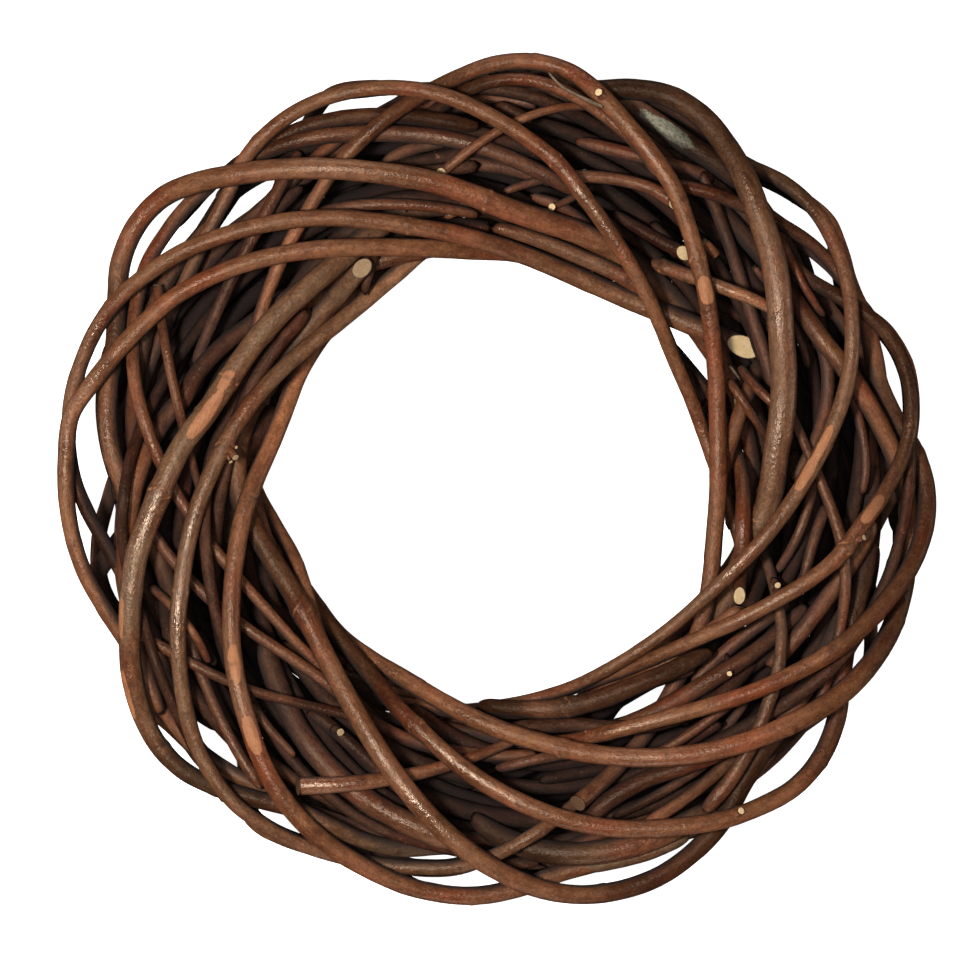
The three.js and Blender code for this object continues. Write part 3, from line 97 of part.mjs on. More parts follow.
  { name: 'back_rod_11', cuts: [0, 0], route: [[17.04, -110.57, 41.23, 2.6], [-1.45, -110.77, 40.61, 2.6], [-18.64, -108.83, 39.63, 2.64], [-34.34, -104.86, 36.97, 2.75], [-48.09, -98.75, 34.98, 2.87], [-59.15, -89.88, 34.86, 2.88], [-66.4, -77.38, 37.24, 2.92], [-71.47, -62.54, 39.84, 2.96], [-76.15, -46.68, 39.64, 2.98], [-81.84, -31.08, 34.22, 3.01], [-90.26, -16.96, 24.9, 3.05], [-97.95, -2.5, 20.9, 3.1], [-100.3, 13.21, 16.65, 3.13], [-99.86, 29.54, 14.03, 3.17], [-97.68, 46.09, 11.37, 3.21], [-94.96, 62.42, 8.67, 3.25], [-91.97, 78.28, 6.13, 3.29], [-88.35, 93.48, 4.12, 3.33], [-83.14, 107.79, 2.85, 3.29], [-76.03, 120.94, 2.85, 3.29], [-66.82, 132.71, 2.85, 3.29], [-55.49, 142.81, 2.85, 3.29], [-42.53, 151.16, 2.85, 3.29], [-28.73, 157.88, 3.72, 3.16], [-14.15, 161.36, 3.92, 3.11], [0.59, 160.98, 4.71, 3.07], [15.05, 157.03, 6.43, 3.02], [28.93, 150.34, 8.91, 2.97], [42.67, 143.07, 14.14, 2.92], [56.14, 135.32, 19.95, 2.88], [69.5, 127.09, 23.7, 2.87], [82.47, 118.19, 25.68, 2.82], [94.97, 108.59, 26.26, 2.73], [106.97, 98.42, 27.07, 2.66], [118.27, 87.63, 29.57, 2.6], [128.63, 76.02, 32.15, 2.6], [137.95, 63.61, 34.09, 2.6], [146.25, 50.46, 34.66, 2.6], [153.38, 36.52, 33.8, 2.6]] },
];

// ---- one rod as a closed tube with flats ----
function rodGeometry(route, cuts) {
  const sx = WREATH_WIDTH / NOMINAL_WIDTH;
  const sz = WREATH_DEPTH / NOMINAL_DEPTH;
  const points = route.map(([x, y, z]) => new THREE.Vector3(x * sx, y * sx, z * sz));
  const radii = route.map(([, , , r]) => r * ROD_THICKNESS);
  const last = points.length - 1;
  radii[0] *= END_TAPER;
  radii[last] *= END_TAPER;
  const up = new THREE.Vector3(0, 0, 1);
  const positions = [];
  const indices = [];

  for (let i = 0; i <= last; i++) {
    const along = points[Math.min(i + 1, last)].clone().sub(points[Math.max(i - 1, 0)]).normalize();
    const side = along.clone().cross(up).normalize();
    const top = side.clone().cross(along);
    const out = i === 0 ? along.clone().negate() : along.clone();
    const cutNormal = out.clone().addScaledVector(up, i === 0 ? cuts[0] : cuts[1]);
    for (let k = 0; k < ROD_SIDES; k++) {
      const a = (2 * Math.PI * k) / ROD_SIDES;
      const spoke = side.clone().multiplyScalar(Math.cos(a) * radii[i])
        .addScaledVector(top, Math.sin(a) * radii[i]);
      if (i === 0 || i === last) spoke.addScaledVector(out, -spoke.dot(cutNormal) / out.dot(cutNormal));
      const v = points[i].clone().add(spoke);
      positions.push(v.x, v.y, v.z);
    }
  }
  for (let i = 0; i < last; i++) {
    for (let k = 0; k < ROD_SIDES; k++) {
      const a = i * ROD_SIDES + k;
      const b = i * ROD_SIDES + ((k + 1) % ROD_SIDES);
      indices.push(a, b + ROD_SIDES, b, a, a + ROD_SIDES, b + ROD_SIDES);
    }
  }
  for (let k = 1; k < ROD_SIDES - 1; k++) {
    indices.push(0, k, k + 1);
    const e = last * ROD_SIDES;
    indices.push(e, e + k + 1, e + k);
  }
  const geometry = new THREE.BufferGeometry();
  geometry.setAttribute('position', new THREE.Float32BufferAttribute(positions, 3));
  geometry.setIndex(indices);
  return geometry;
}

// ---- the wreath ----
const wreath = new THREE.Group();
wreath.name = 'wicker_wreath';

function layer(name, rods, bark) {
  const group = new THREE.Group();
  group.name = name;
  for (const { name: rodName, cuts, route } of rods) {
    const material = new THREE.MeshStandardMaterial({ ...BARKS[bark], metalness: 0 });
    const rod = new THREE.Mesh(rodGeometry(route, cuts), material);
    rod.name = rodName;
    group.add(rod);
  }
  wreath.add(group);
}

layer('front_layer', FRONT_RODS, 'front');
layer('inner_layer', INNER_RODS, 'inner');
layer('back_layer', BACK_RODS, 'back');

export default wreath;
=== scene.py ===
# A wicker wreath of whole willow rods, lying on a plain pale floor and seen from above.
# Metres, +Z up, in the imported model's frame.
import math
import bpy
import numpy as np
from mathutils import Vector, Matrix


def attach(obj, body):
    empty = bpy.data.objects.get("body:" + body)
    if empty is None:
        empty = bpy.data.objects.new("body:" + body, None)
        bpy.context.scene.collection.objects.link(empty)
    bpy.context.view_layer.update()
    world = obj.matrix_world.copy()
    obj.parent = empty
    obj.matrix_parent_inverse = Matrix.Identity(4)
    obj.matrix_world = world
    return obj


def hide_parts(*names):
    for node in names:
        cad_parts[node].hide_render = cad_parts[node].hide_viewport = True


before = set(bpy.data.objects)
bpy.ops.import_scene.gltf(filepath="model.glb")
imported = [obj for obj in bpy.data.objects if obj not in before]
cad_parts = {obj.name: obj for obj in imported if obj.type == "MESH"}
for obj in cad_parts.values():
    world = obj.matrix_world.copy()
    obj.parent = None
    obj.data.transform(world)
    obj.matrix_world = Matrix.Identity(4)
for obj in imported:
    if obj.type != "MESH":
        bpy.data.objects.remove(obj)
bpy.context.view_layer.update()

MM = 0.001
PX = 0.4                      # millimetres to one pixel of the picture frame
CENTRE_X, CENTRE_Y = -2.791, -4.224  # millimetres: the ring's place under the middle of the 980 px frame


def to_mm(px, py):
    """A place in the 980 x 980 frame as millimetres on the floor plan."""
    return np.array([(px - 490.0) * PX + CENTRE_X, (490.0 - py) * PX + CENTRE_Y])


# ------------------------------------------------------------------ camera and light
scene = bpy.context.scene
scene.view_settings.view_transform = "Standard"
scene.view_settings.look = "None"
scene.view_settings.exposure = 0.0

CAM_HEIGHT = 2.6
REF_Z = 0.046                  # the height at which the frame's scale holds
cam_data = bpy.data.cameras.new("camera")
cam_data.sensor_width = 36.0
cam_data.lens = 36.0 * (CAM_HEIGHT - REF_Z) / (980 * PX * MM)
cam_data.clip_start, cam_data.clip_end = 0.05, 20.0
cam = bpy.data.objects.new("camera", cam_data)
scene.collection.objects.link(cam)
cam.location = (CENTRE_X * MM, CENTRE_Y * MM, CAM_HEIGHT)
cam.rotation_euler = (0.0, 0.0, 0.0)
scene.camera = cam


def area(name, loc, size, watts, colour=(1, 1, 1), target=(0, 0, 0.03)):
    data = bpy.data.lights.new(name, "AREA")
    data.shape = "DISK"
    data.size = size
    data.energy = watts
    data.color = colour
    o = bpy.data.objects.new(name, data)
    scene.collection.objects.link(o)
    o.location = loc
    o.rotation_euler = (Vector(target) - Vector(loc)).to_track_quat("-Z", "Y").to_euler()
    return o


area("key", (-0.5, -0.04, 1.60), 0.24, 29.8, (1.0, 0.965, 0.92))
area("front", (0.10, -0.05, 2.75), 0.70, 13.3, (1.0, 0.98, 0.96))
# four weak low lamps, so that the rim isn't black from the side
for lamp, (x, y) in enumerate(((1.2, 0.0), (0.0, 1.2), (-1.2, 0.0), (0.0, -1.2))):
    area("low_%d" % (lamp + 1), (x, y, 0.24), 0.44, 3.0, (1.0, 0.97, 0.93)).visible_camera = False

world = bpy.data.worlds.new("world")
scene.world = world
world.use_nodes = True
world.node_tree.nodes["Background"].inputs[0].default_value = (0.9, 0.93, 1.0, 1)
world.node_tree.nodes["Background"].inputs[1].default_value = 0.042

# ------------------------------------------------------------------ routes (millimetres)
# name: (layer, slopes of the two cuts, middle line as x, y, z, radius)
RODS = {
    "front_rod_01": ("T", (0.35, 0.3), [32.21, -129.15, 53.7, 3.4, 44.19, -119.16, 45.47, 3.41, 54.98, -108.04, 39.14, 3.42, 64.09, -95.29, 36.36, 3.43, 71.89, -81.49, 36.84, 3.45, 78.46, -67.37, 38.36, 3.46, 83.25, -52.41, 41.8, 3.47, 85.82, -37.08, 43.36, 3.48, 87.12, -21.45, 44.74, 3.49, 88.29, -5.78, 46.71, 3.5, 88.42, 9.94, 48.23, 3.51, 88.13, 25.47, 49.07, 3.52, 87.52, 40.82, 51.2, 3.53, 85.93, 56.13, 53.95, 3.54, 83.75, 71.43, 56.62, 3.55, 80.24, 86.62, 58.33, 3.56, 75.75, 101.62, 59.18, 3.57, 70.1, 116.23, 59.6, 3.57, 61.46, 129.31, 59.35, 3.59, 51.55, 141.5, 58.5, 3.6, 41.16, 153.13, 55.96, 3.56, 29.49, 162.46, 51.32, 3.49, 14.7, 166.87, 48.88, 3.41, -0.89, 166.03, 48.37, 3.33, -15.5, 160.69, 49.89, 3.26, -29.57, 153.46, 52.02, 3.18, -42.6, 144.99, 55.16, 3.09, -54.49, 134.83, 54.15, 3.02, -65.1, 123.47, 51.14, 2.94, -73.84, 110.41, 49.35, 2.87, -81.81, 96.8, 48.24, 2.79, -88.54, 82.58, 47.56, 2.71, -93.99, 68.12, 47.09, 2.64, -98.11, 53.7, 45.9, 2.6]),
    "front_rod_02": ("T", (0, 0), [41.48, -94.94, 14.17, 2.41, 58.12, -85.25, 9.76, 2.49, 73.78, -76.32, 9.58, 2.58, 87.74, -67.24, 13.99, 2.68, 98.02, -57.2, 22.49, 2.8, 101.83, -44.16, 30.36, 2.81, 99.11, -28.64, 33.4, 2.85, 94.02, -13.09, 31.22, 2.89, 89.06, 2.29, 29.16, 2.91, 83.68, 17.47, 29.38, 2.94, 78.15, 32.16, 32.32, 2.98, 71.84, 46.8, 36.92, 3.02, 66.19, 60.43, 42.85, 3.06, 59.93, 73.91, 48.48, 3.1, 52.19, 87.41, 52.43, 3.13, 43.53, 100.59, 55.2, 3.17, 34.15, 113.43, 56.96, 3.21, 24.2, 125.91, 58.06, 3.25, 11.72, 135.88, 58.93, 3.3, -1.9, 144.24, 59.65, 3.26, -16.32, 151.05, 59.76, 3.22, -31.74, 155.1, 58.77, 3.17, -47.38, 156.08, 54.65, 3.14, -63.07, 153.87, 51.31, 3.09, -77.96, 148.08, 50.47, 3.04, -91.1, 138.93, 50.17, 2.99, -101.4, 127.1, 48.44, 2.95, -108.27, 112.82, 45.32, 2.9, -115.79, 98.63, 43.96, 2.85, -122.53, 84.26, 42.3, 2.81, -129.44, 69.87, 39.99, 2.8, -135.75, 55.22, 36.78, 2.75, -141.45, 40.36, 33.48, 2.67, -145.56, 24.99, 30.32, 2.59, -148.59, 9.31, 28.27, 2.53, -150.58, -6.51, 27.67, 2.47, -151.92, -22.16, 27.25, 2.41, -151.55, -37.42, 27.68, 2.35, -149.4, -52.41, 27.37, 2.3]),
    "front_rod_03": ("T", (0, 0), [98.09, 35.01, 15.17, 4.22, 89.58, 48.57, 20.62, 4.38, 80.37, 61.42, 25.15, 4.56, 70.06, 73.12, 29.28, 4.77, 58.75, 83.42, 34.23, 4.79, 46.42, 91.97, 39.93, 4.75, 33.09, 98.54, 45.42, 4.67, 18.48, 103.28, 49.76, 4.63, 3.76, 108.14, 53.32, 4.58, -10.87, 113.76, 55.96, 4.54, -26.02, 118.55, 57.6, 4.49, -41.7, 121.36, 58.66, 4.44, -57.55, 123.12, 59.28, 4.41, -73.49, 123.82, 59.05, 4.39, -89.39, 123.22, 57.62, 4.36, -105.13, 121.32, 54.98, 4.32, -120.08, 118.52, 49.52, 4.28, -133.57, 113.12, 43.36, 4.22, -144.52, 101.97, 39.68, 4.15, -150.9, 87.45, 38.03, 4.1, -152.45, 71.89, 38.19, 4.04, -152.99, 55.78, 39.79, 3.99, -155.25, 39.76, 41.91, 3.95, -155.86, 23.82, 43.52, 3.91, -153.4, 8.38, 44.5, 3.87, -147.46, -6.24, 43.9, 3.84, -140.32, -20.42, 42.6, 3.81, -134.08, -35.14, 43.14, 3.8, -128.24, -50.13, 42.91, 3.74, -122.76, -65.31, 41.08, 3.63, -117.19, -80.38, 39.09, 3.53, -110.65, -94.9, 37.75, 3.44, -102.65, -108.41, 35.5, 3.35, -93.08, -120.7, 30.46, 3.27, -82.29, -132.32, 27.8, 3.19, -70.51, -143.42, 28.36, 3.12, -57.9, -154.13, 30.89, 3.04]),
    "front_rod_04": ("T", (1.8, 0.3), [98.82, 53.29, 38.8, 4.4, 84.46, 59.47, 37.05, 4.29, 69.9, 65.64, 36.04, 4.22, 55.11, 71.36, 35.43, 4.12, 40.49, 77.68, 36.67, 4.05, 26.17, 83.86, 39.26, 3.97, 12.06, 89.45, 43.4, 3.88, -2.43, 94.06, 47.83, 3.8, -17.27, 98.22, 51.63, 3.74, -32.64, 100.69, 54.42, 3.67, -48.14, 102.82, 56.39, 3.61, -63.79, 104.17, 57.6, 3.55, -79.55, 103.49, 58.04, 3.49, -95.13, 100.85, 57.75, 3.42, -110.37, 96.65, 56.68, 3.37, -125.03, 90.85, 54.76, 3.32, -138.48, 82.74, 52.01, 3.26, -150.46, 72.98, 48.35, 3.2, -159.79, 61.11, 44.21, 3.15, -166.57, 47.06, 40.74, 3.1, -170.95, 32.03, 37.96, 3.04, -171.91, 16.27, 36.25, 2.97, -169.72, 0.68, 35.87, 2.94, -163.94, -13.87, 36.39, 2.89, -156.03, -27.66, 36.94, 2.84, -148.41, -41.7, 36.35, 2.81, -141.44, -55.98, 35.21, 2.8, -133.45, -69.59, 34.2, 2.75, -124.4, -82.33, 32.62, 2.67, -114.03, -94.05, 30.87, 2.6, -102.6, -104.93, 29.72, 2.53, -90.96, -115.46, 27.12, 2.47, -78.79, -125.13, 22.98, 2.41, -65.7, -133.42, 18.29, 2.35, -51.7, -140.42, 14.78, 2.3, -36.83, -146.05, 12.91, 2.24, -21.06, -150.1, 12.29, 2.18]),
    "front_rod_05": ("T", (0, 0), [95.96, 58.69, 11.13, 3.42, 80.45, 64.01, 12.1, 3.55, 65.2, 69.43, 14.74, 3.7, 50.29, 75, 18.56, 3.8, 35.56, 80.44, 23.36, 3.79, 21.73, 86.32, 29.11, 3.77, 7.91, 90.79, 35.32, 3.74, -7.39, 91.7, 41.33, 3.72, -22.5, 92.29, 46.9, 3.7, -37.65, 92.52, 51.98, 3.68, -53.3, 92.58, 55.78, 3.66, -69.08, 91.89, 57.99, 3.64, -84.83, 89.67, 58.74, 3.62, -100.35, 85.86, 58.66, 3.59, -115.22, 80.03, 58.09, 3.57, -129.13, 72.22, 57.05, 3.54, -141.13, 61.75, 55.35, 3.52, -152.12, 50.31, 52.53, 3.51, -161.96, 38.24, 48.74, 3.48, -170.32, 25.61, 44.91, 3.45, -172.44, 9.92, 43.01, 3.41, -172.57, -6.12, 41.64, 3.37, -170.33, -22.01, 40.49, 3.34, -165.4, -37.29, 39, 3.3, -157.91, -51.22, 36.95, 3.26, -149.41, -64.82, 34.39, 3.22, -141.71, -79.03, 32.78, 3.18, -133.39, -92.94, 33.32, 3.14, -123.43, -105.44, 34.35, 3.1, -110.89, -115.01, 35.73, 3.06, -96.98, -122.81, 37.16, 3.01, -82.72, -130.01, 34.97, 3, -67.91, -136.14, 33.76, 2.97, -52.76, -141.24, 31.83, 2.88, -37.35, -145.04, 27.98, 2.8, -21.63, -147.45, 24.83, 2.72, -5.72, -148.48, 22.89, 2.66, 10.2, -147.73, 21.53, 2.59, 25.96, -145.25, 20.13, 2.53, 41.44, -141.25, 17.94, 2.46, 56.64, -136.11, 15.14, 2.4, 71.65, -130.33, 11.95, 2.34, 86.69, -124.49, 8.98, 2.28]),
    "front_rod_06": ("T", (0, 0), [34.54, 101.39, 28.66, 4.05, 18.24, 105.8, 27.75, 4.19, 2.24, 108.89, 28.2, 4.34, -13.34, 110.59, 30.81, 4.52, -28.25, 109.65, 35.13, 4.6, -42.02, 104.67, 40.09, 4.6, -53.92, 95.53, 45.63, 4.6, -65.36, 85.4, 50.52, 4.6, -76.67, 75.53, 53.8, 4.6, -87.84, 64.73, 55.57, 4.6, -97.99, 52.74, 56.5, 4.6, -106.93, 39.74, 57.43, 4.6, -115.64, 26.61, 58.58, 4.6, -125.03, 13.97, 59.31, 4.6, -132.01, -0.16, 59.25, 4.6, -138.04, -14.74, 58.97, 4.6, -143.19, -29.56, 59.42, 4.6, -145.56, -45.02, 58.98, 4.52, -146.39, -60.6, 56.29, 4.42, -146.05, -76.08, 51.65, 4.32, -142.73, -91.1, 47.8, 4.18, -136.28, -105.17, 44.66, 4.04, -125.72, -116.4, 43.42, 3.89, -111.7, -123.51, 43.36, 3.71, -96.37, -127.89, 44.74, 3.56, -81.01, -131.86, 47.79, 3.42, -66.7, -138.43, 46.81, 3.29, -52.67, -144.99, 41.18, 3.23, -37.59, -148.29, 35.23, 3.21, -21.77, -147.9, 31.3, 3.13, -6.06, -148.45, 29.17, 3.04, 9.57, -148.47, 27.61, 2.96, 25.09, -147.41, 25.95, 2.89, 40.44, -144.92, 23.18, 2.82, 55.6, -141.04, 19.49, 2.75, 70.5, -135.86, 15.42, 2.69, 85.06, -129.18, 13.48, 2.62, 99.43, -121.25, 14.6, 2.56]),
    "front_rod_07": ("T", (0, 0), [48.43, 97.18, 22.48, 2.99, 32.27, 98.73, 21.38, 3.1, 16.28, 99.93, 22.53, 3.22, 0.5, 99.99, 24.98, 3.37, -14.59, 97.81, 28.08, 3.4, -28.5, 92.62, 31.91, 3.39, -40.11, 82.64, 36.26, 3.38, -52.15, 72.3, 41.22, 3.38, -63.94, 62.3, 46.18, 3.37, -76, 52.56, 49.08, 3.36, -87.52, 42.26, 52.06, 3.35, -97.82, 30.65, 54.8, 3.35, -106.49, 17.63, 56.41, 3.34, -113.45, 3.53, 57.27, 3.34, -119.35, -11.05, 58.01, 3.33, -123.24, -26.31, 58.25, 3.32, -125.67, -41.91, 58.27, 3.32, -127.07, -57.63, 57.83, 3.31, -126.56, -73.39, 56.76, 3.3, -124.57, -88.87, 54.92, 3.29, -120.72, -103.93, 53.11, 3.24, -113.75, -117.8, 51.63, 3.18, -104.08, -130.07, 50.66, 3.12, -91.31, -139.29, 48.02, 3.07, -77.42, -146.32, 45.09, 3.02, -62.37, -151.17, 42.64, 2.96, -46.78, -154.48, 41.42, 2.91, -30.95, -155.57, 42.17, 2.86, -15.13, -154.86, 44.74, 2.81, -0.58, -149.92, 50.18, 2.76, 12.65, -142.7, 53.93, 2.71, 25.5, -134.11, 50.82, 2.65, 37.08, -124.29, 42.82, 2.6]),
    "front_rod_08": ("T", (0, 0), [-32.47, 105.37, 14.93, 3.24, -43.1, 92.92, 13.42, 3.37, -53.46, 80.55, 14.66, 3.52, -62.96, 67.87, 18.62, 3.6, -72.24, 55.61, 24.66, 3.61, -79.86, 42.32, 31.65, 3.63, -85.25, 27.68, 38.46, 3.64, -90.86, 13.21, 44.38, 3.65, -96.73, -0.9, 49.36, 3.66, -101.53, -15.73, 52.99, 3.68, -104.32, -31.38, 55.35, 3.7, -105.72, -47.29, 56.93, 3.71, -105.66, -63.31, 57.95, 3.72, -103.81, -79.25, 58.49, 3.73, -99.76, -94.77, 58.48, 3.75, -94.61, -109.99, 57.9, 3.77, -87.23, -124.17, 56.85, 3.78, -77.32, -136.67, 54.73, 3.8, -65.37, -147.09, 51.45, 3.78, -51.71, -155.44, 48.66, 3.76, -37.22, -162.16, 46.16, 3.74, -21.62, -165.97, 44.19, 3.73, -5.82, -166.57, 42.58, 3.7, 9.67, -163.57, 41.32, 3.68, 24.79, -158.04, 40.39, 3.67, 40.48, -153.75, 39.27, 3.65, 56.19, -149.22, 37.98, 3.63, 71.1, -143.11, 35.78, 3.62, 84.98, -135.29, 33.26, 3.6, 96.62, -124.47, 32.83, 3.6, 106.75, -112.3, 30.34, 3.53, 116.11, -99.14, 28.41, 3.42, 124.5, -85.31, 26.13, 3.33, 132.27, -71.14, 23.25, 3.25, 139.44, -56.75, 20.53, 3.17, 145.81, -42.15, 18.29, 3.1, 150.76, -27.12, 16.64, 3.02, 154.47, -11.77, 15.29, 2.95]),
    "front_rod_09": ("T", (0, 0), [-82.47, 51.84, 19.26, 3.96, -93.11, 37.97, 28.56, 4.12, -100.79, 24.37, 37.55, 4.3, -104.32, 10.19, 42.15, 4.4, -103.46, -4.79, 42.8, 4.38, -97.49, -19.19, 42.71, 4.34, -89.46, -33.09, 43.57, 4.3, -81.04, -46.71, 45.68, 4.26, -73.55, -60.53, 48.38, 4.21, -66.38, -74.58, 51.36, 4.17, -58.84, -88.48, 54.33, 4.14, -50.78, -102.15, 56.92, 4.1, -42.04, -115.48, 58.92, 4.07, -32.13, -128.05, 59.62, 4.04, -21.19, -139.77, 59.37, 4.01, -8.92, -150.04, 57.73, 4, 4.72, -158.25, 54.29, 4, 19.25, -163.95, 49.75, 4, 34.53, -166.14, 45.42, 4, 50.3, -164.24, 43.15, 4, 65.31, -158.67, 42.81, 4, 78.38, -149.39, 44.09, 4, 89.44, -137.66, 45.75, 4, 97.24, -123.56, 45.92, 4, 105.31, -109.73, 45.3, 4, 114.84, -96.88, 42.66, 4, 123.73, -83.55, 39.71, 3.92, 131.8, -69.8, 36.75, 3.81, 138.63, -55.39, 33.89, 3.7, 143.97, -40.29, 31.87, 3.61, 147.93, -24.66, 30.31, 3.52, 151.1, -8.85, 28.55, 3.44, 155.61, 6.21, 24.46, 3.36, 160.87, 20.59, 16.57, 3.28]),
    "front_rod_10": ("T", (0, 0), [-78.99, 75.53, 15.51, 2.92, -86.05, 60.96, 14.72, 3.03, -91.6, 45.81, 16.11, 3.15, -95.49, 30.06, 19.64, 3.28, -98.31, 14.15, 23.31, 3.4, -99.01, -1.85, 28.71, 3.41, -95.54, -17.54, 33.64, 3.42, -89.3, -32.59, 32.41, 3.43, -78.88, -45.72, 30.12, 3.44, -68.2, -58.14, 32.92, 3.45, -57.82, -69.94, 37.52, 3.46, -48.15, -81.13, 43.45, 3.48, -38.74, -92.27, 49.44, 3.49, -27.41, -103.02, 53.71, 3.52, -15.48, -113.54, 56.38, 3.54, -2.18, -122.5, 57.71, 3.55, 12.15, -129.82, 58.1, 3.57, 27.24, -135.41, 57.96, 3.59, 42.99, -138.59, 57.61, 3.64, 59.04, -139.13, 57.18, 3.66, 74.95, -138.12, 56.76, 3.69, 90.54, -135.56, 54.77, 3.72, 105.37, -130.45, 50.03, 3.76, 119.18, -123, 45.65, 3.81, 129.86, -111.04, 42.5, 3.85, 135.87, -96.33, 41.12, 3.9, 137.91, -80.76, 41.06, 3.94, 140.17, -64.72, 41.72, 3.97, 144.35, -48.72, 41.03, 3.99, 148.3, -32.76, 39.14, 4, 150.34, -16.71, 37.5, 3.93, 150.48, -0.78, 35.24, 3.81, 148.93, 15.07, 31.86, 3.71, 146.75, 30.91, 27.46, 3.61, 144.57, 46.86, 22.65, 3.53, 142.11, 62.82, 17.13, 3.44, 139.71, 79.03, 12.58, 3.36, 136.29, 95.56, 11.04, 3.28]),
    "front_rod_11": ("T", (0, 0), [-115.04, 20.52, 9.31, 2.99, -107.53, 5.92, 8.28, 3.1, -99.62, -8.51, 8.87, 3.22, -91.27, -22.67, 11.55, 3.36, -82.75, -36.64, 15.29, 3.41, -73.76, -49.75, 20.06, 3.44, -64.28, -61.93, 25.85, 3.49, -52.32, -71.19, 31.99, 3.55, -38.64, -79.07, 38.17, 3.6, -25.7, -86.84, 44.15, 3.65, -12.17, -94.03, 49.32, 3.7, 2.23, -100.2, 53.41, 3.75, 17.38, -104.8, 55.47, 3.8, 32.84, -108.55, 56.62, 3.87, 48.69, -110.42, 57.39, 3.91, 64.69, -110.66, 58.14, 3.96, 80.6, -109.02, 58.93, 4.01, 96.16, -105.33, 59.84, 4.05, 111.18, -99.83, 59.18, 4.11, 125.61, -93, 55.78, 4.17, 138.67, -84.59, 51.09, 4.18, 149.62, -73.25, 46.31, 4.15, 157.96, -59.76, 41.7, 4.12, 162.83, -44.41, 38.13, 4.09, 164.81, -28.66, 36.15, 4.05, 164.99, -13.03, 36.23, 4.03, 161.93, 2.14, 39.36, 3.99, 156.18, 16.26, 43.23, 3.95, 148.62, 30.15, 46.52, 3.92, 139.79, 43.43, 48.5, 3.88, 130.04, 55.72, 49.2, 3.84, 121.22, 68.59, 47.15, 3.81, 112.38, 81.8, 44.6, 3.8, 102.23, 94.18, 41.4, 3.74, 91.49, 106.13, 38.59, 3.62, 80.19, 117.55, 36.57, 3.52, 68.32, 128.18, 37.89, 3.43, 56.21, 138.39, 40.68, 3.35, 43.41, 147.87, 39.81, 3.27, 30.43, 157.36, 35.63, 3.19, 17.03, 166.96, 31.61, 3.12]),
    "front_rod_12": ("T", (0, 0), [-33.52, -96.53, 29.18, 2.52, -17.12, -100.53, 28.02, 2.62, -1.33, -103.53, 30.38, 2.74, 13.84, -105.42, 35.85, 2.81, 28.37, -104.85, 44.49, 2.88, 42.55, -101.44, 52.33, 3, 57.57, -97.59, 56.3, 3.09, 72.82, -93.47, 58.11, 3.18, 88.17, -89.12, 58.57, 3.27, 103.32, -83.91, 58.58, 3.38, 117.94, -77.34, 58.15, 3.49, 131.97, -69.66, 57.11, 3.59, 144.44, -59.98, 55.01, 3.7, 155.29, -48.57, 51.26, 3.8, 164.69, -36.11, 46.69, 3.77, 170.7, -21.53, 42.87, 3.75, 172.22, -5.62, 39.78, 3.73, 168.44, 9.57, 38.05, 3.7, 160.3, 23.66, 38.49, 3.68, 153.39, 38.35, 40.85, 3.65, 149.91, 54.25, 39.78, 3.63, 145.4, 69.54, 38.28, 3.61, 137.53, 82.64, 36.8, 3.6, 126.7, 92.94, 32.91, 3.57, 113.75, 102.54, 28.41, 3.45, 100.46, 112.55, 24.7, 3.36, 86.98, 121.79, 21.61, 3.27, 73.05, 129.47, 17.73, 3.19, 58.41, 135.21, 12.98, 3.11, 43, 139.25, 8.92, 3.04, 27.02, 142.32, 7.85, 2.96, 10.73, 144.12, 7.15, 2.88, -5.68, 144.87, 8.53, 2.81, -22.17, 144.7, 11.85, 2.74]),
    "front_rod_13": ("T", (0, 0), [-47.63, -103.62, 18.65, 2.46, -31.76, -100.92, 16.17, 2.55, -16.2, -97.63, 15.85, 2.65, -0.99, -93.71, 18.32, 2.76, 13.79, -89.21, 23.04, 2.81, 28.17, -84.61, 29.02, 2.83, 42.03, -79.69, 35.46, 2.87, 55.67, -74.47, 41.74, 2.9, 69.08, -68.58, 48.21, 2.94, 82.58, -62.4, 53.4, 2.98, 96.47, -56.04, 56.49, 3.01, 110.23, -48.69, 58.26, 3.05, 123.68, -40.62, 58.83, 3.09, 135.79, -30.72, 58.3, 3.14, 145.22, -18.14, 56.76, 3.18, 154.36, -5.45, 54.35, 3.17, 161.49, 8.14, 51.93, 3.12, 165.31, 22.77, 50.22, 3.08, 164.66, 38.18, 49.82, 3.02, 159.33, 52.91, 50.69, 2.97, 149.3, 64.67, 51.46, 2.91, 136, 73.22, 49.16, 2.85, 122.91, 81.64, 44.54, 2.81, 112.25, 92.93, 40.71, 2.8, 101.72, 104.54, 37.27, 2.74, 90.66, 115.61, 33.97, 2.66, 78.45, 125.46, 31.04, 2.59, 65.32, 134.1, 28.48, 2.53, 51.39, 141.5, 27.67, 2.47, 36.85, 147.75, 28.01, 2.41, 21.99, 153.26, 29, 2.35, 6.9, 158.06, 28.69, 2.29, -8.38, 162.31, 26.78, 2.24]),
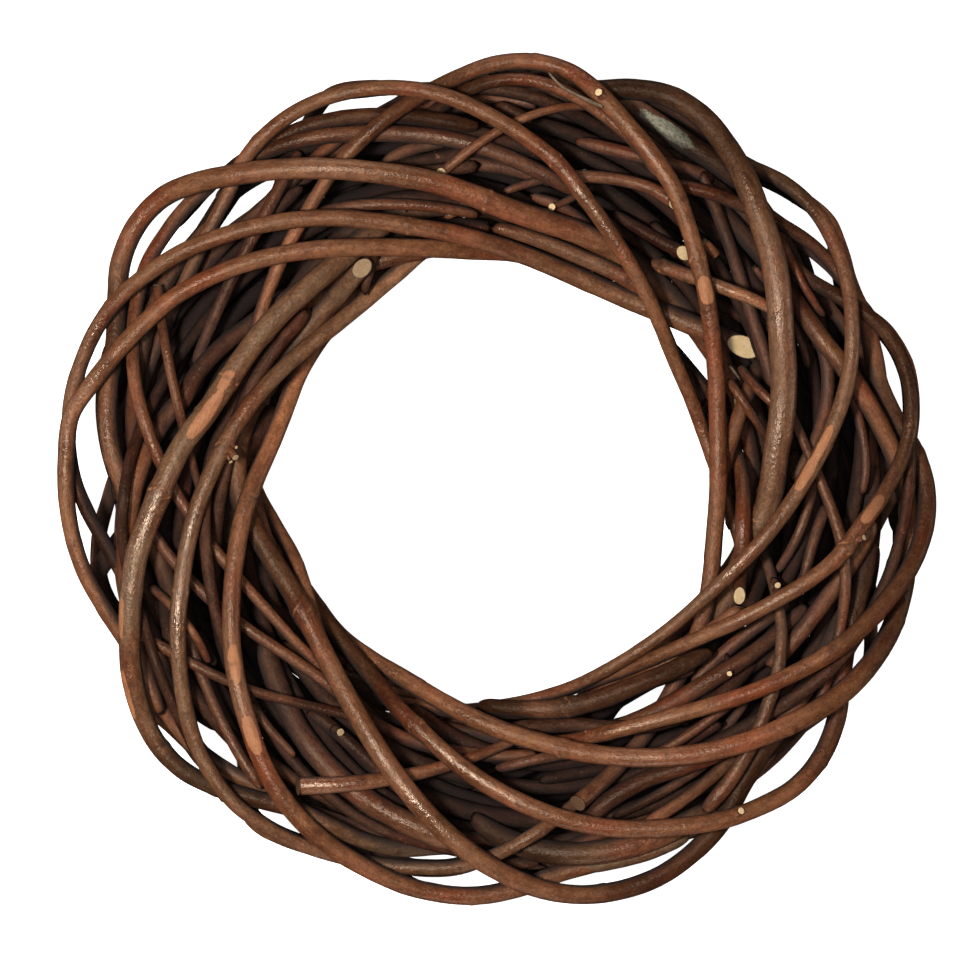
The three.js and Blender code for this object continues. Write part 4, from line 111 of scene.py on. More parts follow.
    "front_rod_14": ("T", (0, 0), [-64.61, -88.4, 7.69, 2.06, -48.67, -91.05, 12.25, 2.14, -32.65, -92.77, 15.87, 2.22, -16.57, -93.21, 19.38, 2.32, -0.6, -91.32, 24.28, 2.4, 15.23, -88.05, 30.22, 2.44, 30.65, -82.98, 36.88, 2.51, 44.9, -75.66, 43.35, 2.59, 58.22, -67.33, 46.89, 2.66, 70.8, -57.99, 49.66, 2.71, 82.47, -47.55, 52.96, 2.79, 93.85, -36.6, 56.99, 2.88, 104.89, -25.18, 58.81, 2.96, 114.8, -12.55, 58.54, 3.05, 123.42, 1.07, 58.25, 3.13, 130.99, 15.35, 58.06, 3.2, 137.15, 30.26, 58.07, 3.17, 140.76, 45.92, 58.02, 3.15, 141.39, 61.94, 57.74, 3.14, 139.8, 77.64, 55.33, 3.12, 135.2, 92.84, 51.65, 3.1, 127.56, 106.89, 47.51, 3.08, 116.25, 117.76, 43.56, 3.05, 102.11, 125.05, 40.2, 3.03, 86.66, 129.68, 37.22, 3.01, 71.46, 135.36, 34.84, 3, 56.01, 140.38, 33.69, 2.96, 40.33, 144.59, 33.49, 2.87, 24.49, 148.08, 32.81, 2.79, 8.55, 150.72, 30.15, 2.72, -7.58, 152.11, 27.64, 2.65, -23.6, 151.6, 23.14, 2.58, -39.44, 149.41, 16.55, 2.52, -55.4, 145.94, 13.1, 2.46, -71.28, 141.19, 12.04, 2.4]),
    "front_rod_15": ("T", (0, 0), [61.07, -75.28, 19.63, 4.47, 74.25, -69.32, 26.88, 4.64, 85.39, -59.32, 32.61, 4.81, 93.54, -46.28, 37.9, 5.01, 99.28, -31.16, 42.49, 5.2, 105.63, -17.4, 46.34, 5.2, 109.45, -4.13, 51.2, 5.2, 111.47, 11.04, 55.1, 5.2, 113.6, 26.67, 57.6, 5.2, 114.19, 42.48, 58.51, 5.2, 113.15, 58.31, 58.8, 5.2, 112.09, 74.14, 58.81, 5.2, 109.3, 89.73, 58.52, 5.2, 104.43, 104.78, 58.54, 5.2, 98.92, 119.42, 56.37, 5.08, 91.34, 132.98, 52.83, 4.87, 81.64, 144.96, 50.45, 4.68, 68.46, 153.16, 48.76, 4.5, 53.18, 155.99, 47.55, 4.33, 37.35, 155.12, 46.12, 4.15, 21.75, 153.62, 40.65, 4.04, 5.95, 152.49, 36.85, 4.01, -9.99, 151.05, 34.43, 3.92, -25.86, 149.49, 31.82, 3.8, -41.54, 146.66, 29.45, 3.7, -56.76, 142.14, 25.91, 3.61, -71.65, 136.87, 21.06, 3.52, -86.07, 130.32, 17.05, 3.44, -100.09, 122.26, 16.89, 3.36, -113.76, 113.02, 19.57, 3.28]),
    "inner_rod_01": ("S", (0, 0), [-111.17, 121.16, 32.73, 3, -123.25, 111.22, 34.12, 2.97, -132.86, 99.02, 36.23, 2.94, -140.64, 85.57, 38.83, 2.9, -144.36, 70.44, 42.53, 2.87, -145.54, 54.79, 46.82, 2.84, -144.43, 39.18, 51.42, 2.81, -140.68, 24.05, 54.81, 2.76, -135.34, 9.44, 53.51, 2.66, -128.65, -4.57, 49.66, 2.57, -120.32, -17.86, 48.69, 2.49, -110.89, -30.42, 48.76, 2.41, -100.72, -42.36, 47.71, 2.33, -90.36, -54.09, 46.74, 2.26, -79.85, -65.71, 45.33, 2.18, -68.78, -76.81, 43.12, 2.09, -57.92, -88.17, 40.33, 2]),
    "inner_rod_02": ("S", (0.6, 0.3), [-135.73, 77.81, 44.87, 2, -133.73, 62.32, 51.59, 2, -130.93, 47.07, 55.11, 2, -127.67, 32, 55.78, 2, -124.25, 17.16, 52.23, 1.92, -120.65, 2.41, 47.32, 1.81, -116.42, -12.08, 41.77, 1.7, -110.94, -26.23, 37.58, 1.6]),
    "inner_rod_03": ("S", (0.3, 0.3), [-117.35, 42.05, 35.17, 3.6, -128.77, 29.89, 40.22, 3.7, -137.78, 16.4, 45.67, 3.79, -143.54, 1.47, 51.62, 3.88, -147.12, -14.25, 52.04, 3.99, -148.26, -30.58, 46.58, 3.92, -147.21, -47.05, 42.97, 3.83, -144.45, -63.24, 40.25, 3.75, -140.52, -79.08, 40.22, 3.68, -134.87, -94.34, 40.61, 3.6]),
    "inner_rod_04": ("S", (0, 0), [-71.04, 82.28, 36.64, 3.2, -84.63, 72.61, 38.82, 3.33, -97.99, 62.96, 40.48, 3.47, -110.59, 52.91, 43.24, 3.6, -120.92, 40.88, 45.89, 3.6, -127.36, 26.32, 48.41, 3.6]),
    "inner_rod_05": ("S", (0, 0), [-79.01, 132.18, 41.49, 2.6, -86.16, 118.09, 47.48, 2.6, -93.76, 103.8, 49.48, 2.6, -101.37, 89.49, 49.41, 2.58, -108.4, 74.91, 47.53, 2.46, -115.14, 60.29, 43.97, 2.33, -121.61, 45.57, 39.19, 2.2]),
    "inner_rod_06": ("S", (0.5, 0.3), [-140.81, -15.33, 49.37, 2.4, -132.85, -28.02, 48.31, 2.4, -123.19, -39.61, 47.7, 2.4, -112.05, -50.28, 47.64, 2.4, -99.68, -59.71, 48.15, 2.4, -86.79, -68.43, 48.19, 2.4, -73.96, -77.18, 47.19, 2.4, -61.68, -86.73, 45.71, 2.4, -50, -97.08, 42.98, 2.4]),
    "inner_rod_07": ("S", (0, 0), [-150.26, -56.53, 47.16, 2.4, -137.38, -64.79, 48.54, 2.27, -123.95, -72.35, 51.26, 2.16, -110.02, -79.25, 52.49, 2.05, -95.55, -84.94, 51.93, 2, -80.6, -89.03, 50.58, 2, -65.58, -92.69, 49.2, 2, -50.66, -96.78, 48.03, 2]),
    "inner_rod_08": ("S", (0.6, 0.3), [-124.37, -58.3, 48.19, 2.2, -120.23, -72.35, 46.64, 2.2, -114.91, -85.88, 48.07, 2.2, -108.67, -99.03, 50.35, 2.24, -101.61, -111.74, 50.86, 2.32, -93.71, -123.92, 50.29, 2.4]),
    "inner_rod_09": ("S", (0, 0), [-94.17, -64.24, 40.93, 4.4, -89.28, -79.04, 41.06, 4.51, -83.21, -93.25, 41.33, 4.62, -75.18, -106.33, 42.24, 4.72, -65.02, -117.83, 43.91, 4.8, -53.09, -127.41, 46.77, 4.8, -39.9, -135.09, 49.68, 4.8, -26.16, -141.17, 50.33, 4.8, -12.09, -145.66, 49.03, 4.8]),
    "inner_rod_10": ("S", (0, 0), [-75.32, -92, 44.33, 2.8, -63.45, -101.54, 45.92, 2.8, -52.13, -111.84, 46.31, 2.77, -40.74, -122.08, 45.38, 2.58, -28.91, -131.7, 43.06, 2.4]),
    "inner_rod_11": ("S", (0, 0), [-108.44, 113.79, 31.89, 2.8, -99.48, 127.61, 35.29, 2.93, -86.74, 136.97, 39.8, 3.07, -71.74, 142.56, 43.63, 3.19, -55.74, 145.17, 47.05, 3.2, -39.29, 145.24, 47.75, 3.2, -22.99, 143.26, 50.31, 3.2, -6.74, 140.07, 50.57, 3.2]),
    "inner_rod_12": ("S", (0, 0), [-110.02, 119.19, 38.85, 3, -97.94, 128.21, 42.52, 3.1, -84.29, 133.95, 46.44, 3.18, -69.72, 137.02, 48.56, 3.26, -54.62, 138.2, 47.77, 3.33, -39.35, 138.23, 46.88, 3.4, -24.13, 136.92, 47.29, 3.33, -9.27, 133.76, 47.67, 3.25, 5.05, 128.57, 47.37, 3.17, 18.87, 122.11, 45.87, 3.09, 32.4, 114.92, 43.08, 3]),
    "inner_rod_13": ("S", (0.9, 0.3), [-22.31, 122.38, 52.28, 2, -9.34, 132.47, 53.82, 1.92, 4.19, 140.99, 53.75, 1.84, 18.91, 146.85, 53.61, 1.76, 34.39, 149.06, 48.69, 1.68, 50.2, 146.37, 44.74, 1.6]),
    "inner_rod_14": ("S", (4, 0.3), [-53.8, 84.09, 56.57, 3.3, -65.25, 72.01, 45.33, 3.9, -76.81, 59.27, 39.69, 3.98, -87.2, 44.99, 39.62, 3.79, -96.26, 29.75, 43.11, 3.6]),
    "inner_rod_15": ("S", (0, 0), [-30.06, 143.46, 41.56, 2.8, -16.41, 153.07, 49.51, 2.74, -1.49, 158.69, 54.54, 2.68, 14.43, 158.82, 55.07, 2.62, 29.62, 153.36, 54.32, 2.6, 43.48, 144.51, 51.77, 2.6, 55.9, 133.63, 51.53, 2.6, 65.9, 120.17, 53.04, 2.6]),
    "inner_rod_16": ("S", (0.3, 0.9), [25.97, 121.1, 50.31, 2.6, 37.98, 120.97, 49.73, 2.6, 49.68, 119.51, 50.06, 2.6, 60.95, 116.39, 51.13, 2.66, 71.05, 110.37, 52.76, 2.8]),
    "inner_rod_17": ("S", (0, 0), [61.27, 87.4, 42.13, 3, 75.34, 81.97, 48.21, 2.89, 89.36, 76.82, 52.37, 2.78, 103.07, 71.42, 52.84, 2.58, 116.12, 64.83, 49.47, 2.4]),
    "inner_rod_18": ("S", (0, 0), [-1.88, 101.55, 48.23, 2.8, 14.97, 96.31, 46.05, 3.01, 31.35, 89.92, 44.43, 3.2, 47.43, 82.9, 42.84, 3.2, 62.42, 74.14, 41.44, 3.2]),
    "inner_rod_19": ("S", (0, 0), [43.24, 155.85, 33.97, 4, 58.09, 146.93, 38.97, 4.21, 72.43, 136.89, 42.92, 4.39, 86.92, 126.98, 45.05, 4.2, 100.55, 115.93, 45.58, 4]),
    "inner_rod_20": ("S", (0, 0), [65.17, 118.74, 47.28, 2.6, 81.78, 115.23, 51.96, 2.67, 97.78, 109.48, 50.26, 2.74, 113.28, 102.17, 47.88, 2.79, 127.33, 92.81, 45.6, 2.66, 138.34, 80.31, 43.66, 2.53, 144.55, 64.4, 44.82, 2.4]),
    "inner_rod_21": ("S", (0, 0), [81.4, 122.7, 47.56, 2.4, 87.38, 108.68, 44.88, 2.55, 92.92, 94.12, 44.15, 2.7, 97.94, 79.21, 42.47, 2.79, 102.64, 64.16, 41.64, 2.72, 107.49, 49.2, 41.56, 2.66, 111.49, 34.04, 39.98, 2.6]),
    "inner_rod_22": ("S", (0.3, 1.3), [88.82, 30.06, 19.29, 2.4, 94.62, 15.34, 31.14, 2.71, 98.34, 0.42, 41.49, 3.05, 98.24, -14.68, 52.14, 3.15, 97.67, -30.34, 51.55, 3.07, 96.94, -46.51, 47.18, 2.3]),
    "inner_rod_23": ("S", (0, 0), [122.69, 70.07, 40.61, 2.4, 129.39, 56.02, 42.09, 2.55, 132.51, 41.38, 43.46, 2.71, 131.06, 26.53, 44.11, 2.71, 126.13, 12.29, 43.41, 2.55, 118.44, -1.15, 41.78, 2.4]),
    "inner_rod_24": ("S", (0, 0), [115.28, 32.58, 43.06, 1.6, 121.65, 17.37, 47.05, 1.87, 128.04, 2.18, 49.75, 2.13, 134.07, -13.16, 51.25, 2.42, 138.18, -28.99, 51.8, 2.55, 138.97, -45.24, 50.86, 2.4, 136.74, -61.38, 47.92, 2.25, 133.12, -77.47, 45.18, 2.13, 127.79, -93.2, 41.39, 2]),
    "inner_rod_25": ("S", (0, 0), [99.94, -13.92, 31.29, 2, 106.68, -28.55, 38.27, 2.15, 111.16, -43.84, 45.12, 2.3, 113.66, -59.75, 49.67, 2.46, 112.32, -75.97, 51.67, 2.62, 107.48, -91.69, 51.91, 2.77, 101.06, -106.78, 52.26, 2.91, 92.73, -120.56, 51.66, 3.05, 82.59, -132.88, 49.52, 3.2]),
    "inner_rod_26": ("S", (0, 0), [151.01, -15.97, 47.53, 3.6, 144.43, -28.88, 45.57, 3.6, 136.49, -41.13, 44.44, 3.6, 127.83, -53.11, 45.05, 3.53, 118.71, -64.77, 45.07, 3.36, 108.54, -75.57, 44.08, 3.2]),
    "inner_rod_27": ("S", (0, 0), [124.48, -50.18, 38.3, 2.8, 113.11, -60.79, 43.35, 3.08, 100.87, -70.4, 47.05, 3.34, 87.61, -78.81, 48.13, 3.6, 74.22, -87.04, 46.94, 3.6, 60.54, -94.5, 43.65, 3.6, 46.21, -100.57, 38.8, 3.6]),
    "inner_rod_28": ("S", (0, 0), [99.13, -84.94, 47.31, 1.8, 88.86, -93.11, 48.65, 1.9, 78.19, -100.82, 48.88, 2, 67.06, -107.84, 47.95, 2, 55.6, -114.24, 45.89, 2]),
    "inner_rod_29": ("S", (0, 0), [99.77, -104.96, 46.29, 2.8, 86.6, -110.76, 48.57, 3.1, 72.91, -115.39, 49.77, 3.41, 59.1, -120.01, 49.88, 3.6, 46.47, -127.02, 49.2, 3.6, 35.15, -136.07, 47.72, 3.6]),
    "inner_rod_30": ("S", (0, 0), [85.82, -112.83, 43.32, 1.6, 76.29, -118.95, 45.85, 1.82, 66.52, -124.74, 47.31, 1.99, 56.46, -130.1, 47.47, 1.89, 46.01, -134.65, 46.53, 1.8]),
    "inner_rod_31": ("S", (0, 0), [-8.5, -90.34, 39.91, 3.2, 6.32, -91.76, 43.97, 3.49, 22.38, -91.89, 46.94, 3.73, 38.74, -88.52, 49.05, 3.99, 54.7, -82.46, 50.51, 3.82, 70.68, -75.88, 50.13, 3.62, 85.97, -67.75, 48.37, 3.4]),
    "inner_rod_32": ("S", (0, 0), [-10.88, -135.45, 46.03, 4.4, 2.2, -143.28, 44.35, 4.52, 16.15, -148.2, 44.6, 4.65, 30.82, -149.71, 46.43, 4.77, 45.59, -148.24, 46.7, 4.72, 59.9, -144.65, 45.68, 4.61, 73, -138.87, 43.4, 4.51, 84.83, -130.83, 40.86, 4.4]),
    "inner_rod_33": ("S", (0.35, 0.3), [-79.44, -122.3, 53.53, 3.6, -64.17, -121.72, 54.36, 3.33, -48.81, -120.23, 52.92, 3.08, -33.49, -117.67, 50.47, 2.83, -18.39, -113.9, 48.43, 2.53, -3.64, -108.87, 45.68, 2.15, 10.66, -102.95, 41.02, 1.78, 24.82, -96.48, 35.52, 1.4]),
    "inner_rod_34": ("S", (0.3, 1.3), [46.07, 107.13, 43.14, 2, 53.06, 102.67, 44.87, 2.3, 60.14, 98.3, 46.55, 2.59, 67.33, 94.15, 48.23, 2.69, 74.68, 90.4, 49.93, 2.8]),
    "side_twig_01": ("L", (0, 0), [97.22, 45.67, 39.69, 2, 100.58, 40.59, 45.63, 2, 104.86, 35.55, 49.36, 2, 109.89, 30.58, 50.95, 1.9, 115.13, 25.68, 49.56, 1.8]),
    "side_twig_02": ("L", (0, 0), [92.43, 40.47, 45.23, 1.8, 96.62, 33.8, 48.53, 1.8, 101.19, 27.05, 48.12, 1.8, 105.92, 20.21, 43.47, 1.71, 111.11, 13.44, 36.35, 1.6]),
    "side_twig_03": ("L", (0, 0), [110.51, 106.8, 38.6, 1.8, 114.27, 95.67, 45.16, 1.8, 118.67, 84.87, 49.37, 1.8, 124.33, 74.58, 48.88, 1.71, 130.89, 64.89, 43.95, 1.6]),
    "side_twig_04": ("L", (0, 0), [117.33, 64.71, 42.97, 1.6, 119.64, 60.03, 45.86, 1.6, 121.69, 54.94, 46.84, 1.6, 123.31, 49.7, 45.84, 1.6, 124.57, 44.58, 42.94, 1.6]),
    "side_twig_05": ("L", (0, 0), [127.26, -0.16, 43.9, 2, 124.54, -10.29, 46.38, 2, 121.26, -20.24, 46.19, 2, 116.83, -29.59, 43.32, 1.91, 111.55, -38.22, 37.82, 1.8]),
    "side_twig_06": ("L", (0, 0), [131.7, -10.2, 44.51, 2.2, 128.5, -18.99, 47.06, 2.2, 125.64, -28, 47.98, 2.2, 123.29, -37.15, 47.22, 2.09, 121.28, -46.26, 44.84, 2]),
    "side_twig_07": ("L", (0, 0), [117.56, -48.44, 41.71, 2.8, 106.91, -56.7, 41.53, 2.8, 96.3, -64.99, 41.07, 2.8, 86.27, -73.75, 39.93, 2.62, 77.43, -83.62, 39.52, 2.4]),
    "side_twig_08": ("L", (0, 0), [101.38, -86.31, 43.94, 2, 96.02, -94.08, 40.53, 2, 90.04, -101.57, 38.11, 2, 83.68, -108.75, 37.35, 1.9, 77.4, -115.77, 38.57, 1.8]),
    "side_twig_09": ("L", (0, 0), [-0.82, -116.42, 42.01, 2.2, 7.48, -113.96, 45.64, 2.2, 16.05, -111.97, 46.63, 2.18, 24.71, -110.6, 44.88, 2.09, 33.33, -109.52, 40.59, 2]),
    "side_twig_10": ("L", (0, 0), [-98.67, -88.12, 50.26, 2, -94.87, -94.24, 49.94, 1.89, -90.33, -100.13, 49.68, 1.79, -85.32, -105.64, 49.48, 1.7, -80.16, -110.81, 49.37, 1.6]),
    "side_twig_11": ("L", (0, 0), [140.59, 37.88, 39.84, 2, 144.03, 27.05, 42.94, 2, 146.63, 16.05, 44.77, 2, 147.51, 4.86, 45.21, 1.9, 146.24, -6.26, 44.27, 1.8]),
    "side_twig_12": ("L", (0, 0), [-16.85, 127.82, 43.25, 2.8, -6.68, 126.26, 42.93, 2.8, 3.58, 124.75, 41.97, 2.8, 13.64, 122.38, 40.31, 2.72, 23.31, 119.36, 38.68, 2.6]),
    "side_twig_13": ("L", (0, 0), [31.15, 135.77, 44.44, 2.8, 45.26, 131.99, 46.37, 2.8, 59.56, 128.57, 46.21, 2.8, 73.81, 124.99, 44.41, 2.7, 87.59, 120.55, 39.48, 2.6]),
    "side_twig_14": ("L", (0, 0), [-16.69, 149.79, 43.23, 2.2, -8.45, 151.64, 43.54, 2.2, 0.01, 152.2, 43.74, 2.19, 8.32, 151.3, 44.4, 2.1, 16.32, 149.54, 44.75, 2]),
    "side_twig_15": ("L", (0, 0), [-46.86, 125.82, 46.09, 2.6, -40.59, 129.73, 44.44, 2.6, -33.57, 132.45, 42.89, 2.6, -26.18, 134.1, 41.62, 2.5, -18.76, 135.15, 41.2, 2.4]),
    "side_twig_16": ("L", (0, 0), [13.18, 113.15, 44.03, 2.4, 21.98, 110.78, 43.83, 2.4, 29.97, 106.7, 41.91, 2.4, 36.79, 101.33, 37.97, 2.31, 42.26, 95.05, 33.51, 2.2]),
    "side_twig_17": ("L", (0, 0), [-139.21, -42.31, 42.72, 1.8, -131.7, -48.79, 49.73, 1.8, -124.77, -56.27, 52.76, 1.78, -119.12, -64.65, 51.51, 1.69, -114.98, -73.86, 46.44, 1.6]),
    "side_twig_18": ("L", (0, 0), [-74.9, 106.02, 43.51, 2.4, -57.84, 109.3, 47.51, 2.4, -40.59, 110.03, 48.82, 2.4, -23.51, 108.74, 47.63, 2.31, -6.77, 105.86, 44.26, 2.2]),
    "back_rod_01": ("B", (0, 0), [-110.9, 28.71, 31.7, 4.4, -101.11, 40.6, 34.1, 4.38, -89.42, 51.37, 32.89, 4.3, -76.17, 61.33, 30.12, 4.2, -62.38, 71.31, 26.44, 4.13, -48.66, 81.19, 21.82, 4.04, -35.34, 90.71, 17.67, 3.95, -21.65, 98.2, 15.7, 3.87, -7.53, 103.94, 16.17, 3.81, 6.93, 108.57, 16.17, 3.74, 21.6, 113, 13.99, 3.68, 36.67, 117.39, 10.28, 3.62, 52.5, 121.54, 7.11, 3.56, 69.23, 124.71, 4.65, 3.48, 86.71, 125.77, 3.69, 3.43, 104.31, 123.66, 5.12, 3.38, 119.9, 116.01, 9.79, 3.32, 133.04, 105.6, 17.71, 3.26, 138.26, 93.44, 25.7, 3.21, 141.7, 80.27, 30.26, 3.16, 146.77, 67.27, 31.29, 3.1, 151.5, 54.01, 30.6, 3.03, 154.07, 40.27, 28.35, 2.99, 153.59, 26.25, 24.94, 2.95, 150.55, 11.92, 21.7, 2.9, 147.29, -3.03, 21.31, 2.86, 144.2, -18.32, 23.31, 2.86, 140.37, -33.45, 26.26, 2.8, 135.72, -48.24, 28.56, 2.72, 129.84, -62.4, 30.83, 2.65, 122.65, -75.82, 33.51, 2.6, 114.17, -88.47, 36.4, 2.6, 104.71, -100.51, 38.65, 2.6, 94.31, -111.62, 42.2, 2.6, 82.86, -121.61, 46.09, 2.6, 70.42, -130.62, 48.37, 2.6, 57.14, -138.67, 49.91, 2.6]),
    "back_rod_02": ("B", (0, 0), [94.23, 47.2, 34.31, 3.68, 101.84, 32.39, 30.49, 3.83, 106.37, 17.04, 25.95, 3.99, 107.78, 1.32, 21.38, 4.08, 105.51, -14.37, 17.8, 4.06, 99.75, -29.43, 15.45, 4.03, 91.24, -43.3, 13.54, 3.99, 80.73, -55.98, 10.67, 3.95, 69.32, -67.8, 7.1, 3.91, 57.91, -79.49, 4.48, 3.88, 47.05, -91.46, 3.27, 3.78, 37.93, -104.72, 3.27, 3.78, 29.2, -118.15, 3.27, 3.78, 19.91, -130.94, 3.27, 3.78, 9.56, -142.33, 3.27, 3.78, -2.1, -151.26, 4.98, 3.71, -15.24, -156.8, 7.91, 3.71, -30.2, -157.36, 11.93, 3.71, -47.73, -154.77, 16.64, 3.71, -66.45, -150.18, 21.58, 3.71, -84.71, -144.49, 26.53, 3.71, -97.58, -136.77, 29.7, 3.71, -101.67, -126.44, 29.78, 3.71, -101.12, -114.22, 24.43, 3.71, -105.95, -100.66, 21.78, 3.71, -114.26, -86.4, 22.39, 3.71, -124.47, -71.77, 25.17, 3.64, -134.06, -57.09, 28.91, 3.53, -141.17, -42.33, 33.62, 3.44, -145.88, -27.48, 38.25, 3.35, -148.82, -12.13, 36.92, 3.27, -151.41, 3.28, 36.51, 3.2, -153.19, 18.79, 36.17, 3.12, -154.31, 34.34, 35.06, 3.05]),
    "back_rod_03": ("B", (0, 0), [97.76, -50.55, 51.81, 2.6, 84.73, -60.64, 47.7, 2.6, 71.61, -70.53, 42.84, 2.6, 57.75, -79.34, 38.29, 2.6, 42.59, -86.37, 36.24, 2.6, 26.59, -91.38, 34.24, 2.6, 10.01, -93.82, 31.74, 2.6, -6.73, -93.6, 28.03, 2.6, -23.23, -90.93, 22.97, 2.6, -39.41, -86.96, 17.09, 2.6, -55.42, -82.23, 13.47, 2.64, -70.94, -76.69, 11.23, 2.73, -85.82, -70.34, 10.01, 2.81, -99.83, -62.82, 9.1, 2.89, -112.71, -53.91, 7.97, 2.97, -124.25, -43.49, 6.41, 3.03, -134.21, -31.52, 4.62, 3.01, -142.31, -18.03, 2.98, 2.99, -148.91, -3.65, 2.94, 2.97, -154.74, 10.47, 4.43, 2.96, -157.47, 24.83, 9.97, 2.94, -156.47, 39.07, 16.23, 2.92, -151.55, 52.72, 21.88, 2.9, -143.16, 65.33, 25.82, 2.87, -132.49, 76.89, 27.75, 2.85, -120.96, 88.01, 28.81, 2.85, -108.79, 98.35, 30.51, 2.81, -96, 107.78, 32.76, 2.72, -83.03, 116.98, 34.54, 2.64, -69.91, 125.79, 37.15, 2.6, -56.84, 134.45, 39.91, 2.6, -43.71, 142.92, 41.09, 2.6, -29.82, 149.87, 39.89, 2.6, -14.6, 154.45, 39.68, 2.6, 1.38, 157.78, 40.79, 2.6]),
    "back_rod_04": ("B", (0, 0), [-86.22, 70.21, 46.98, 3.37, -72.93, 77.77, 44.01, 3.5, -58.59, 83.92, 41.95, 3.65, -43.39, 88.71, 42.19, 3.74, -27.9, 92.26, 40.1, 3.73, -12.36, 93.67, 35.03, 3.71, 3.23, 93.51, 29.01, 3.69, 19.07, 92.39, 22.65, 3.67, 34.84, 91.12, 16.6, 3.65, 50.52, 89.27, 11.73, 3.62, 66.11, 87.19, 8.56, 3.6, 81.38, 84.02, 6.89, 3.59, 96.18, 79.46, 6.06, 3.56, 110.34, 73.25, 5.5, 3.54, 123.65, 65.25, 4.93, 3.52, 135.93, 55.48, 4.39, 3.49, 146.85, 44.07, 4.66, 3.47, 156.23, 31.45, 6.35, 3.45, 163.3, 17.87, 9.95, 3.43, 167.44, 3.62, 15.01, 3.4, 168.08, -11.04, 19.9, 3.36, 165.41, -25.43, 24.26, 3.32, 159.46, -39.35, 26.1, 3.29, 151.56, -52.85, 26.42, 3.25, 142.78, -66.14, 25.55, 3.22, 135.25, -80.2, 24.17, 3.17, 127.21, -93.53, 23.18, 3.13, 117.69, -105.59, 22.76, 3.09, 106.64, -116.19, 23.28, 3.05, 93.88, -124.72, 25.56, 3.01, 80.05, -131.65, 29.07, 2.97, 65.34, -137.12, 31.07, 2.96, 50.08, -141.3, 31.28, 2.93, 34.55, -144.09, 31.93, 2.83, 18.92, -145.26, 33.69, 2.76, 3.28, -145.02, 36.29, 2.68, -12.16, -143.63, 40.35, 2.62, -27.53, -141.14, 42.43, 2.6, -42.71, -137.58, 42.25, 2.6, -57.41, -132.56, 41.61, 2.6, -71.41, -125.95, 41.6, 2.6, -84.49, -117.66, 43.65, 2.6, -96.69, -107.77, 47.88, 2.6]),
    "back_rod_05": ("B", (0, 0), [9.47, -132.11, 24.59, 2.93, -5.12, -126.92, 21.99, 2.94, -18.93, -120.21, 22.16, 2.95, -31.93, -111.94, 24.84, 2.96, -44.1, -102.29, 27.66, 2.97, -55.26, -91.33, 28.73, 2.98, -65.22, -78.95, 26.87, 2.99, -73.85, -65.3, 23.66, 3, -81.51, -50.72, 21.84, 3.01, -88.12, -35.44, 20.31, 3.02, -93.57, -19.71, 18.13, 3.03, -98.16, -3.92, 14.48, 3.03, -101.5, 11.96, 10.25, 3.04, -103.8, 27.87, 8.16, 3.05, -105.04, 43.48, 6.74, 3.06, -104.99, 58.63, 5.84, 3.07, -103.46, 73.13, 4.97, 3.07, -100.32, 86.99, 3.99, 3.08, -95.56, 100.49, 3.35, 3.09, -89.83, 114.22, 3.68, 3.1, -84, 128.95, 6.37, 3.07, -77.17, 143.03, 10.94, 3.01, -67.86, 155.55, 15.18, 2.94, -53.78, 158.72, 17.76, 2.87, -37.62, 157.65, 18.06, 2.81, -20.71, 153.91, 16.5, 2.74, -4.47, 149.1, 13.75, 2.67, 10.57, 143.22, 13.33, 2.6, 24.26, 136.21, 14.87, 2.6, 36.74, 127.87, 18.06, 2.6, 48.36, 118.38, 21.67, 2.6, 59.12, 107.6, 24.42, 2.6, 69.15, 95.73, 26.44, 2.6, 78.42, 82.84, 27.69, 2.6]),
    "back_rod_06": ("B", (0, 0), [84.63, 64.94, 48.56, 2.81, 90.38, 49.1, 42.91, 2.91, 96.11, 33.28, 37.02, 3.02, 101.06, 17.18, 32.32, 3.15, 103.66, 0.86, 28.19, 3.27, 102.72, -15.21, 25.85, 3.27, 97.38, -30.4, 26.73, 3.29, 87.64, -43.59, 30.05, 3.3, 75.82, -56.12, 33.09, 3.31, 63.63, -68.02, 35.62, 3.32, 50.88, -78.8, 32.15, 3.33, 38.34, -88.83, 27.33, 3.34, 26.12, -98.55, 22.03, 3.36, 13.74, -107.88, 17.28, 3.38, 0.86, -116.47, 13.36, 3.4, -12.96, -123.72, 10.35, 3.42, -27.77, -129.21, 8.21, 3.43, -43.38, -132.69, 7.32, 3.45, -59.44, -134.03, 8.03, 3.49, -75.42, -132.64, 10.13, 3.52, -90.83, -128.37, 11.69, 3.55, -105.28, -121.32, 12.96, 3.57, -118.52, -111.84, 16.43, 3.62, -130.04, -100.39, 20.1, 3.66, -141.43, -90.05, 19.91, 3.7, -147.96, -77.85, 16.5, 3.75, -149.41, -63.82, 14.99, 3.79, -148, -48.33, 18.01, 3.82, -145.97, -32.05, 23.5, 3.84, -144.6, -15.37, 28.69, 3.84, -144.58, 1.29, 32.76, 3.78, -145.45, 17.66, 36, 3.66, -144.98, 33.66, 38.86, 3.56, -142.96, 49.24, 40.59, 3.47, -139.08, 64.37, 40.42, 3.39, -132.73, 78.69, 39.17, 3.31, -123.35, 91.82, 37.57, 3.23, -112.44, 104.48, 35.82, 3.15]),
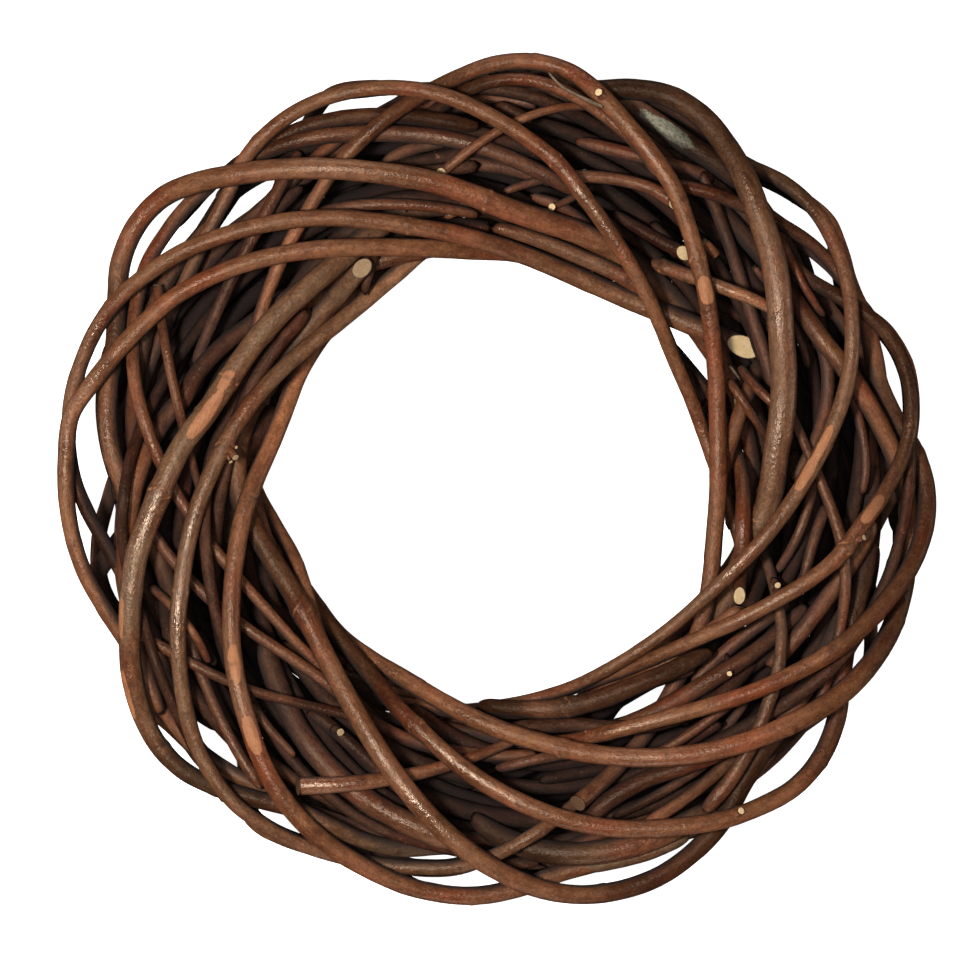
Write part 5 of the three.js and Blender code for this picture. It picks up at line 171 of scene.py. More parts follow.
    "back_rod_07": ("B", (0, 0), [-90.45, 60.52, 44.68, 2.71, -77.62, 69.93, 40.43, 2.81, -64.51, 78.57, 36.17, 2.92, -51.16, 86.28, 31.79, 3.05, -37.22, 92, 27.04, 3.07, -22.51, 95, 23.05, 3.07, -6.99, 95.24, 20.01, 3.06, 9.01, 93.65, 16.63, 3.05, 25.05, 90.83, 12.29, 3.05, 40.89, 86.89, 7.92, 3.04, 56.5, 82.4, 5.44, 3.03, 71.65, 77, 5, 3.03, 85.93, 70, 5.05, 3.02, 99.15, 61.31, 5.46, 3.02, 111.17, 51.06, 6.12, 3.01, 121.79, 39.48, 6.61, 3.01, 130.89, 26.96, 6.87, 3, 138.29, 13.87, 6.99, 2.99, 143.76, 0.36, 7.28, 2.99, 147.43, -13.52, 8.17, 2.97, 149.72, -28.04, 9.98, 2.93, 150.92, -43.44, 12.83, 2.87, 151.31, -58.89, 15.98, 2.82, 149.97, -74.84, 18.29, 2.78, 141.15, -86.24, 18.97, 2.73, 129.01, -96.14, 17.68, 2.68, 115.48, -105.69, 15.27, 2.63, 101.53, -114.18, 12.8, 2.6, 87.67, -121.22, 13.22, 2.6, 73.76, -126.2, 15.95, 2.6, 59.62, -128.7, 18.79, 2.6, 45.01, -128.74, 21.61, 2.6, 30.14, -126.35, 24.61, 2.6]),
    "back_rod_08": ("B", (0, 0), [79.8, -75.34, 43.9, 2.6, 64.85, -80.22, 43.68, 2.62, 50.18, -85.28, 42.94, 2.72, 35.2, -89.24, 41.32, 2.84, 19.94, -92.02, 39.37, 2.88, 4.5, -93.38, 36.74, 2.9, -10.95, -93.36, 33.16, 2.94, -26.23, -92.08, 28.17, 2.98, -41.25, -90.48, 21.83, 3.01, -56.17, -88.69, 15.82, 3.05, -71.22, -87.03, 11.59, 3.09, -86.23, -84.97, 7.8, 3.13, -101.26, -81.89, 5.56, 3.17, -116.16, -77.45, 4.58, 3.22, -130.53, -71.31, 4.91, 3.26, -143.8, -63.6, 6.17, 3.25, -154.59, -53.55, 8.02, 3.21, -160.78, -40.62, 10.1, 3.16, -161.37, -24.26, 12.64, 3.1, -157.13, -7.8, 15.21, 3.04, -152.11, 7.11, 18.11, 2.99, -146.63, 20.57, 21.13, 2.92, -141.51, 33.63, 23.29, 2.88, -136.98, 47.24, 25.16, 2.87, -131.58, 60.94, 27.27, 2.82, -124.69, 74.28, 30.23, 2.73, -116, 86.82, 33.49, 2.66, -105.64, 98.34, 36.53, 2.6, -94.13, 108.95, 38.93, 2.6, -82.73, 119.49, 40.21, 2.6, -71.43, 129.63, 41.74, 2.6, -60.01, 138.97, 41.8, 2.6, -48.37, 147.42, 40.57, 2.6]),
    "back_rod_09": ("B", (0, 0), [-103.57, 45.62, 41.72, 3.49, -93.48, 59.19, 34.75, 3.62, -83.83, 72.57, 30.5, 3.75, -74, 85.27, 30.13, 3.9, -63.19, 96.42, 31.7, 3.97, -50.84, 104.94, 30.79, 3.97, -36.71, 109.66, 26.23, 3.97, -21.43, 111.83, 19.11, 3.97, -5.54, 112.61, 11.88, 3.97, 10.76, 112.01, 7.33, 3.97, 27.07, 110.47, 5.16, 3.97, 43.07, 108.1, 4.56, 3.97, 58.59, 105.17, 4.11, 3.97, 73.6, 101.87, 3.43, 3.96, 88.07, 97.33, 3.43, 3.96, 102.24, 91.72, 3.43, 3.96, 116.45, 85.23, 3.43, 3.96, 130.78, 77.81, 3.43, 3.96, 144.77, 69.5, 7.53, 3.82, 157.35, 59.54, 14.53, 3.73, 164.94, 45.2, 22.39, 3.61, 166.89, 28.9, 28.2, 3.48, 165.21, 13.46, 30.34, 3.35, 161.52, -1.12, 26.78, 3.2, 154.91, -14.17, 23.06, 3.07, 148.33, -27.53, 22.91, 2.95, 143.53, -41.71, 24.46, 2.84, 138.81, -56.13, 26.95, 2.78, 132.81, -70.08, 29.61, 2.77, 124.99, -83.02, 32.39, 2.7, 115.35, -94.8, 33.93, 2.62, 104.11, -105.38, 33.64, 2.6, 91.76, -114.88, 32.69, 2.6, 78.79, -123.57, 32.84, 2.6, 65.38, -131.4, 34.51, 2.6, 51.58, -138.21, 36.72, 2.6, 37.49, -144.1, 38.08, 2.6, 23.14, -149.17, 37.68, 2.6]),
    "back_rod_10": ("B", (0, 0), [106.11, 48.23, 34.41, 2.95, 100.53, 34.78, 42.2, 3.06, 95.3, 20.27, 44.35, 3.17, 90.83, 4.63, 40.87, 3.31, 88.22, -12.24, 35.2, 3.36, 86.92, -28.89, 25.89, 3.39, 85.63, -45.07, 21.95, 3.44, 77.35, -56.08, 25.51, 3.5, 64.33, -65.5, 28.01, 3.55, 50.71, -76.43, 25.13, 3.6, 36.96, -87.81, 19.5, 3.65, 23.45, -98.71, 13.55, 3.69, 9.9, -107.96, 8.8, 3.75, -3.94, -115.13, 5.65, 3.82, -18.43, -120.25, 3.94, 3.86, -33.72, -123.91, 3.46, 4, -49.87, -126.38, 3.46, 4, -66.69, -127.7, 3.46, 4, -83.57, -127.55, 3.46, 4, -99.39, -125, 3.46, 4, -112.95, -118.81, 5.43, 4.12, -123.18, -107.58, 8.76, 4.09, -130.63, -92.66, 13.69, 4.06, -139.07, -77.18, 20.22, 4.03, -149.28, -63.19, 24.95, 4, -158.32, -50.87, 24.98, 3.97, -161.72, -39.1, 22.21, 3.94, -154.89, -27.96, 16.27, 3.9, -146.41, -14.23, 13.07, 3.86, -140.27, 1.32, 16.3, 3.82, -135.95, 17.62, 20.82, 3.79, -132.62, 33.93, 24.21, 3.76, -128.49, 49.63, 25.44, 3.75, -122.87, 64.51, 25.32, 3.69, -115.62, 78.52, 25.27, 3.57, -106.91, 91.67, 25.48, 3.47, -97.33, 104.15, 25.97, 3.39, -87.49, 116.05, 27.4, 3.3, -78.08, 127.56, 29.95, 3.22, -68.89, 138.24, 30.09, 3.15, -59.84, 147.88, 30.58, 3.07]),
    "back_rod_11": ("B", (0, 0), [17.04, -110.57, 41.23, 2.6, -1.45, -110.77, 40.61, 2.6, -18.64, -108.83, 39.63, 2.64, -34.34, -104.86, 36.97, 2.75, -48.09, -98.75, 34.98, 2.87, -59.15, -89.88, 34.86, 2.88, -66.4, -77.38, 37.24, 2.92, -71.47, -62.54, 39.84, 2.96, -76.15, -46.68, 39.64, 2.98, -81.84, -31.08, 34.22, 3.01, -90.26, -16.96, 24.9, 3.05, -97.95, -2.5, 20.9, 3.1, -100.3, 13.21, 16.65, 3.13, -99.86, 29.54, 14.03, 3.17, -97.68, 46.09, 11.37, 3.21, -94.96, 62.42, 8.67, 3.25, -91.97, 78.28, 6.13, 3.29, -88.35, 93.48, 4.12, 3.33, -83.14, 107.79, 2.85, 3.29, -76.03, 120.94, 2.85, 3.29, -66.82, 132.71, 2.85, 3.29, -55.49, 142.81, 2.85, 3.29, -42.53, 151.16, 2.85, 3.29, -28.73, 157.88, 3.72, 3.16, -14.15, 161.36, 3.92, 3.11, 0.59, 160.98, 4.71, 3.07, 15.05, 157.03, 6.43, 3.02, 28.93, 150.34, 8.91, 2.97, 42.67, 143.07, 14.14, 2.92, 56.14, 135.32, 19.95, 2.88, 69.5, 127.09, 23.7, 2.87, 82.47, 118.19, 25.68, 2.82, 94.97, 108.59, 26.26, 2.73, 106.97, 98.42, 27.07, 2.66, 118.27, 87.63, 29.57, 2.6, 128.63, 76.02, 32.15, 2.6, 137.95, 63.61, 34.09, 2.6, 146.25, 50.46, 34.66, 2.6, 153.38, 36.52, 33.8, 2.6]),
    "core_twig_01": ("F", (0, 0), [136.49, 83.22, 24.74, 2.37, 128.7, 92.36, 23.92, 2.35, 117.5, 101.03, 22.29, 2.32, 107.93, 106.86, 20.11, 2.31, 96.15, 112.82, 18.08, 2.29, 85.36, 117.54, 17.14, 2.27, 73.63, 122.11, 17.33, 2.25, 59.98, 126.7, 18.95, 2.23, 48.27, 129.74, 20.76, 2.21, 36.49, 131.74, 22.2, 2.19, 22.64, 132.66, 22.85, 2.17, 10.69, 132.2, 22.43, 2.15, -3.25, 130.29, 21.18, 2.13, -15.12, 127.55, 19.84, 2.11, -26.77, 123.83, 18.54, 2.09, -39.95, 118.27, 17.3, 2.07, -50.74, 112.47, 16.62, 2.05, -62.52, 104.49, 16.31, 2.02, -71.75, 96.61, 16.39, 2, -80.03, 87.82, 16.81, 1.99, -88.35, 76.51, 17.69, 1.96, -94.2, 66.03, 18.64, 1.94, -98.79, 54.97, 19.62, 1.92, -102.48, 41.49, 20.73, 1.9, -104.21, 29.55, 21.62, 1.88, -104.48, 15.25, 22.55, 1.86, -103.35, 2.74, 23.31, 1.84]),
    "core_twig_02": ("F", (0, 0), [-74.94, 67.68, 49.08, 3.12, -85.89, 55.82, 47.86, 3.08, -94.95, 42.82, 48.11, 3.04, -101.88, 28.62, 48.72, 3.01, -106.76, 13.42, 49.55, 2.97, -109.97, -2.29, 48.18, 2.93, -112.32, -18.2, 44.86, 2.89, -113.34, -34.28, 41.11, 2.85, -112.72, -50.4, 39.4, 2.81, -109.78, -66.22, 38.59, 2.77, -104.39, -81.37, 38.31, 2.73, -96.6, -95.46, 37.98, 2.7, -86.64, -108.12, 37.41, 2.66, -74.8, -119.06, 36.75, 2.62, -61.45, -128.15, 36.33, 2.58, -46.96, -135.51, 36.46, 2.54, -31.81, -141.45, 36.93, 2.5, -16.39, -146.37, 36.45, 2.46, -0.77, -149.84, 34.59, 2.43, 15.1, -150.95, 32.28, 2.39, 31.16, -150.05, 30.46, 2.35, 47.31, -147.65, 29.85, 2.31, 63.56, -143.79, 30.78, 2.27]),
    "core_twig_03": ("F", (0, 0), [-4.59, -167.19, 24.54, 3.13, 10.96, -163.12, 24.1, 3.09, 26.27, -158.44, 22.06, 3.06, 41.37, -153.3, 18.47, 3.03, 56.01, -147.19, 13.65, 2.99, 69.91, -139.66, 8.52, 2.96, 82.72, -130.4, 3.97, 2.92, 94.1, -119.24, 2.95, 2.89, 103.91, -106.42, 4.58, 2.86, 112.15, -92.42, 6.7, 2.82, 118.78, -77.59, 8.74, 2.79, 123.76, -62.24, 10.29, 2.75, 127.02, -46.57, 11.07, 2.72, 128.53, -30.7, 11.18, 2.68, 128.33, -14.7, 10.9, 2.65, 126.51, 1.39, 10.56, 2.62, 123.16, 17.5, 10.49, 2.58, 118.33, 33.45, 10.93, 2.55, 111.89, 48.81, 12.12, 2.51, 103.74, 62.99, 14.04, 2.48, 93.17, 74.7, 17.33, 2.45, 80.29, 83.39, 20.94, 2.41, 65.68, 89.17, 23.69, 2.38, 50.09, 92.54, 26.14, 2.34, 33.99, 94.7, 27.24, 2.31, 17.63, 96.57, 28.65, 2.27]),
    "core_twig_04": ("F", (0, 0), [48.06, 79.69, 28.1, 4.28, 35.95, 91.57, 33.76, 4.22, 23.51, 102.32, 37.05, 4.17, 9.62, 110.87, 37.58, 4.12, -5.49, 116.48, 37.16, 4.07, -21.49, 119.12, 35.8, 4.02, -37.71, 118.1, 33.87, 3.97, -53.72, 113.83, 32.19, 3.92, -69.18, 107.6, 31.3, 3.87, -83.76, 99.6, 31.33, 3.82, -97.19, 90.05, 32.01, 3.77, -109.22, 79.05, 32.82, 3.72, -119.55, 66.64, 33.31, 3.67, -127.82, 52.94, 33.49, 3.62, -133.76, 38.14, 34.05, 3.57, -137.09, 22.52, 36.2, 3.51, -138.86, 6.54, 39.21, 3.46, -140.35, -9.39, 37.24, 3.41, -141.08, -25.1, 32.75, 3.36, -141.09, -40.37, 26.31, 3.31, -139.82, -55.51, 23.28, 3.26, -135.93, -70.57, 25.66, 3.21, -130.95, -85.89, 26.94, 3.16, -124.72, -101.42, 27.43, 3.11]),
    "core_twig_05": ("F", (0, 0), [-151.45, -37.42, 5.93, 4.18, -145.59, -47.84, 8.68, 4.15, -139.56, -58.73, 11.56, 4.12, -132.48, -70.77, 13.76, 4.08, -126, -80.29, 14.36, 4.05, -118.79, -89.06, 14.1, 4.01, -110.64, -97.16, 13.48, 3.98, -101.63, -104.57, 14.01, 3.94, -90.15, -112.34, 15.94, 3.91, -79.62, -118.23, 18.11, 3.87, -68.6, -123.36, 20.18, 3.84, -57.24, -127.72, 21.36, 3.8, -45.64, -131.19, 21.64, 3.77, -31.89, -133.95, 20.94, 3.73, -20.02, -135.06, 19.76, 3.7, -8.15, -134.91, 18.33, 3.66, 3.61, -133.44, 17.2, 3.63, 15.17, -130.65, 16.53, 3.6, 26.47, -126.58, 16.33, 3.56, 39.16, -120.4, 16.06, 3.52, 49.52, -113.97, 15.6, 3.49, 59.29, -106.6, 14.75, 3.46, 68.38, -98.36, 13.42, 3.42, 76.65, -89.33, 11.62, 3.39, 85.01, -77.85, 9.15, 3.35, 90.77, -67.19, 7.59, 3.32, 95.16, -55.89, 6.8, 3.28, 98.17, -44.08, 6.79, 3.25, 99.91, -31.99, 7.37, 3.21, 100.39, -17.7, 9.59, 3.18, 99.55, -6.03, 12.74, 3.14, 97.98, 5, 16.58, 3.11]),
    "core_twig_06": ("F", (0, 0), [98.25, -56.59, 45.58, 3.4, 104.75, -42.69, 37.35, 3.35, 108.61, -27.67, 31.69, 3.31, 110.55, -11.53, 31.15, 3.26, 111.88, 4.91, 31.28, 3.22, 112.58, 21.45, 31.11, 3.18, 112.74, 37.87, 30.98, 3.13, 111.43, 54.02, 31.04, 3.09, 108.03, 69.66, 30.73, 3.04, 102.34, 84.53, 30.39, 3, 94.26, 98.28, 30.35, 2.96, 83.96, 110.65, 29.82, 2.91, 71.95, 121.59, 30.6, 2.87, 58.67, 131.05, 33.56, 2.82, 44.71, 139.15, 38.2, 2.78, 30.74, 146.1, 44.49, 2.74, 16.65, 151.9, 49.82, 2.69, 1.63, 155.48, 48.25, 2.65, -14.24, 156.76, 44.93, 2.6, -30.76, 156.62, 42.64, 2.56, -47.53, 156.09, 39.77, 2.51, -64.48, 154.2, 37.08, 2.47]),
    "core_twig_07": ("F", (0, 0), [-28.62, 157.41, 28.73, 3.23, -40.74, 150.66, 23.16, 3.2, -52.86, 142.27, 18.77, 3.16, -65.35, 133.12, 17.58, 3.12, -78.35, 123.58, 18.02, 3.09, -90.79, 113.11, 19.18, 3.05, -102.68, 102.21, 19.57, 3.01, -113.06, 90.4, 19.7, 2.98, -121.3, 77.27, 18.22, 2.94, -126.81, 62.68, 14.86, 2.9, -130.68, 47.11, 10.84, 2.87, -133.14, 31.02, 7.1, 2.83, -133.84, 14.72, 5.12, 2.79, -132.55, -1.41, 5.5, 2.76, -128.94, -16.96, 7.62, 2.72, -122.96, -31.58, 10.11, 2.68, -114.68, -44.98, 12.46, 2.65, -104.36, -57.02, 14.5, 2.61, -92.41, -67.74, 16.51, 2.57, -79.35, -77.32, 18.84, 2.54, -65.76, -86.08, 21.17, 2.5, -51.68, -93.55, 22.63, 2.46, -36.64, -98.1, 23.45, 2.43, -20.55, -99.21, 22.84, 2.39, -3.6, -97.4, 22.56, 2.35]),
    "core_twig_08": ("F", (0, 0), [-36.4, -91.25, 37.49, 3.86, -26.5, -98.72, 35.6, 3.83, -16.14, -104.82, 34.15, 3.79, -3.41, -109.94, 33.38, 3.74, 7.97, -112.68, 33.34, 3.71, 19.66, -113.93, 33.2, 3.67, 31.48, -113.8, 32.92, 3.63, 43.26, -112.39, 32.36, 3.59, 54.85, -109.77, 31.79, 3.56, 67.88, -105.18, 31.95, 3.51, 78.52, -100.04, 32.27, 3.47, 88.57, -93.9, 32.38, 3.44, 97.98, -86.84, 32.26, 3.4, 106.7, -78.93, 31.99, 3.36, 115.91, -68.76, 31.72, 3.32, 122.91, -59.32, 31.91, 3.28, 129.02, -49.29, 32.76, 3.24, 134.19, -38.76, 34.31, 3.21, 138.43, -27.81, 36.37, 3.17, 142.17, -14.64, 38.73, 3.12, 144.42, -3.15, 39.92, 3.09, 145.84, 8.41, 39.78, 3.05, 146.43, 19.92, 37.99, 3.01, 145.95, 31.28, 34.72, 2.97, 144.66, 42.49, 31, 2.94, 142.33, 55.48, 27.99, 2.89, 139.6, 66.57, 27.7, 2.85, 135.87, 77.54, 29.4, 2.82]),
    "core_twig_09": ("F", (0, 0), [122.38, 111.08, 21.79, 2.72, 114.89, 119.27, 24.09, 2.7, 103.24, 125.7, 25.11, 2.68, 92.26, 130.36, 24.75, 2.65, 80.69, 134.48, 23.66, 2.63, 66.95, 138.79, 22.36, 2.61, 55.16, 141.76, 21.88, 2.59, 43.38, 143.72, 22.4, 2.57, 29.73, 145.15, 24.69, 2.55, 18.07, 145.43, 26.18, 2.52, 6.43, 144.66, 26.62, 2.5, -7.06, 142.37, 25.93, 2.48, -18.43, 139.26, 24.92, 2.46, -29.55, 135.12, 24, 2.44, -42.09, 129.08, 23.26, 2.41, -52.37, 122.95, 22.75, 2.39, -62.15, 116.01, 22.23, 2.37, -71.37, 108.33, 21.67, 2.35, -81.3, 98.5, 20.97, 2.33, -89.01, 89.37, 20.37, 2.31, -95.86, 79.62, 19.87, 2.29, -102.66, 67.52, 19.46, 2.26, -107.35, 56.59, 19.19, 2.24, -110.96, 45.25, 18.9, 2.22, -113.63, 31.66, 18.29, 2.2, -114.61, 19.85, 17.52, 2.18, -114.43, 8, 16.67, 2.16, -112.59, -5.68, 16.32, 2.13, -109.53, -17.08, 16.27, 2.11, -105.18, -28.09, 16.63, 2.09, -98.42, -40.35, 17.71, 2.07, -91.29, -50.36, 19.16, 2.05]),
    "core_twig_10": ("F", (0, 0), [-89.03, 29.14, 26.94, 4.32, -95.98, 20.1, 30.18, 4.29, -103.15, 8.5, 33.03, 4.25, -107.34, -2.53, 33.79, 4.22, -109.06, -14.28, 32.73, 4.19, -109.25, -26.23, 31.58, 4.15, -107.55, -40.27, 30.87, 4.11, -104.53, -52.11, 30.51, 4.08, -100.16, -63.53, 30.19, 4.04, -93.48, -76.09, 29.97, 4.01, -86.53, -86.06, 29.75, 3.97, -78.53, -95.15, 30.01, 3.94, -69.62, -103.36, 30.78, 3.9, -58.27, -111.83, 32.23, 3.86, -47.9, -118.18, 33.86, 3.83, -37.1, -123.77, 35.54, 3.8, -24.05, -129.16, 37, 3.76, -12.5, -132.64, 37.71, 3.72, -0.66, -134.95, 38.14, 3.69, 13.28, -136.39, 39.04, 3.65, 25.3, -136.42, 39.63, 3.61, 37.28, -135.37, 40.27, 3.58, 49.18, -133.3, 40.87, 3.55, 62.89, -129.73, 40.98, 3.51, 74.46, -125.97, 39.95, 3.47, 85.72, -121.59, 38.89, 3.44, 98.18, -115.49, 37.95, 3.4, 108.02, -109.28, 37.31, 3.36, 116.89, -102.14, 36.32, 3.33, 124.65, -93.84, 35.63, 3.3, 132.39, -82.86, 34.58, 3.26, 138.42, -72.58, 33.69, 3.22]),
    "core_twig_11": ("F", (0, 0), [58.91, -149.47, 24.45, 4.28, 70.79, -138.8, 23.09, 4.23, 82.29, -127.76, 20.8, 4.17, 93.85, -116.79, 20.11, 4.12, 104.86, -105.47, 18.34, 4.07, 114.65, -93.32, 14.97, 4.01, 123.07, -80.17, 14.01, 3.96, 129.72, -65.96, 15.51, 3.91, 134.24, -50.79, 17.44, 3.85, 136.53, -35.01, 19.27, 3.8, 136.58, -18.99, 20.52, 3.75, 134.45, -3.14, 21.07, 3.69, 130.19, 12.19, 20.96, 3.64, 123.87, 26.73, 20.35, 3.59, 115.63, 40.32, 19.44, 3.54, 105.66, 52.88, 18.58, 3.48, 94.28, 64.48, 17.62, 3.43, 82.15, 75.46, 16.55, 3.38, 69.32, 85.43, 16.9, 3.32, 55.7, 93.78, 16.57, 3.27, 40.83, 98.67, 15.09, 3.22, 24.74, 99.97, 13.45, 3.16, 7.72, 98.43, 11.69, 3.11]),
    "core_twig_12": ("F", (0, 0), [15.53, 99.11, 33.1, 2.82, -0.31, 106.74, 37.71, 2.79, -16.17, 111.45, 41.24, 2.75, -32.14, 113.21, 43.68, 2.72, -47.79, 111.07, 42.91, 2.68, -62.95, 105.66, 40.91, 2.65, -77.5, 98.23, 39.6, 2.61, -91.14, 89.01, 38.82, 2.58, -103.71, 78.24, 38.59, 2.54, -115.11, 66.04, 38.92, 2.51, -125.3, 52.54, 40.23, 2.47, -134.11, 37.96, 43.36, 2.44, -141.36, 22.56, 48.23, 2.4, -146.26, 6.93, 56.23, 2.37, -148.63, -9.16, 60.51, 2.33, -149.11, -24.82, 55.41, 2.3, -146.23, -40.16, 51.03, 2.26, -141.52, -55.37, 51.51, 2.23, -136.66, -70.82, 55.15, 2.19, -130.91, -86.28, 52.53, 2.16, -124.34, -101.34, 46.55, 2.12, -116.95, -116.15, 38.62, 2.09, -108.33, -130.43, 29.47, 2.05]),
    "core_twig_13": ("F", (0, 0), [-107.91, -104.1, 6.53, 3.38, -98.56, -111.24, 7.77, 3.34, -87.31, -118.73, 10.02, 3.3, -77.08, -124.03, 12.18, 3.26, -64.49, -128.98, 14.3, 3.22, -53.31, -132.7, 15.05, 3.19, -39.93, -136.31, 15.05, 3.14, -28.18, -138.31, 14.35, 3.11, -16.26, -139.14, 13.25, 3.07, -2.28, -138.5, 11.88, 3.03, 9.62, -136.43, 11.06, 2.99, 23.08, -132.24, 10.67, 2.95, 34.1, -127.25, 10.37, 2.92, 46.11, -119.92, 9.75, 2.87, 55.5, -112.44, 8.86, 2.84, 63.93, -103.97, 7.54, 2.8, 72.43, -93.02, 5.76, 2.76, 78.57, -82.91, 4.3, 2.72, 84.5, -70.49, 3.17, 2.68, 88.64, -59.5, 2.85, 2.65, 92.46, -46.45, 2.81, 2.6, 94.82, -35.07, 2.92, 2.57]),
    "core_twig_14": ("F", (0, 0), [96.38, -21.65, 38.7, 3.05, 103.47, -11.81, 38.91, 3.01, 109.35, 1.23, 40.77, 2.98, 111.68, 12.16, 41.91, 2.95, 111.92, 23.59, 41.61, 2.92, 109.97, 37.23, 39.37, 2.89, 106.78, 48.9, 37.5, 2.87, 102.23, 60.32, 37.55, 2.84, 95.84, 73.21, 40.3, 2.81, 89.65, 83.8, 42.98, 2.78, 82.62, 93.73, 44.23, 2.75, 73.16, 104.18, 44.08, 2.72, 64.13, 112.14, 43.45, 2.69, 54.37, 119.15, 42.67, 2.67, 42.19, 126.13, 41.66, 2.64, 31.2, 131.14, 40.8, 2.61, 17.88, 135.9, 39.85, 2.58, 6.11, 139.07, 38.97, 2.55, -5.91, 141.38, 37.89, 2.52, -20.19, 143.04, 36.59, 2.49, -32.54, 143.68, 35.68, 2.46, -44.91, 143.7, 35.2, 2.44, -59.17, 142.82, 36.11, 2.4, -70.99, 141.02, 36.51, 2.38, -82.52, 138.36, 35.03, 2.35, -95.3, 133.5, 31.51, 2.32, -105.29, 126.94, 28.81, 2.29, -113.88, 119.62, 26.12, 2.27, -123.02, 110.1, 23.1, 2.24, -130.33, 101.52, 20.62, 2.22]),
    "core_twig_15": ("F", (0, 0), [-91.96, 137.36, 9.06, 4.27, -102.21, 124.54, 9.34, 4.2, -111.53, 110.9, 10.69, 4.14, -120.23, 96.8, 12.68, 4.08, -127.65, 82.22, 14.48, 4.02, -133.33, 67.14, 15.63, 3.96, -136.36, 51.61, 15.69, 3.9, -136.57, 35.73, 14.48, 3.84, -134.69, 19.78, 12.74, 3.78, -131.4, 3.92, 12.14, 3.71, -127.04, -11.74, 13.47, 3.65, -121.39, -27, 16.01, 3.59, -114.35, -41.76, 18.8, 3.53, -105.83, -55.9, 21.03, 3.47, -95.81, -69.16, 22.12, 3.41, -84.31, -81.06, 21.73, 3.35, -71.02, -90.45, 19.82, 3.29, -55.9, -96.1, 16.89, 3.22, -39.31, -97.91, 12.72, 3.16, -21.39, -96.38, 8.58, 3.1]),
    "core_twig_16": ("F", (0, 0), [3.84, -99.56, 46.27, 3.16, 18.05, -98.76, 43.76, 3.12, 32.71, -98.35, 42.61, 3.09, 47.86, -99.4, 47.07, 3.05, 63.45, -97.79, 50.56, 3.01, 78.83, -92.66, 49.29, 2.97, 92.56, -83.66, 44.96, 2.94, 104.09, -71.28, 39.73, 2.9, 113.73, -57.08, 36.08, 2.86, 121.5, -41.9, 34.62, 2.82, 127.36, -26.24, 34.71, 2.79, 131.69, -10.47, 35.42, 2.75, 134.39, 5.39, 36.21, 2.71, 135.37, 21.31, 36.76, 2.67, 134.62, 37.24, 36.94, 2.64, 132.17, 53.04, 36.75, 2.6, 127.94, 68.52, 36.87, 2.56, 122.05, 83.51, 36.59, 2.52, 114.7, 97.84, 35.29, 2.49, 106.11, 111.41, 33.25, 2.45, 96.33, 124.06, 31.92, 2.41, 85.24, 135.52, 32.18, 2.37, 72.83, 145.72, 34.72, 2.34, 59.12, 154.63, 39.5, 2.3]),
    "core_twig_17": ("F", (0, 0), [115.98, 118.86, 16.09, 3.82, 101.23, 126.58, 16.48, 3.78, 87.22, 134.48, 16.6, 3.73, 73.26, 141.34, 16.68, 3.69, 59, 146.27, 16.67, 3.64, 44.26, 149.01, 17.56, 3.6, 29.19, 148.56, 18.12, 3.55, 13.9, 145.92, 19.16, 3.5, -1.4, 142.02, 19.24, 3.46, -16.7, 137.68, 17.96, 3.41, -31.7, 132.77, 16.93, 3.37, -45.94, 126.42, 16.13, 3.32, -59.2, 118.43, 15.53, 3.28, -71.3, 108.67, 14.89, 3.23, -82.1, 97.32, 14.17, 3.19, -91.45, 84.59, 13.55, 3.14, -99.13, 70.76, 13.23, 3.1, -104.88, 56.09, 13.22, 3.05, -108.48, 40.84, 13.32, 3.01, -109.84, 25.32, 13.66, 2.96, -109.2, 9.81, 14.34, 2.92, -107.09, -5.45, 14.65, 2.87, -102.65, -20.23, 15.45, 2.82, -95.92, -34.41, 16.42, 2.78]),
    "core_twig_18": ("F", (0, 0), [-103.13, -4.57, 24.12, 2.91, -102.15, -19.48, 28.98, 2.87, -99.99, -34.41, 32.31, 2.83, -96.53, -49.35, 33.6, 2.78, -91.44, -64.04, 33.77, 2.74, -84.9, -78.34, 34.67, 2.7, -76.98, -92.04, 36.44, 2.66, -67.77, -104.94, 38.11, 2.62, -57.03, -116.51, 39.08, 2.58, -44.82, -126.35, 38.97, 2.53, -31.18, -133.91, 37.61, 2.49, -16.22, -138.76, 34.98, 2.45, -0.66, -141.59, 32.05, 2.41, 15.14, -142.46, 29.39, 2.37, 30.82, -141.45, 27.49, 2.33, 46.13, -138.69, 26.84, 2.28, 60.9, -134.24, 26.99, 2.24, 74.91, -128.04, 27.32, 2.2, 88.5, -121.11, 27.56, 2.16, 101.52, -113.37, 25.81, 2.12]),
    "core_twig_19": ("F", (0, 0), [102.48, -120.69, 8.44, 3.18, 110.84, -112.35, 8.57, 3.15, 118.25, -103.42, 9.03, 3.12, 125.53, -92.02, 9.86, 3.08, 130.68, -81.53, 10.52, 3.05, 134.78, -70.45, 11.08, 3.02, 137.83, -58.89, 11.56, 2.99, 140.11, -44.98, 12.03, 2.95, 141.07, -32.86, 12.33, 2.92, 141.14, -20.68, 12.59, 2.89, 140.31, -8.56, 12.85, 2.86, 138.22, 5.43, 13.25, 2.82, 135.42, 17.19, 13.72, 2.79, 131.69, 28.66, 14.37, 2.76, 126.97, 39.73, 15.2, 2.73, 121.26, 50.29, 16.18, 2.7, 113.33, 61.83, 17.43, 2.66, 105.44, 70.9, 18.48, 2.63, 96.58, 79.07, 19.35, 2.6, 86.84, 86.23, 19.94, 2.57, 74.54, 93.25, 20.2, 2.53, 63.38, 98.06, 20.05, 2.5, 51.82, 101.68, 19.57, 2.47, 39.94, 103.78, 19.06, 2.44, 25.9, 104.3, 18.14, 2.4, 13.79, 102.92, 17.26, 2.37, 1.65, 99.99, 16.57, 2.34]),
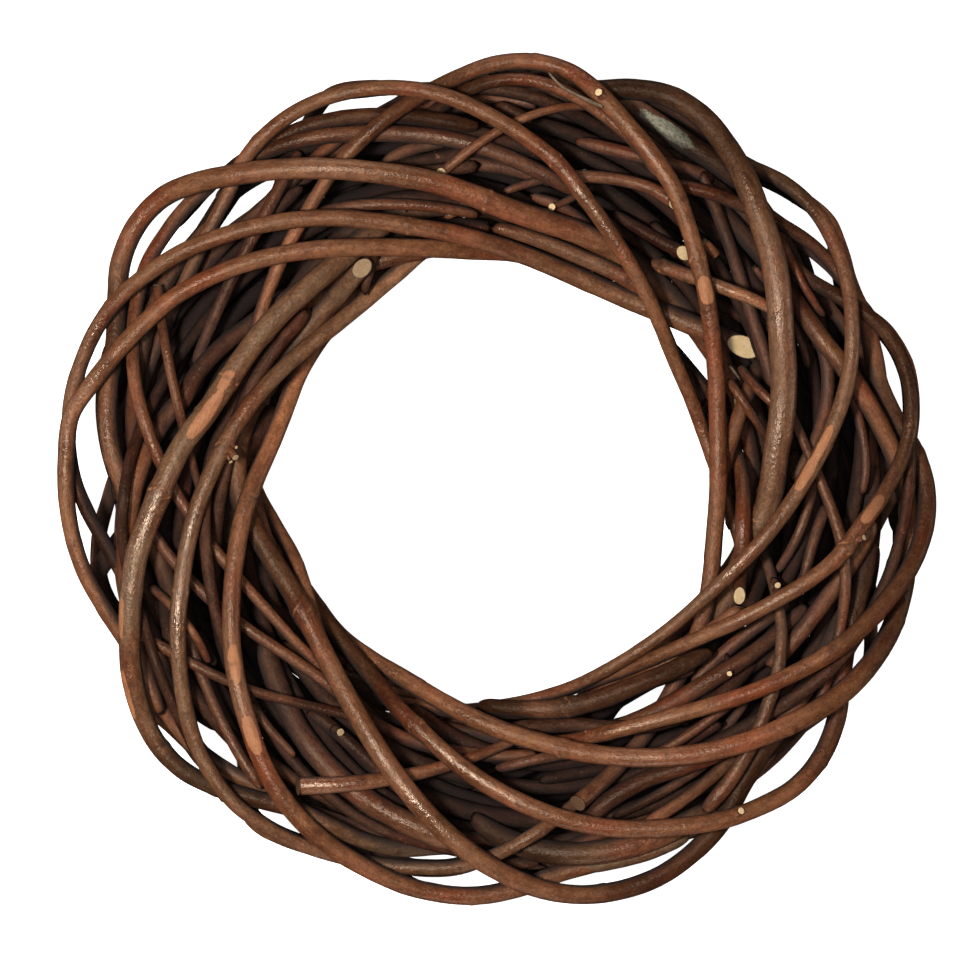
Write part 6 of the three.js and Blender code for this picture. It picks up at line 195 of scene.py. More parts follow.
    "core_twig_20": ("F", (0, 0), [-2, 100.72, 41.02, 3.85, -18.24, 101.48, 36.45, 3.81, -34.07, 100.43, 30.97, 3.77, -49.58, 97.9, 25.84, 3.73, -64.71, 93.37, 22.65, 3.68, -79.25, 86.71, 22.88, 3.64, -92.86, 77.94, 25.53, 3.6, -105.19, 67.4, 27.59, 3.56, -115.63, 55.24, 28.79, 3.52, -123.64, 41.63, 29.62, 3.47, -129.02, 26.79, 30.66, 3.43, -132.08, 11.08, 31.73, 3.39, -133.39, -5.16, 32.75, 3.35, -133.75, -21.67, 33.85, 3.31, -133.45, -38.19, 35.26, 3.26, -132.44, -54.49, 37.11, 3.22, -129.4, -69.97, 40.06, 3.18, -122.11, -83.97, 43.96, 3.14, -112.31, -96.73, 44.38, 3.1, -101.31, -108.8, 43.13, 3.05, -90.13, -120.44, 41.69, 3.01, -78.38, -131.35, 41.03, 2.97, -66.32, -141.83, 39.52, 2.93, -53.66, -151.29, 35.9, 2.89, -40.27, -159.7, 32.91, 2.84, -25.95, -166.58, 30.16, 2.8]),
    "core_twig_21": ("F", (0, 0), [-111.47, -121.47, 21.14, 3.89, -97.11, -126.85, 19.94, 3.85, -82.62, -132.63, 20.32, 3.8, -68.23, -139.35, 20.5, 3.76, -53.17, -144.03, 20.49, 3.72, -37.39, -146.11, 19.63, 3.68, -21.37, -146.82, 17.96, 3.64, -5.44, -146.92, 16.29, 3.6, 10.25, -145.63, 15.13, 3.56, 25.49, -142.58, 13.92, 3.52, 40.14, -137.48, 12.89, 3.48, 54.04, -130.36, 12.46, 3.44, 66.93, -121.32, 12.62, 3.4, 78.53, -110.55, 13.21, 3.36, 88.59, -98.25, 13.59, 3.32, 96.97, -84.76, 13.68, 3.27, 103.62, -70.35, 13.52, 3.23, 108.54, -55.27, 13.3, 3.19, 111.79, -39.7, 13.3, 3.15, 113.42, -23.8, 13.72, 3.11, 113.51, -7.67, 14.63, 3.07, 112.07, 8.5, 15.9, 3.03, 109.09, 24.44, 17.11, 2.99, 104.22, 39.7, 17.84, 2.95, 95.79, 53.2, 17.93, 2.91, 84.35, 64.66, 18.71, 2.87, 69.97, 74.06, 20.14, 2.83]),
    "core_twig_22": ("F", (0, 0), [100.94, 14.85, 18.31, 3.52, 101.48, 31.17, 22.81, 3.48, 99.3, 46.68, 27.25, 3.43, 94.36, 61.32, 31.33, 3.39, 87.06, 75.06, 34.23, 3.35, 77.68, 87.73, 35.96, 3.3, 66.59, 99.15, 36.66, 3.26, 54.16, 109.14, 36.65, 3.22, 40.73, 117.55, 36.24, 3.17, 26.56, 124.26, 35.63, 3.13, 11.81, 129.2, 34.86, 3.08, -3.45, 132.36, 33.8, 3.04, -19.22, 133.9, 32.37, 3, -35.44, 133.83, 30.07, 2.95, -52.03, 132.86, 27.27, 2.91, -68.64, 130.87, 25.06, 2.87, -84.29, 126.69, 23.49, 2.82, -98.34, 120.68, 23.9, 2.78, -109.58, 111.74, 26.54, 2.74, -118.79, 99.9, 29.81, 2.69, -128.79, 87.75, 32.31, 2.65, -139.64, 75.58, 32.85, 2.6, -151.33, 63.41, 31.24, 2.56]),
    "core_twig_23": ("F", (0, 0), [-128.98, 90.48, 23.87, 3.65, -134.7, 81.02, 21.61, 3.62, -139.58, 70.91, 19.68, 3.59, -144.09, 58.25, 17.85, 3.56, -147.09, 46.8, 16.55, 3.53, -149.43, 34.96, 15.34, 3.5, -151.05, 22.93, 13.34, 3.47, -152.17, 8.74, 11.33, 3.44, -152.22, -3.29, 9.45, 3.41, -150.96, -14.92, 6.67, 3.38, -147.43, -26.09, 4.33, 3.35, -141.87, -38.76, 4.53, 3.32, -136.14, -49.24, 6.01, 3.29, -129.6, -59.27, 7.85, 3.26, -122.32, -68.78, 10.03, 3.23, -112.95, -79.02, 11.95, 3.2, -104.17, -86.92, 12.88, 3.17, -94.72, -93.92, 13.26, 3.14, -84.64, -99.94, 13.27, 3.11, -73.99, -104.96, 13.15, 3.08, -60.97, -109.54, 13.2, 3.05, -49.4, -112.38, 13.69, 3.02, -37.54, -114.2, 14.79, 2.99, -25.51, -115, 16.58, 2.96, -11.47, -114.6, 19.66, 2.93, 0.35, -113.01, 22.62, 2.9, 11.76, -110.18, 25.23, 2.87, 22.58, -106.1, 26.92, 2.84, 34.26, -100.03, 26.96, 2.81, 44.2, -92.76, 25.15, 2.78, 54.53, -86.79, 22.24, 2.75]),
    "core_twig_24": ("F", (0, 0), [31.1, -100.17, 34.17, 2.99, 47.83, -99.03, 31.04, 2.96, 62.78, -93.8, 29.45, 2.93, 76.4, -85.8, 30.45, 2.89, 88.8, -75.72, 32.5, 2.86, 99.95, -64.16, 34.28, 2.82, 109.64, -51.45, 36.1, 2.79, 117.62, -37.82, 37.9, 2.76, 123.51, -23.28, 38.8, 2.72, 127.3, -8.13, 39, 2.69, 129.17, 7.36, 38.54, 2.65, 129.27, 22.99, 37.85, 2.62, 127.63, 38.58, 37.35, 2.59, 124.44, 54.06, 36.84, 2.55, 119.89, 69.31, 36.02, 2.52, 114.12, 84.23, 34.84, 2.48, 107.08, 98.56, 32.88, 2.45, 98.46, 111.84, 30.58, 2.42, 88.17, 123.69, 28.64, 2.38, 76.1, 133.69, 28.54, 2.35, 62.76, 141.97, 28.98, 2.31, 48.33, 148.32, 29.19, 2.28, 33.64, 154.24, 29.94, 2.25, 18.83, 159.81, 29.08, 2.21, 3.76, 164.67, 29.21, 2.18]),
    "core_twig_25": ("F", (0, 0), [78.73, 141.99, 27.2, 4.32, 63.49, 149.28, 26.26, 4.27, 48.16, 154.33, 25.23, 4.22, 32.62, 155.97, 23.75, 4.18, 17.05, 154.61, 22.66, 4.13, 1.63, 151, 22.39, 4.08, -13.63, 146.46, 21.77, 4.03, -28.77, 141.92, 20.99, 3.99, -43.25, 136.14, 19.92, 3.94, -56.95, 129.1, 18.7, 3.89, -69.72, 120.61, 17.28, 3.85, -81.41, 110.68, 15.7, 3.8, -91.81, 99.31, 14.06, 3.75, -100.82, 86.62, 12.72, 3.7, -108.5, 72.95, 12.34, 3.66, -114.62, 58.51, 13.4, 3.61, -118.75, 43.47, 15.5, 3.56, -120.7, 28.09, 18.23, 3.52, -119.99, 12.65, 20.92, 3.47, -116.59, -2.53, 22.57, 3.42, -110.98, -17.26, 23.08, 3.37, -103.68, -31.3, 23.56, 3.33, -95.14, -44.47, 24.94, 3.28, -85.18, -56.27, 28, 3.23, -73.65, -66.49, 31.47, 3.19, -60.45, -75.15, 33.53, 3.14]),
    "core_twig_26": ("F", (0, 0), [-97.44, -23.83, 22.56, 2.99, -93.69, -38.61, 29.36, 2.96, -88.74, -53.1, 33.36, 2.92, -82.53, -67.26, 34.08, 2.89, -74.86, -80.74, 33.88, 2.85, -65.58, -93.14, 33.38, 2.81, -54.67, -104.08, 32.99, 2.78, -42.23, -113.3, 32.89, 2.74, -28.59, -120.82, 33.04, 2.71, -14.16, -126.77, 33.13, 2.67, 0.86, -130.78, 32.71, 2.64, 16.22, -132.59, 31.99, 2.6, 31.66, -132.17, 31.27, 2.57, 46.95, -129.64, 30.68, 2.53, 61.9, -125.2, 30.13, 2.49, 76.37, -119.13, 29.29, 2.46, 90.28, -111.65, 27.72, 2.42, 103.52, -102.97, 25.17, 2.39, 116.01, -93.23, 21.9, 2.35, 127.45, -82.37, 19.14, 2.32, 137.74, -70.56, 18.18, 2.28, 145.81, -57.57, 19.58, 2.25, 150.58, -43.15, 23.03, 2.21, 152.85, -27.68, 27.67, 2.18]),
    "core_twig_27": ("F", (0, 0), [159.49, -51.03, 19.84, 2.89, 162.37, -35.21, 15.97, 2.85, 163.03, -19.41, 13.4, 2.81, 161.5, -3.64, 12.32, 2.78, 158.04, 11.86, 11.89, 2.74, 152.76, 26.89, 12.03, 2.7, 146.2, 41.34, 11.91, 2.66, 138.12, 54.9, 11.78, 2.63, 128.58, 67.4, 12.02, 2.59, 117.69, 78.71, 12.22, 2.55, 105.55, 88.71, 12.22, 2.51, 92.37, 97.38, 11.67, 2.48, 78.3, 104.61, 10.26, 2.44, 63.5, 110.37, 8.2, 2.4, 48.08, 114.22, 5.44, 2.36, 32.27, 116.48, 3.59, 2.33, 16.35, 117.26, 3.11, 2.29, 0.62, 115.8, 3.83, 2.25, -14.64, 112.07, 5.65, 2.21, -29.24, 106.24, 7.59, 2.18, -42.97, 98.31, 9.44, 2.14, -55.72, 88.28, 11.24, 2.1]),
    "core_twig_28": ("F", (0, 0), [-47.15, 91.08, 23.46, 3.44, -58, 86.47, 22.13, 3.41, -68.43, 80.99, 21.56, 3.38, -80.01, 73.41, 22.29, 3.35, -89.35, 65.98, 24.46, 3.32, -97.97, 57.77, 28.55, 3.28, -104.86, 49.52, 33.09, 3.26, -111.74, 38.42, 38.03, 3.22, -116.72, 27.25, 41.03, 3.19, -120.84, 15.58, 42.32, 3.16, -123.96, 3.52, 42.13, 3.13, -126.04, -8.75, 40.89, 3.1, -127.15, -23.1, 38.68, 3.07, -126.93, -35.26, 36.64, 3.03, -125.71, -47.13, 34.76, 3, -123.18, -58.57, 33.46, 2.97, -119.31, -69.54, 32.78, 2.94, -113.15, -81.75, 32.68, 2.91, -106.67, -91.81, 33.05, 2.88, -99.49, -101.73, 33.55, 2.85, -91.76, -111.49, 33.16, 2.82, -83.73, -120.88, 31.45, 2.79, -74.89, -130.47, 28.12, 2.75, -65.98, -138.79, 27.28, 2.72, -56.23, -145.91, 27.41, 2.69, -45.81, -151.32, 27.93, 2.66, -32.91, -155.38, 28.85, 2.63, -21.02, -155.84, 29.35, 2.6, -9.47, -155.45, 29.33, 2.57]),
    "core_twig_29": ("F", (0, 0), [-33.7, -164.76, 15.78, 3.14, -16.78, -167.71, 15.15, 3.09, -0.45, -166.53, 14.13, 3.05, 14.95, -161.25, 12.74, 3.01, 29.71, -153.9, 11.07, 2.97, 43.87, -145.32, 9.41, 2.93, 57.36, -135.96, 8.11, 2.89, 70.14, -126, 8.03, 2.85, 82.1, -115.35, 9.46, 2.81, 92.92, -103.73, 11.34, 2.77, 102.41, -91.03, 13.37, 2.73, 110.36, -77.26, 15.19, 2.69, 116.59, -62.51, 16.57, 2.65, 120.92, -46.99, 17.31, 2.61, 123.2, -30.99, 17.26, 2.57, 123.27, -14.84, 16.34, 2.52, 121.04, 1.06, 14.71, 2.48, 116.44, 16.31, 12.82, 2.44, 109.42, 30.5, 11.66, 2.4, 100.05, 43.3, 12.13, 2.36, 88.45, 54.5, 14.5, 2.32, 74.85, 64.21, 19.28, 2.28]),
    "core_twig_30": ("F", (0, 0), [95.17, 33.62, 25.82, 2.64, 92.59, 45.78, 27.64, 2.62, 88.71, 57.14, 29.53, 2.6, 82.24, 69.19, 31.35, 2.58, 75.17, 78.54, 32.21, 2.56, 67, 87.03, 32.5, 2.54, 57.91, 94.68, 32.29, 2.52, 46.4, 102.6, 31.64, 2.5, 35.94, 108.53, 30.91, 2.48, 25.04, 113.63, 30.15, 2.46, 13.79, 117.86, 29.43, 2.44, 0.32, 121.59, 28.74, 2.41, -11.44, 123.69, 28.33, 2.39, -23.29, 124.68, 28.14, 2.37, -35.12, 124.52, 28.25, 2.35, -48.68, 122.75, 28.85, 2.33, -59.93, 119.83, 29.8, 2.31, -70.7, 115.62, 31.12, 2.29, -80.92, 110.16, 32.73, 2.27, -90.58, 103.57, 34.4, 2.25, -101.16, 94.71, 36.06, 2.23, -109.89, 86.52, 36.63, 2.21, -118.35, 77.97, 36.14, 2.19, -126.34, 69, 34.61, 2.17, -134.71, 57.93, 31.88, 2.14, -140.95, 47.94, 29.8, 2.12, -146.26, 37.54, 28.68, 2.1, -150.47, 26.79, 28.89, 2.08, -152.96, 13.72, 30.06, 2.06, -153.57, 2.33, 31.28, 2.04, -152.74, -9.51, 32.29, 2.02]),
    "core_twig_31": ("F", (0, 0), [-154.24, 58.08, 27.22, 2.98, -157.9, 42.89, 28.34, 2.95, -158.8, 27.85, 27.92, 2.91, -157.02, 13.02, 26.56, 2.88, -152.97, -1.55, 22.62, 2.84, -146.56, -15.51, 20.64, 2.81, -140.23, -30.15, 18.07, 2.77, -134.33, -45.23, 17.84, 2.74, -127.02, -59.42, 17.83, 2.7, -118.23, -72.43, 18.24, 2.66, -107.91, -84.14, 19.13, 2.63, -96.27, -94.57, 20.51, 2.59, -83.41, -103.62, 22, 2.56, -69.42, -111.14, 23.35, 2.52, -54.45, -116.95, 24.63, 2.49, -38.81, -120.83, 26.01, 2.45, -22.89, -122.53, 27.56, 2.42, -7.18, -121.76, 28.29, 2.38, 7.83, -118.25, 26.85, 2.35, 21.75, -112.03, 24.26, 2.31, 34.49, -103.42, 21.25, 2.28, 46.33, -93.17, 18.26, 2.24, 58.32, -82.87, 14.72, 2.2, 70.23, -72.28, 12.06, 2.17]),
    "core_twig_32": ("F", (0, 0), [72.66, -80.99, 26.15, 3.98, 81.7, -75.25, 24.57, 3.94, 87.62, -63.11, 23.64, 3.89, 91.67, -51.96, 23.57, 3.86, 97.8, -41.94, 22.28, 3.83, 103.92, -31.52, 22.21, 3.81, 110.34, -18.92, 23.2, 3.77, 114.7, -7.83, 24.4, 3.75, 117.91, 3.21, 26.51, 3.72, 119.84, 14.65, 29.35, 3.69, 120.05, 28.91, 33.26, 3.65, 118.32, 40.91, 35.95, 3.62, 115.29, 52.59, 37.49, 3.59, 110.27, 65.72, 37.97, 3.55, 104.78, 76.44, 37.56, 3.52, 98.28, 86.56, 36.84, 3.49, 90.83, 96, 36.58, 3.46, 81.22, 106.21, 37.07, 3.42, 72.33, 114.26, 37.92, 3.39, 62.85, 121.56, 38.83, 3.36, 52.7, 127.85, 39.42, 3.33, 40.35, 134.26, 39.03, 3.29, 29.35, 138.69, 38.03, 3.26, 18, 141.88, 36.47, 3.23, 4.36, 143.81, 34.05, 3.19, -7.57, 143.97, 31.87, 3.16, -19.57, 142.81, 30.31, 3.13, -31.62, 141.02, 30.07, 3.1, -45.63, 138.84, 31.62, 3.06, -57.48, 137.2, 33.98, 3.03, -69.01, 135.16, 36.86, 3, -79.9, 132.46, 35.92, 2.97, -91.52, 129.13, 30.13, 2.93, -100.68, 126.53, 23, 2.9]),
    "core_twig_33": ("F", (0, 0), [38.17, 157.73, 14.69, 4.07, 21.42, 158.77, 14.36, 4.02, 5.1, 158.16, 12.97, 3.98, -10.75, 156.04, 9.44, 3.93, -26.1, 152.19, 8.01, 3.88, -40.99, 146.3, 8.81, 3.84, -55.49, 139.12, 10.09, 3.79, -69.37, 130.73, 10.37, 3.75, -82.17, 120.94, 10.95, 3.7, -93.57, 109.74, 12.16, 3.65, -103.44, 97.34, 13.06, 3.61, -111.26, 83.55, 14.54, 3.56, -117.18, 68.7, 16.7, 3.51, -121.73, 53.25, 19.21, 3.47, -124.32, 37.26, 22.05, 3.42, -125.29, 21.12, 24.99, 3.38, -124.01, 4.99, 26.55, 3.33, -120.39, -10.86, 26.29, 3.28, -114.56, -26.11, 24.67, 3.24, -106.62, -40.4, 22.7, 3.19, -96.67, -53.4, 20.77, 3.14, -85.14, -64.9, 19.17, 3.1, -72.29, -74.73, 18.93, 3.05, -58.59, -83.17, 21.58, 3.01, -44.22, -90.39, 27.69, 2.96]),
    "core_twig_34": ("F", (0, 0), [-85.43, -64.26, 40.69, 3.31, -78.93, -74.71, 40.6, 3.28, -70.3, -85.77, 40.21, 3.25, -61.94, -94.17, 39.82, 3.22, -52.74, -101.56, 39.49, 3.19, -41.01, -108.81, 39.08, 3.16, -30.25, -113.86, 38.74, 3.13, -19.01, -117.86, 38.42, 3.1, -7.42, -120.8, 38.08, 3.07, 6.36, -122.9, 37.65, 3.03, 18.24, -123.57, 37.32, 3, 30.04, -123.15, 37, 2.97, 43.62, -121.37, 37.61, 2.94, 55.02, -118.75, 38.88, 2.91, 66.19, -115.11, 40.35, 2.88, 78.96, -109.72, 42.32, 2.85, 89.65, -104.11, 43.04, 2.82, 100.31, -98.25, 44.33, 2.79, 112.54, -91.2, 47.22, 2.75, 122.46, -84.53, 50.25, 2.72, 131.7, -77.08, 52.14, 2.69, 140.87, -67.1, 50.19, 2.66, 147.45, -57.46, 46.97, 2.63, 153.05, -46.96, 44.26, 2.6, 157.82, -35.83, 43.34, 2.57, 161.76, -22.24, 43.63, 2.54, 163.98, -10.3, 44.92, 2.51, 165.15, 1.75, 45.85, 2.48, 165.15, 15.84, 45.11, 2.44, 163.96, 27.93, 43.68, 2.41]),
    "core_twig_35": ("F", (0, 0), [161.47, -20.32, 18.56, 2.65, 159.09, -5.38, 17.11, 2.61, 155.04, 9.37, 15.76, 2.58, 150.52, 24.18, 16.07, 2.55, 144.99, 38.78, 16.35, 2.52, 138.14, 52.87, 16.5, 2.48, 130.08, 66.25, 16.76, 2.45, 120.33, 78.42, 16.69, 2.42, 109, 89.21, 16.31, 2.38, 96.27, 98.53, 15.82, 2.35, 82.43, 106.38, 15.55, 2.32, 67.74, 112.79, 15.6, 2.29, 52.42, 117.69, 15.77, 2.25, 36.67, 120.92, 15.59, 2.22, 20.67, 122.14, 14.03, 2.19, 4.66, 121.34, 12.26, 2.15, -11.04, 118.37, 10.87, 2.12, -26.08, 113.18, 10.27, 2.09, -40.04, 105.76, 10.88, 2.06, -52.55, 96.23, 12.65, 2.02, -63.38, 84.86, 14.93, 1.99, -72.33, 71.82, 17.65, 1.96, -79.36, 57.2, 20.84, 1.92]),
    "core_twig_36": ("F", (0, 0), [-70.25, 74.44, 30.96, 2.78, -82.09, 63.47, 36.83, 2.75, -92.06, 50.89, 41.19, 2.71, -101.08, 37.29, 42.85, 2.68, -108.83, 23.04, 44.49, 2.64, -114.31, 7.85, 48.2, 2.61, -116.43, -8.14, 51.69, 2.57, -116.22, -24.52, 54.61, 2.54, -114.48, -40.99, 54.34, 2.5, -111.05, -57.11, 52.08, 2.47, -105.91, -72.61, 48.45, 2.44, -99.04, -87.33, 45.51, 2.4, -90.47, -101.16, 44.82, 2.37, -80.36, -113.82, 45.54, 2.33, -68.88, -125.04, 46.89, 2.3, -56.2, -134.55, 47.01, 2.26, -42.11, -141.65, 46.24, 2.23, -26.78, -146.37, 44.36, 2.19, -10.79, -150.06, 41.37, 2.16, 5.45, -152.59, 38.5, 2.13, 21.71, -153.71, 35.44, 2.09, 37.93, -153.05, 33.18, 2.06, 54.07, -150.74, 32.04, 2.02]),
    "core_twig_37": ("F", (0, 0), [-101.78, -88.94, 25.75, 3.18, -109.53, -74.92, 21.75, 3.08, -117.56, -61.06, 17.75, 2.97, -125.87, -47.37, 13.75, 2.87, -134.46, -33.85, 9.75, 2.76]),
    "core_twig_38": ("F", (0, 0), [156.14, -9.45, 10.5, 3.18, 149.01, 4.87, 14.5, 3.08, 142, 19.24, 18.5, 2.97, 135.12, 33.67, 22.5, 2.87, 128.35, 48.16, 26.5, 2.76]),
    "core_twig_39": ("F", (0, 0), [6.27, 132.3, 41.75, 3.18, -9.48, 130.69, 41.75, 3.08, -25.12, 128.43, 41.75, 2.97, -40.66, 125.52, 41.75, 2.87, -56.08, 121.96, 41.75, 2.76]),
    "core_twig_40": ("F", (0, 0), [117.37, -51.85, 24, 3.18, 117.28, -35.85, 28, 3.08, 117.58, -19.86, 32, 2.97, 118.28, -3.88, 36, 2.87, 119.37, 12.08, 40, 2.76]),
    "core_twig_41": ("F", (0, 0), [74.76, -87.86, 29.75, 3.18, 61.53, -96.78, 29.75, 3.08, 48.15, -105.46, 29.75, 2.97, 34.62, -113.91, 29.75, 2.87, 20.93, -122.11, 29.75, 2.76]),
    "core_twig_42": ("F", (0, 0), [37.18, -113.68, 9.5, 3.18, 26.55, -116.64, 9.5, 3.08, 16.06, -119.99, 9.5, 2.97, 5.7, -123.73, 9.5, 2.87, -4.53, -127.86, 9.5, 2.76]),
    "core_twig_43": ("F", (0, 0), [23.03, 128.58, 44.75, 3.18, 12.69, 132.32, 44.75, 3.08, 2.27, 135.85, 44.75, 2.97, -8.21, 139.17, 44.75, 2.87, -18.76, 142.29, 44.75, 2.76]),
    "core_twig_44": ("F", (0, 0), [-77.45, -96.81, 34.75, 3.18, -88.91, -85.75, 30.75, 3.08, -100.6, -74.94, 26.75, 2.97, -112.51, -64.37, 22.75, 2.87, -124.65, -54.06, 18.75, 2.76]),
    "core_twig_45": ("F", (0, 0), [126.79, -59.08, 26.75, 3.18, 129.35, -43.41, 26.75, 3.08, 131.48, -27.68, 26.75, 2.97, 133.17, -11.91, 26.75, 2.87, 134.42, 3.92, 26.75, 2.76]),
    "core_twig_46": ("F", (0, 0), [-93.64, 15.73, 18, 3.18, -90.88, 26.37, 15.25, 3.08, -88.06, 37, 12.5, 2.97, -85.16, 47.6, 9.75, 2.87, -82.19, 58.19, 7, 2.76]),
    "core_twig_47": ("F", (0, 0), [62.76, 130.33, 9.5, 3.18, 46.79, 129.44, 9.5, 3.08, 30.83, 128.56, 9.5, 2.97, 14.86, 127.69, 9.5, 2.87, -1.11, 126.83, 9.5, 2.76]),
    "core_twig_48": ("F", (0, 0), [91.59, 7, 16.5, 3.18, 93.02, 17.92, 13.75, 3.08, 94.02, 28.87, 11, 2.97, 94.57, 39.85, 8.25, 2.87, 94.7, 50.86, 5.5, 2.76]),
    "core_twig_49": ("F", (0, 0), [-61.64, -67.08, 20.5, 3.18, -74.89, -57.98, 16.5, 3.08, -87.49, -48.1, 12.5, 2.97, -99.43, -37.45, 8.5, 2.87, -110.73, -26.01, 4.5, 2.76]),
    "core_twig_50": ("F", (0, 0), [111.1, 78.88, 9.25, 3.18, 101.34, 84.04, 12, 3.08, 91.77, 89.55, 14.75, 2.97, 82.41, 95.39, 17.5, 2.87, 73.24, 101.56, 20.25, 2.76]),
    "core_twig_51": ("F", (0, 0), [-71.72, -113.96, 35, 3.18, -82.12, -101.82, 35, 3.08, -92.35, -89.54, 35, 2.97, -102.39, -77.1, 35, 2.87, -112.24, -64.52, 35, 2.76]),
    "core_twig_52": ("F", (0, 0), [106.83, -20.25, 11, 2.65, 100.74, -11.1, 11, 2.56, 95.06, -1.7, 11, 2.48, 89.8, 7.93, 11, 2.39, 84.94, 17.8, 11, 2.3]),
    "core_twig_53": ("F", (0, 0), [88.69, -107.53, 29, 3.18, 96.43, -99.74, 29, 3.08, 104.41, -92.21, 29, 2.97, 112.63, -84.95, 29, 2.87, 121.09, -77.95, 29, 2.76]),
    "core_twig_54": ("F", (0, 0), [31.26, -168.55, 19.5, 2.12, 21.5, -163.43, 16.75, 2.05, 11.93, -157.99, 14, 1.98, 2.56, -152.21, 11.25, 1.91, -6.61, -146.1, 8.5, 1.84]),
    "core_twig_55": ("F", (0, 0), [158.38, -2.03, 12, 3.18, 150.61, 11.9, 16, 3.08, 142.8, 25.81, 20, 2.97, 134.93, 39.69, 24, 2.87, 127.02, 53.54, 28, 2.76]),
    "core_twig_56": ("F", (0, 0), [90.6, 28.93, 26.75, 2.76, 85.28, 35.56, 24.63, 2.67, 79.96, 42.2, 22.5, 2.57, 74.65, 48.84, 20.38, 2.48, 69.33, 55.47, 18.25, 2.39]),
    "core_twig_57": ("F", (0, 0), [67.5, -149.46, 34.75, 1.17, 63.29, -150.97, 34.75, 1.13, 59.08, -152.47, 34.75, 1.09]),
    "core_twig_58": ("F", (0, 0), [-63.58, 71.63, 10, 2.76, -58.94, 78.73, 10, 2.67, -54.31, 85.83, 10, 2.57, -49.67, 92.93, 10, 2.48, -45.03, 100.03, 10, 2.39]),
    "core_twig_59": ("F", (0, 0), [127.68, 79.13, 28, 1.59, 126.35, 83.41, 26.88, 1.54, 125.01, 87.7, 25.75, 1.48, 123.68, 91.99, 24.63, 1.43, 122.35, 96.27, 23.5, 1.38]),
    "core_twig_60": ("F", (0, 0), [-159.86, 26.83, 17.5, 2.76, -155.83, 34.32, 19.63, 2.67, -151.79, 41.81, 21.75, 2.57, -147.76, 49.3, 23.88, 2.48, -143.72, 56.79, 26, 2.39]),
    "core_twig_61": ("F", (0, 0), [-48.53, -90.09, 8, 2.76, -53.87, -83.49, 8, 2.67, -59.22, -76.89, 8, 2.57, -64.56, -70.29, 8, 2.48, -69.91, -63.69, 8, 2.39]),
    "core_twig_62": ("F", (0, 0), [-65.64, -121.09, 4.75, 2.76, -72.83, -116.51, 4.75, 2.67, -80.02, -111.94, 4.75, 2.57, -87.21, -107.36, 4.75, 2.48, -94.4, -102.78, 4.75, 2.39]),
    "core_twig_63": ("F", (0, 0), [136.39, 53.46, 21.5, 2.76, 136.32, 57.96, 20.38, 2.67, 136.25, 62.47, 19.25, 2.57, 136.18, 66.97, 18.13, 2.48, 136.11, 71.47, 17, 2.39]),
    "core_twig_64": ("F", (0, 0), [94.91, -73, 42.25, 2.76, 89.53, -79.47, 42.25, 2.67, 84.14, -85.94, 42.25, 2.57, 78.75, -92.42, 42.25, 2.48, 73.36, -98.89, 42.25, 2.39]),
    "core_twig_65": ("F", (0, 0), [86.89, 80.89, 12.5, 2.76, 80.55, 86.56, 12.5, 2.67, 74.21, 92.22, 12.5, 2.57, 67.86, 97.89, 12.5, 2.48, 61.52, 103.56, 12.5, 2.39]),
    "core_twig_66": ("F", (0, 0), [-112.69, -62.15, 16.5, 2.76, -115.05, -58.3, 15.38, 2.67, -117.4, -54.44, 14.25, 2.57, -119.75, -50.58, 13.13, 2.48, -122.1, -46.73, 12, 2.39]),
    "core_twig_67": ("F", (0, 0), [16.87, 166.36, 26.25, 2.76, 8.45, 165.25, 24.13, 2.67, 0.04, 164.14, 22, 2.57, -8.38, 163.04, 19.88, 2.48, -16.8, 161.93, 17.75, 2.39]),
    "core_twig_68": ("F", (0, 0), [-27.75, -90.88, 12.25, 2.76, -35.13, -86.66, 12.25, 2.67, -42.51, -82.44, 12.25, 2.57, -49.89, -78.23, 12.25, 2.48, -57.27, -74.01, 12.25, 2.39]),
    "core_twig_69": ("F", (0, 0), [83.27, 89.42, 4, 2.76, 75, 91.39, 4, 2.67, 66.73, 93.35, 4, 2.57, 58.46, 95.32, 4, 2.48, 50.2, 97.29, 4, 2.39]),
    "core_twig_70": ("F", (0, 0), [-114.82, 27.33, 26, 2.76, -114.53, 35.78, 23.88, 2.67, -114.24, 44.23, 21.75, 2.57, -113.95, 52.69, 19.63, 2.48, -113.66, 61.14, 17.5, 2.39]),
    "core_twig_71": ("F", (0, 0), [45.98, 160.19, 26.75, 1.17, 41.53, 159.92, 27.88, 1.13, 37.07, 159.66, 29, 1.09, 32.62, 159.4, 30.13, 1.05, 28.17, 159.13, 31.25, 1.01]),
    "core_twig_72": ("F", (0, 0), [-10.76, 129.14, 44.25, 2.76, -15.19, 128.56, 43.13, 2.67, -19.62, 127.98, 42, 2.57, -24.05, 127.4, 40.88, 2.48, -28.48, 126.82, 39.75, 2.39]),
    "core_twig_73": ("F", (0, 0), [-59.91, 106, 28, 2.76, -67.2, 101.65, 28, 2.67, -74.49, 97.29, 28, 2.57, -81.78, 92.93, 28, 2.48, -89.08, 88.57, 28, 2.39]),
    "core_twig_74": ("F", (0, 0), [-87.09, -70.27, 4, 2.76, -92.92, -64.08, 4, 2.67, -98.74, -57.89, 4, 2.57, -104.57, -51.7, 4, 2.48, -110.4, -45.51, 4, 2.39]),
    "core_twig_75": ("F", (0, 0), [21.74, -91.24, 21.5, 2.76, 13.72, -94.05, 19.38, 2.67, 5.7, -96.86, 17.25, 2.57, -2.32, -99.66, 15.13, 2.48, -10.34, -102.47, 13, 2.39]),
    "core_twig_76": ("F", (0, 0), [94.07, -80.93, 39.75, 2.76, 100.98, -76.06, 39.75, 2.67, 107.88, -71.19, 39.75, 2.57, 114.78, -66.32, 39.75, 2.48, 121.68, -61.45, 39.75, 2.39]),
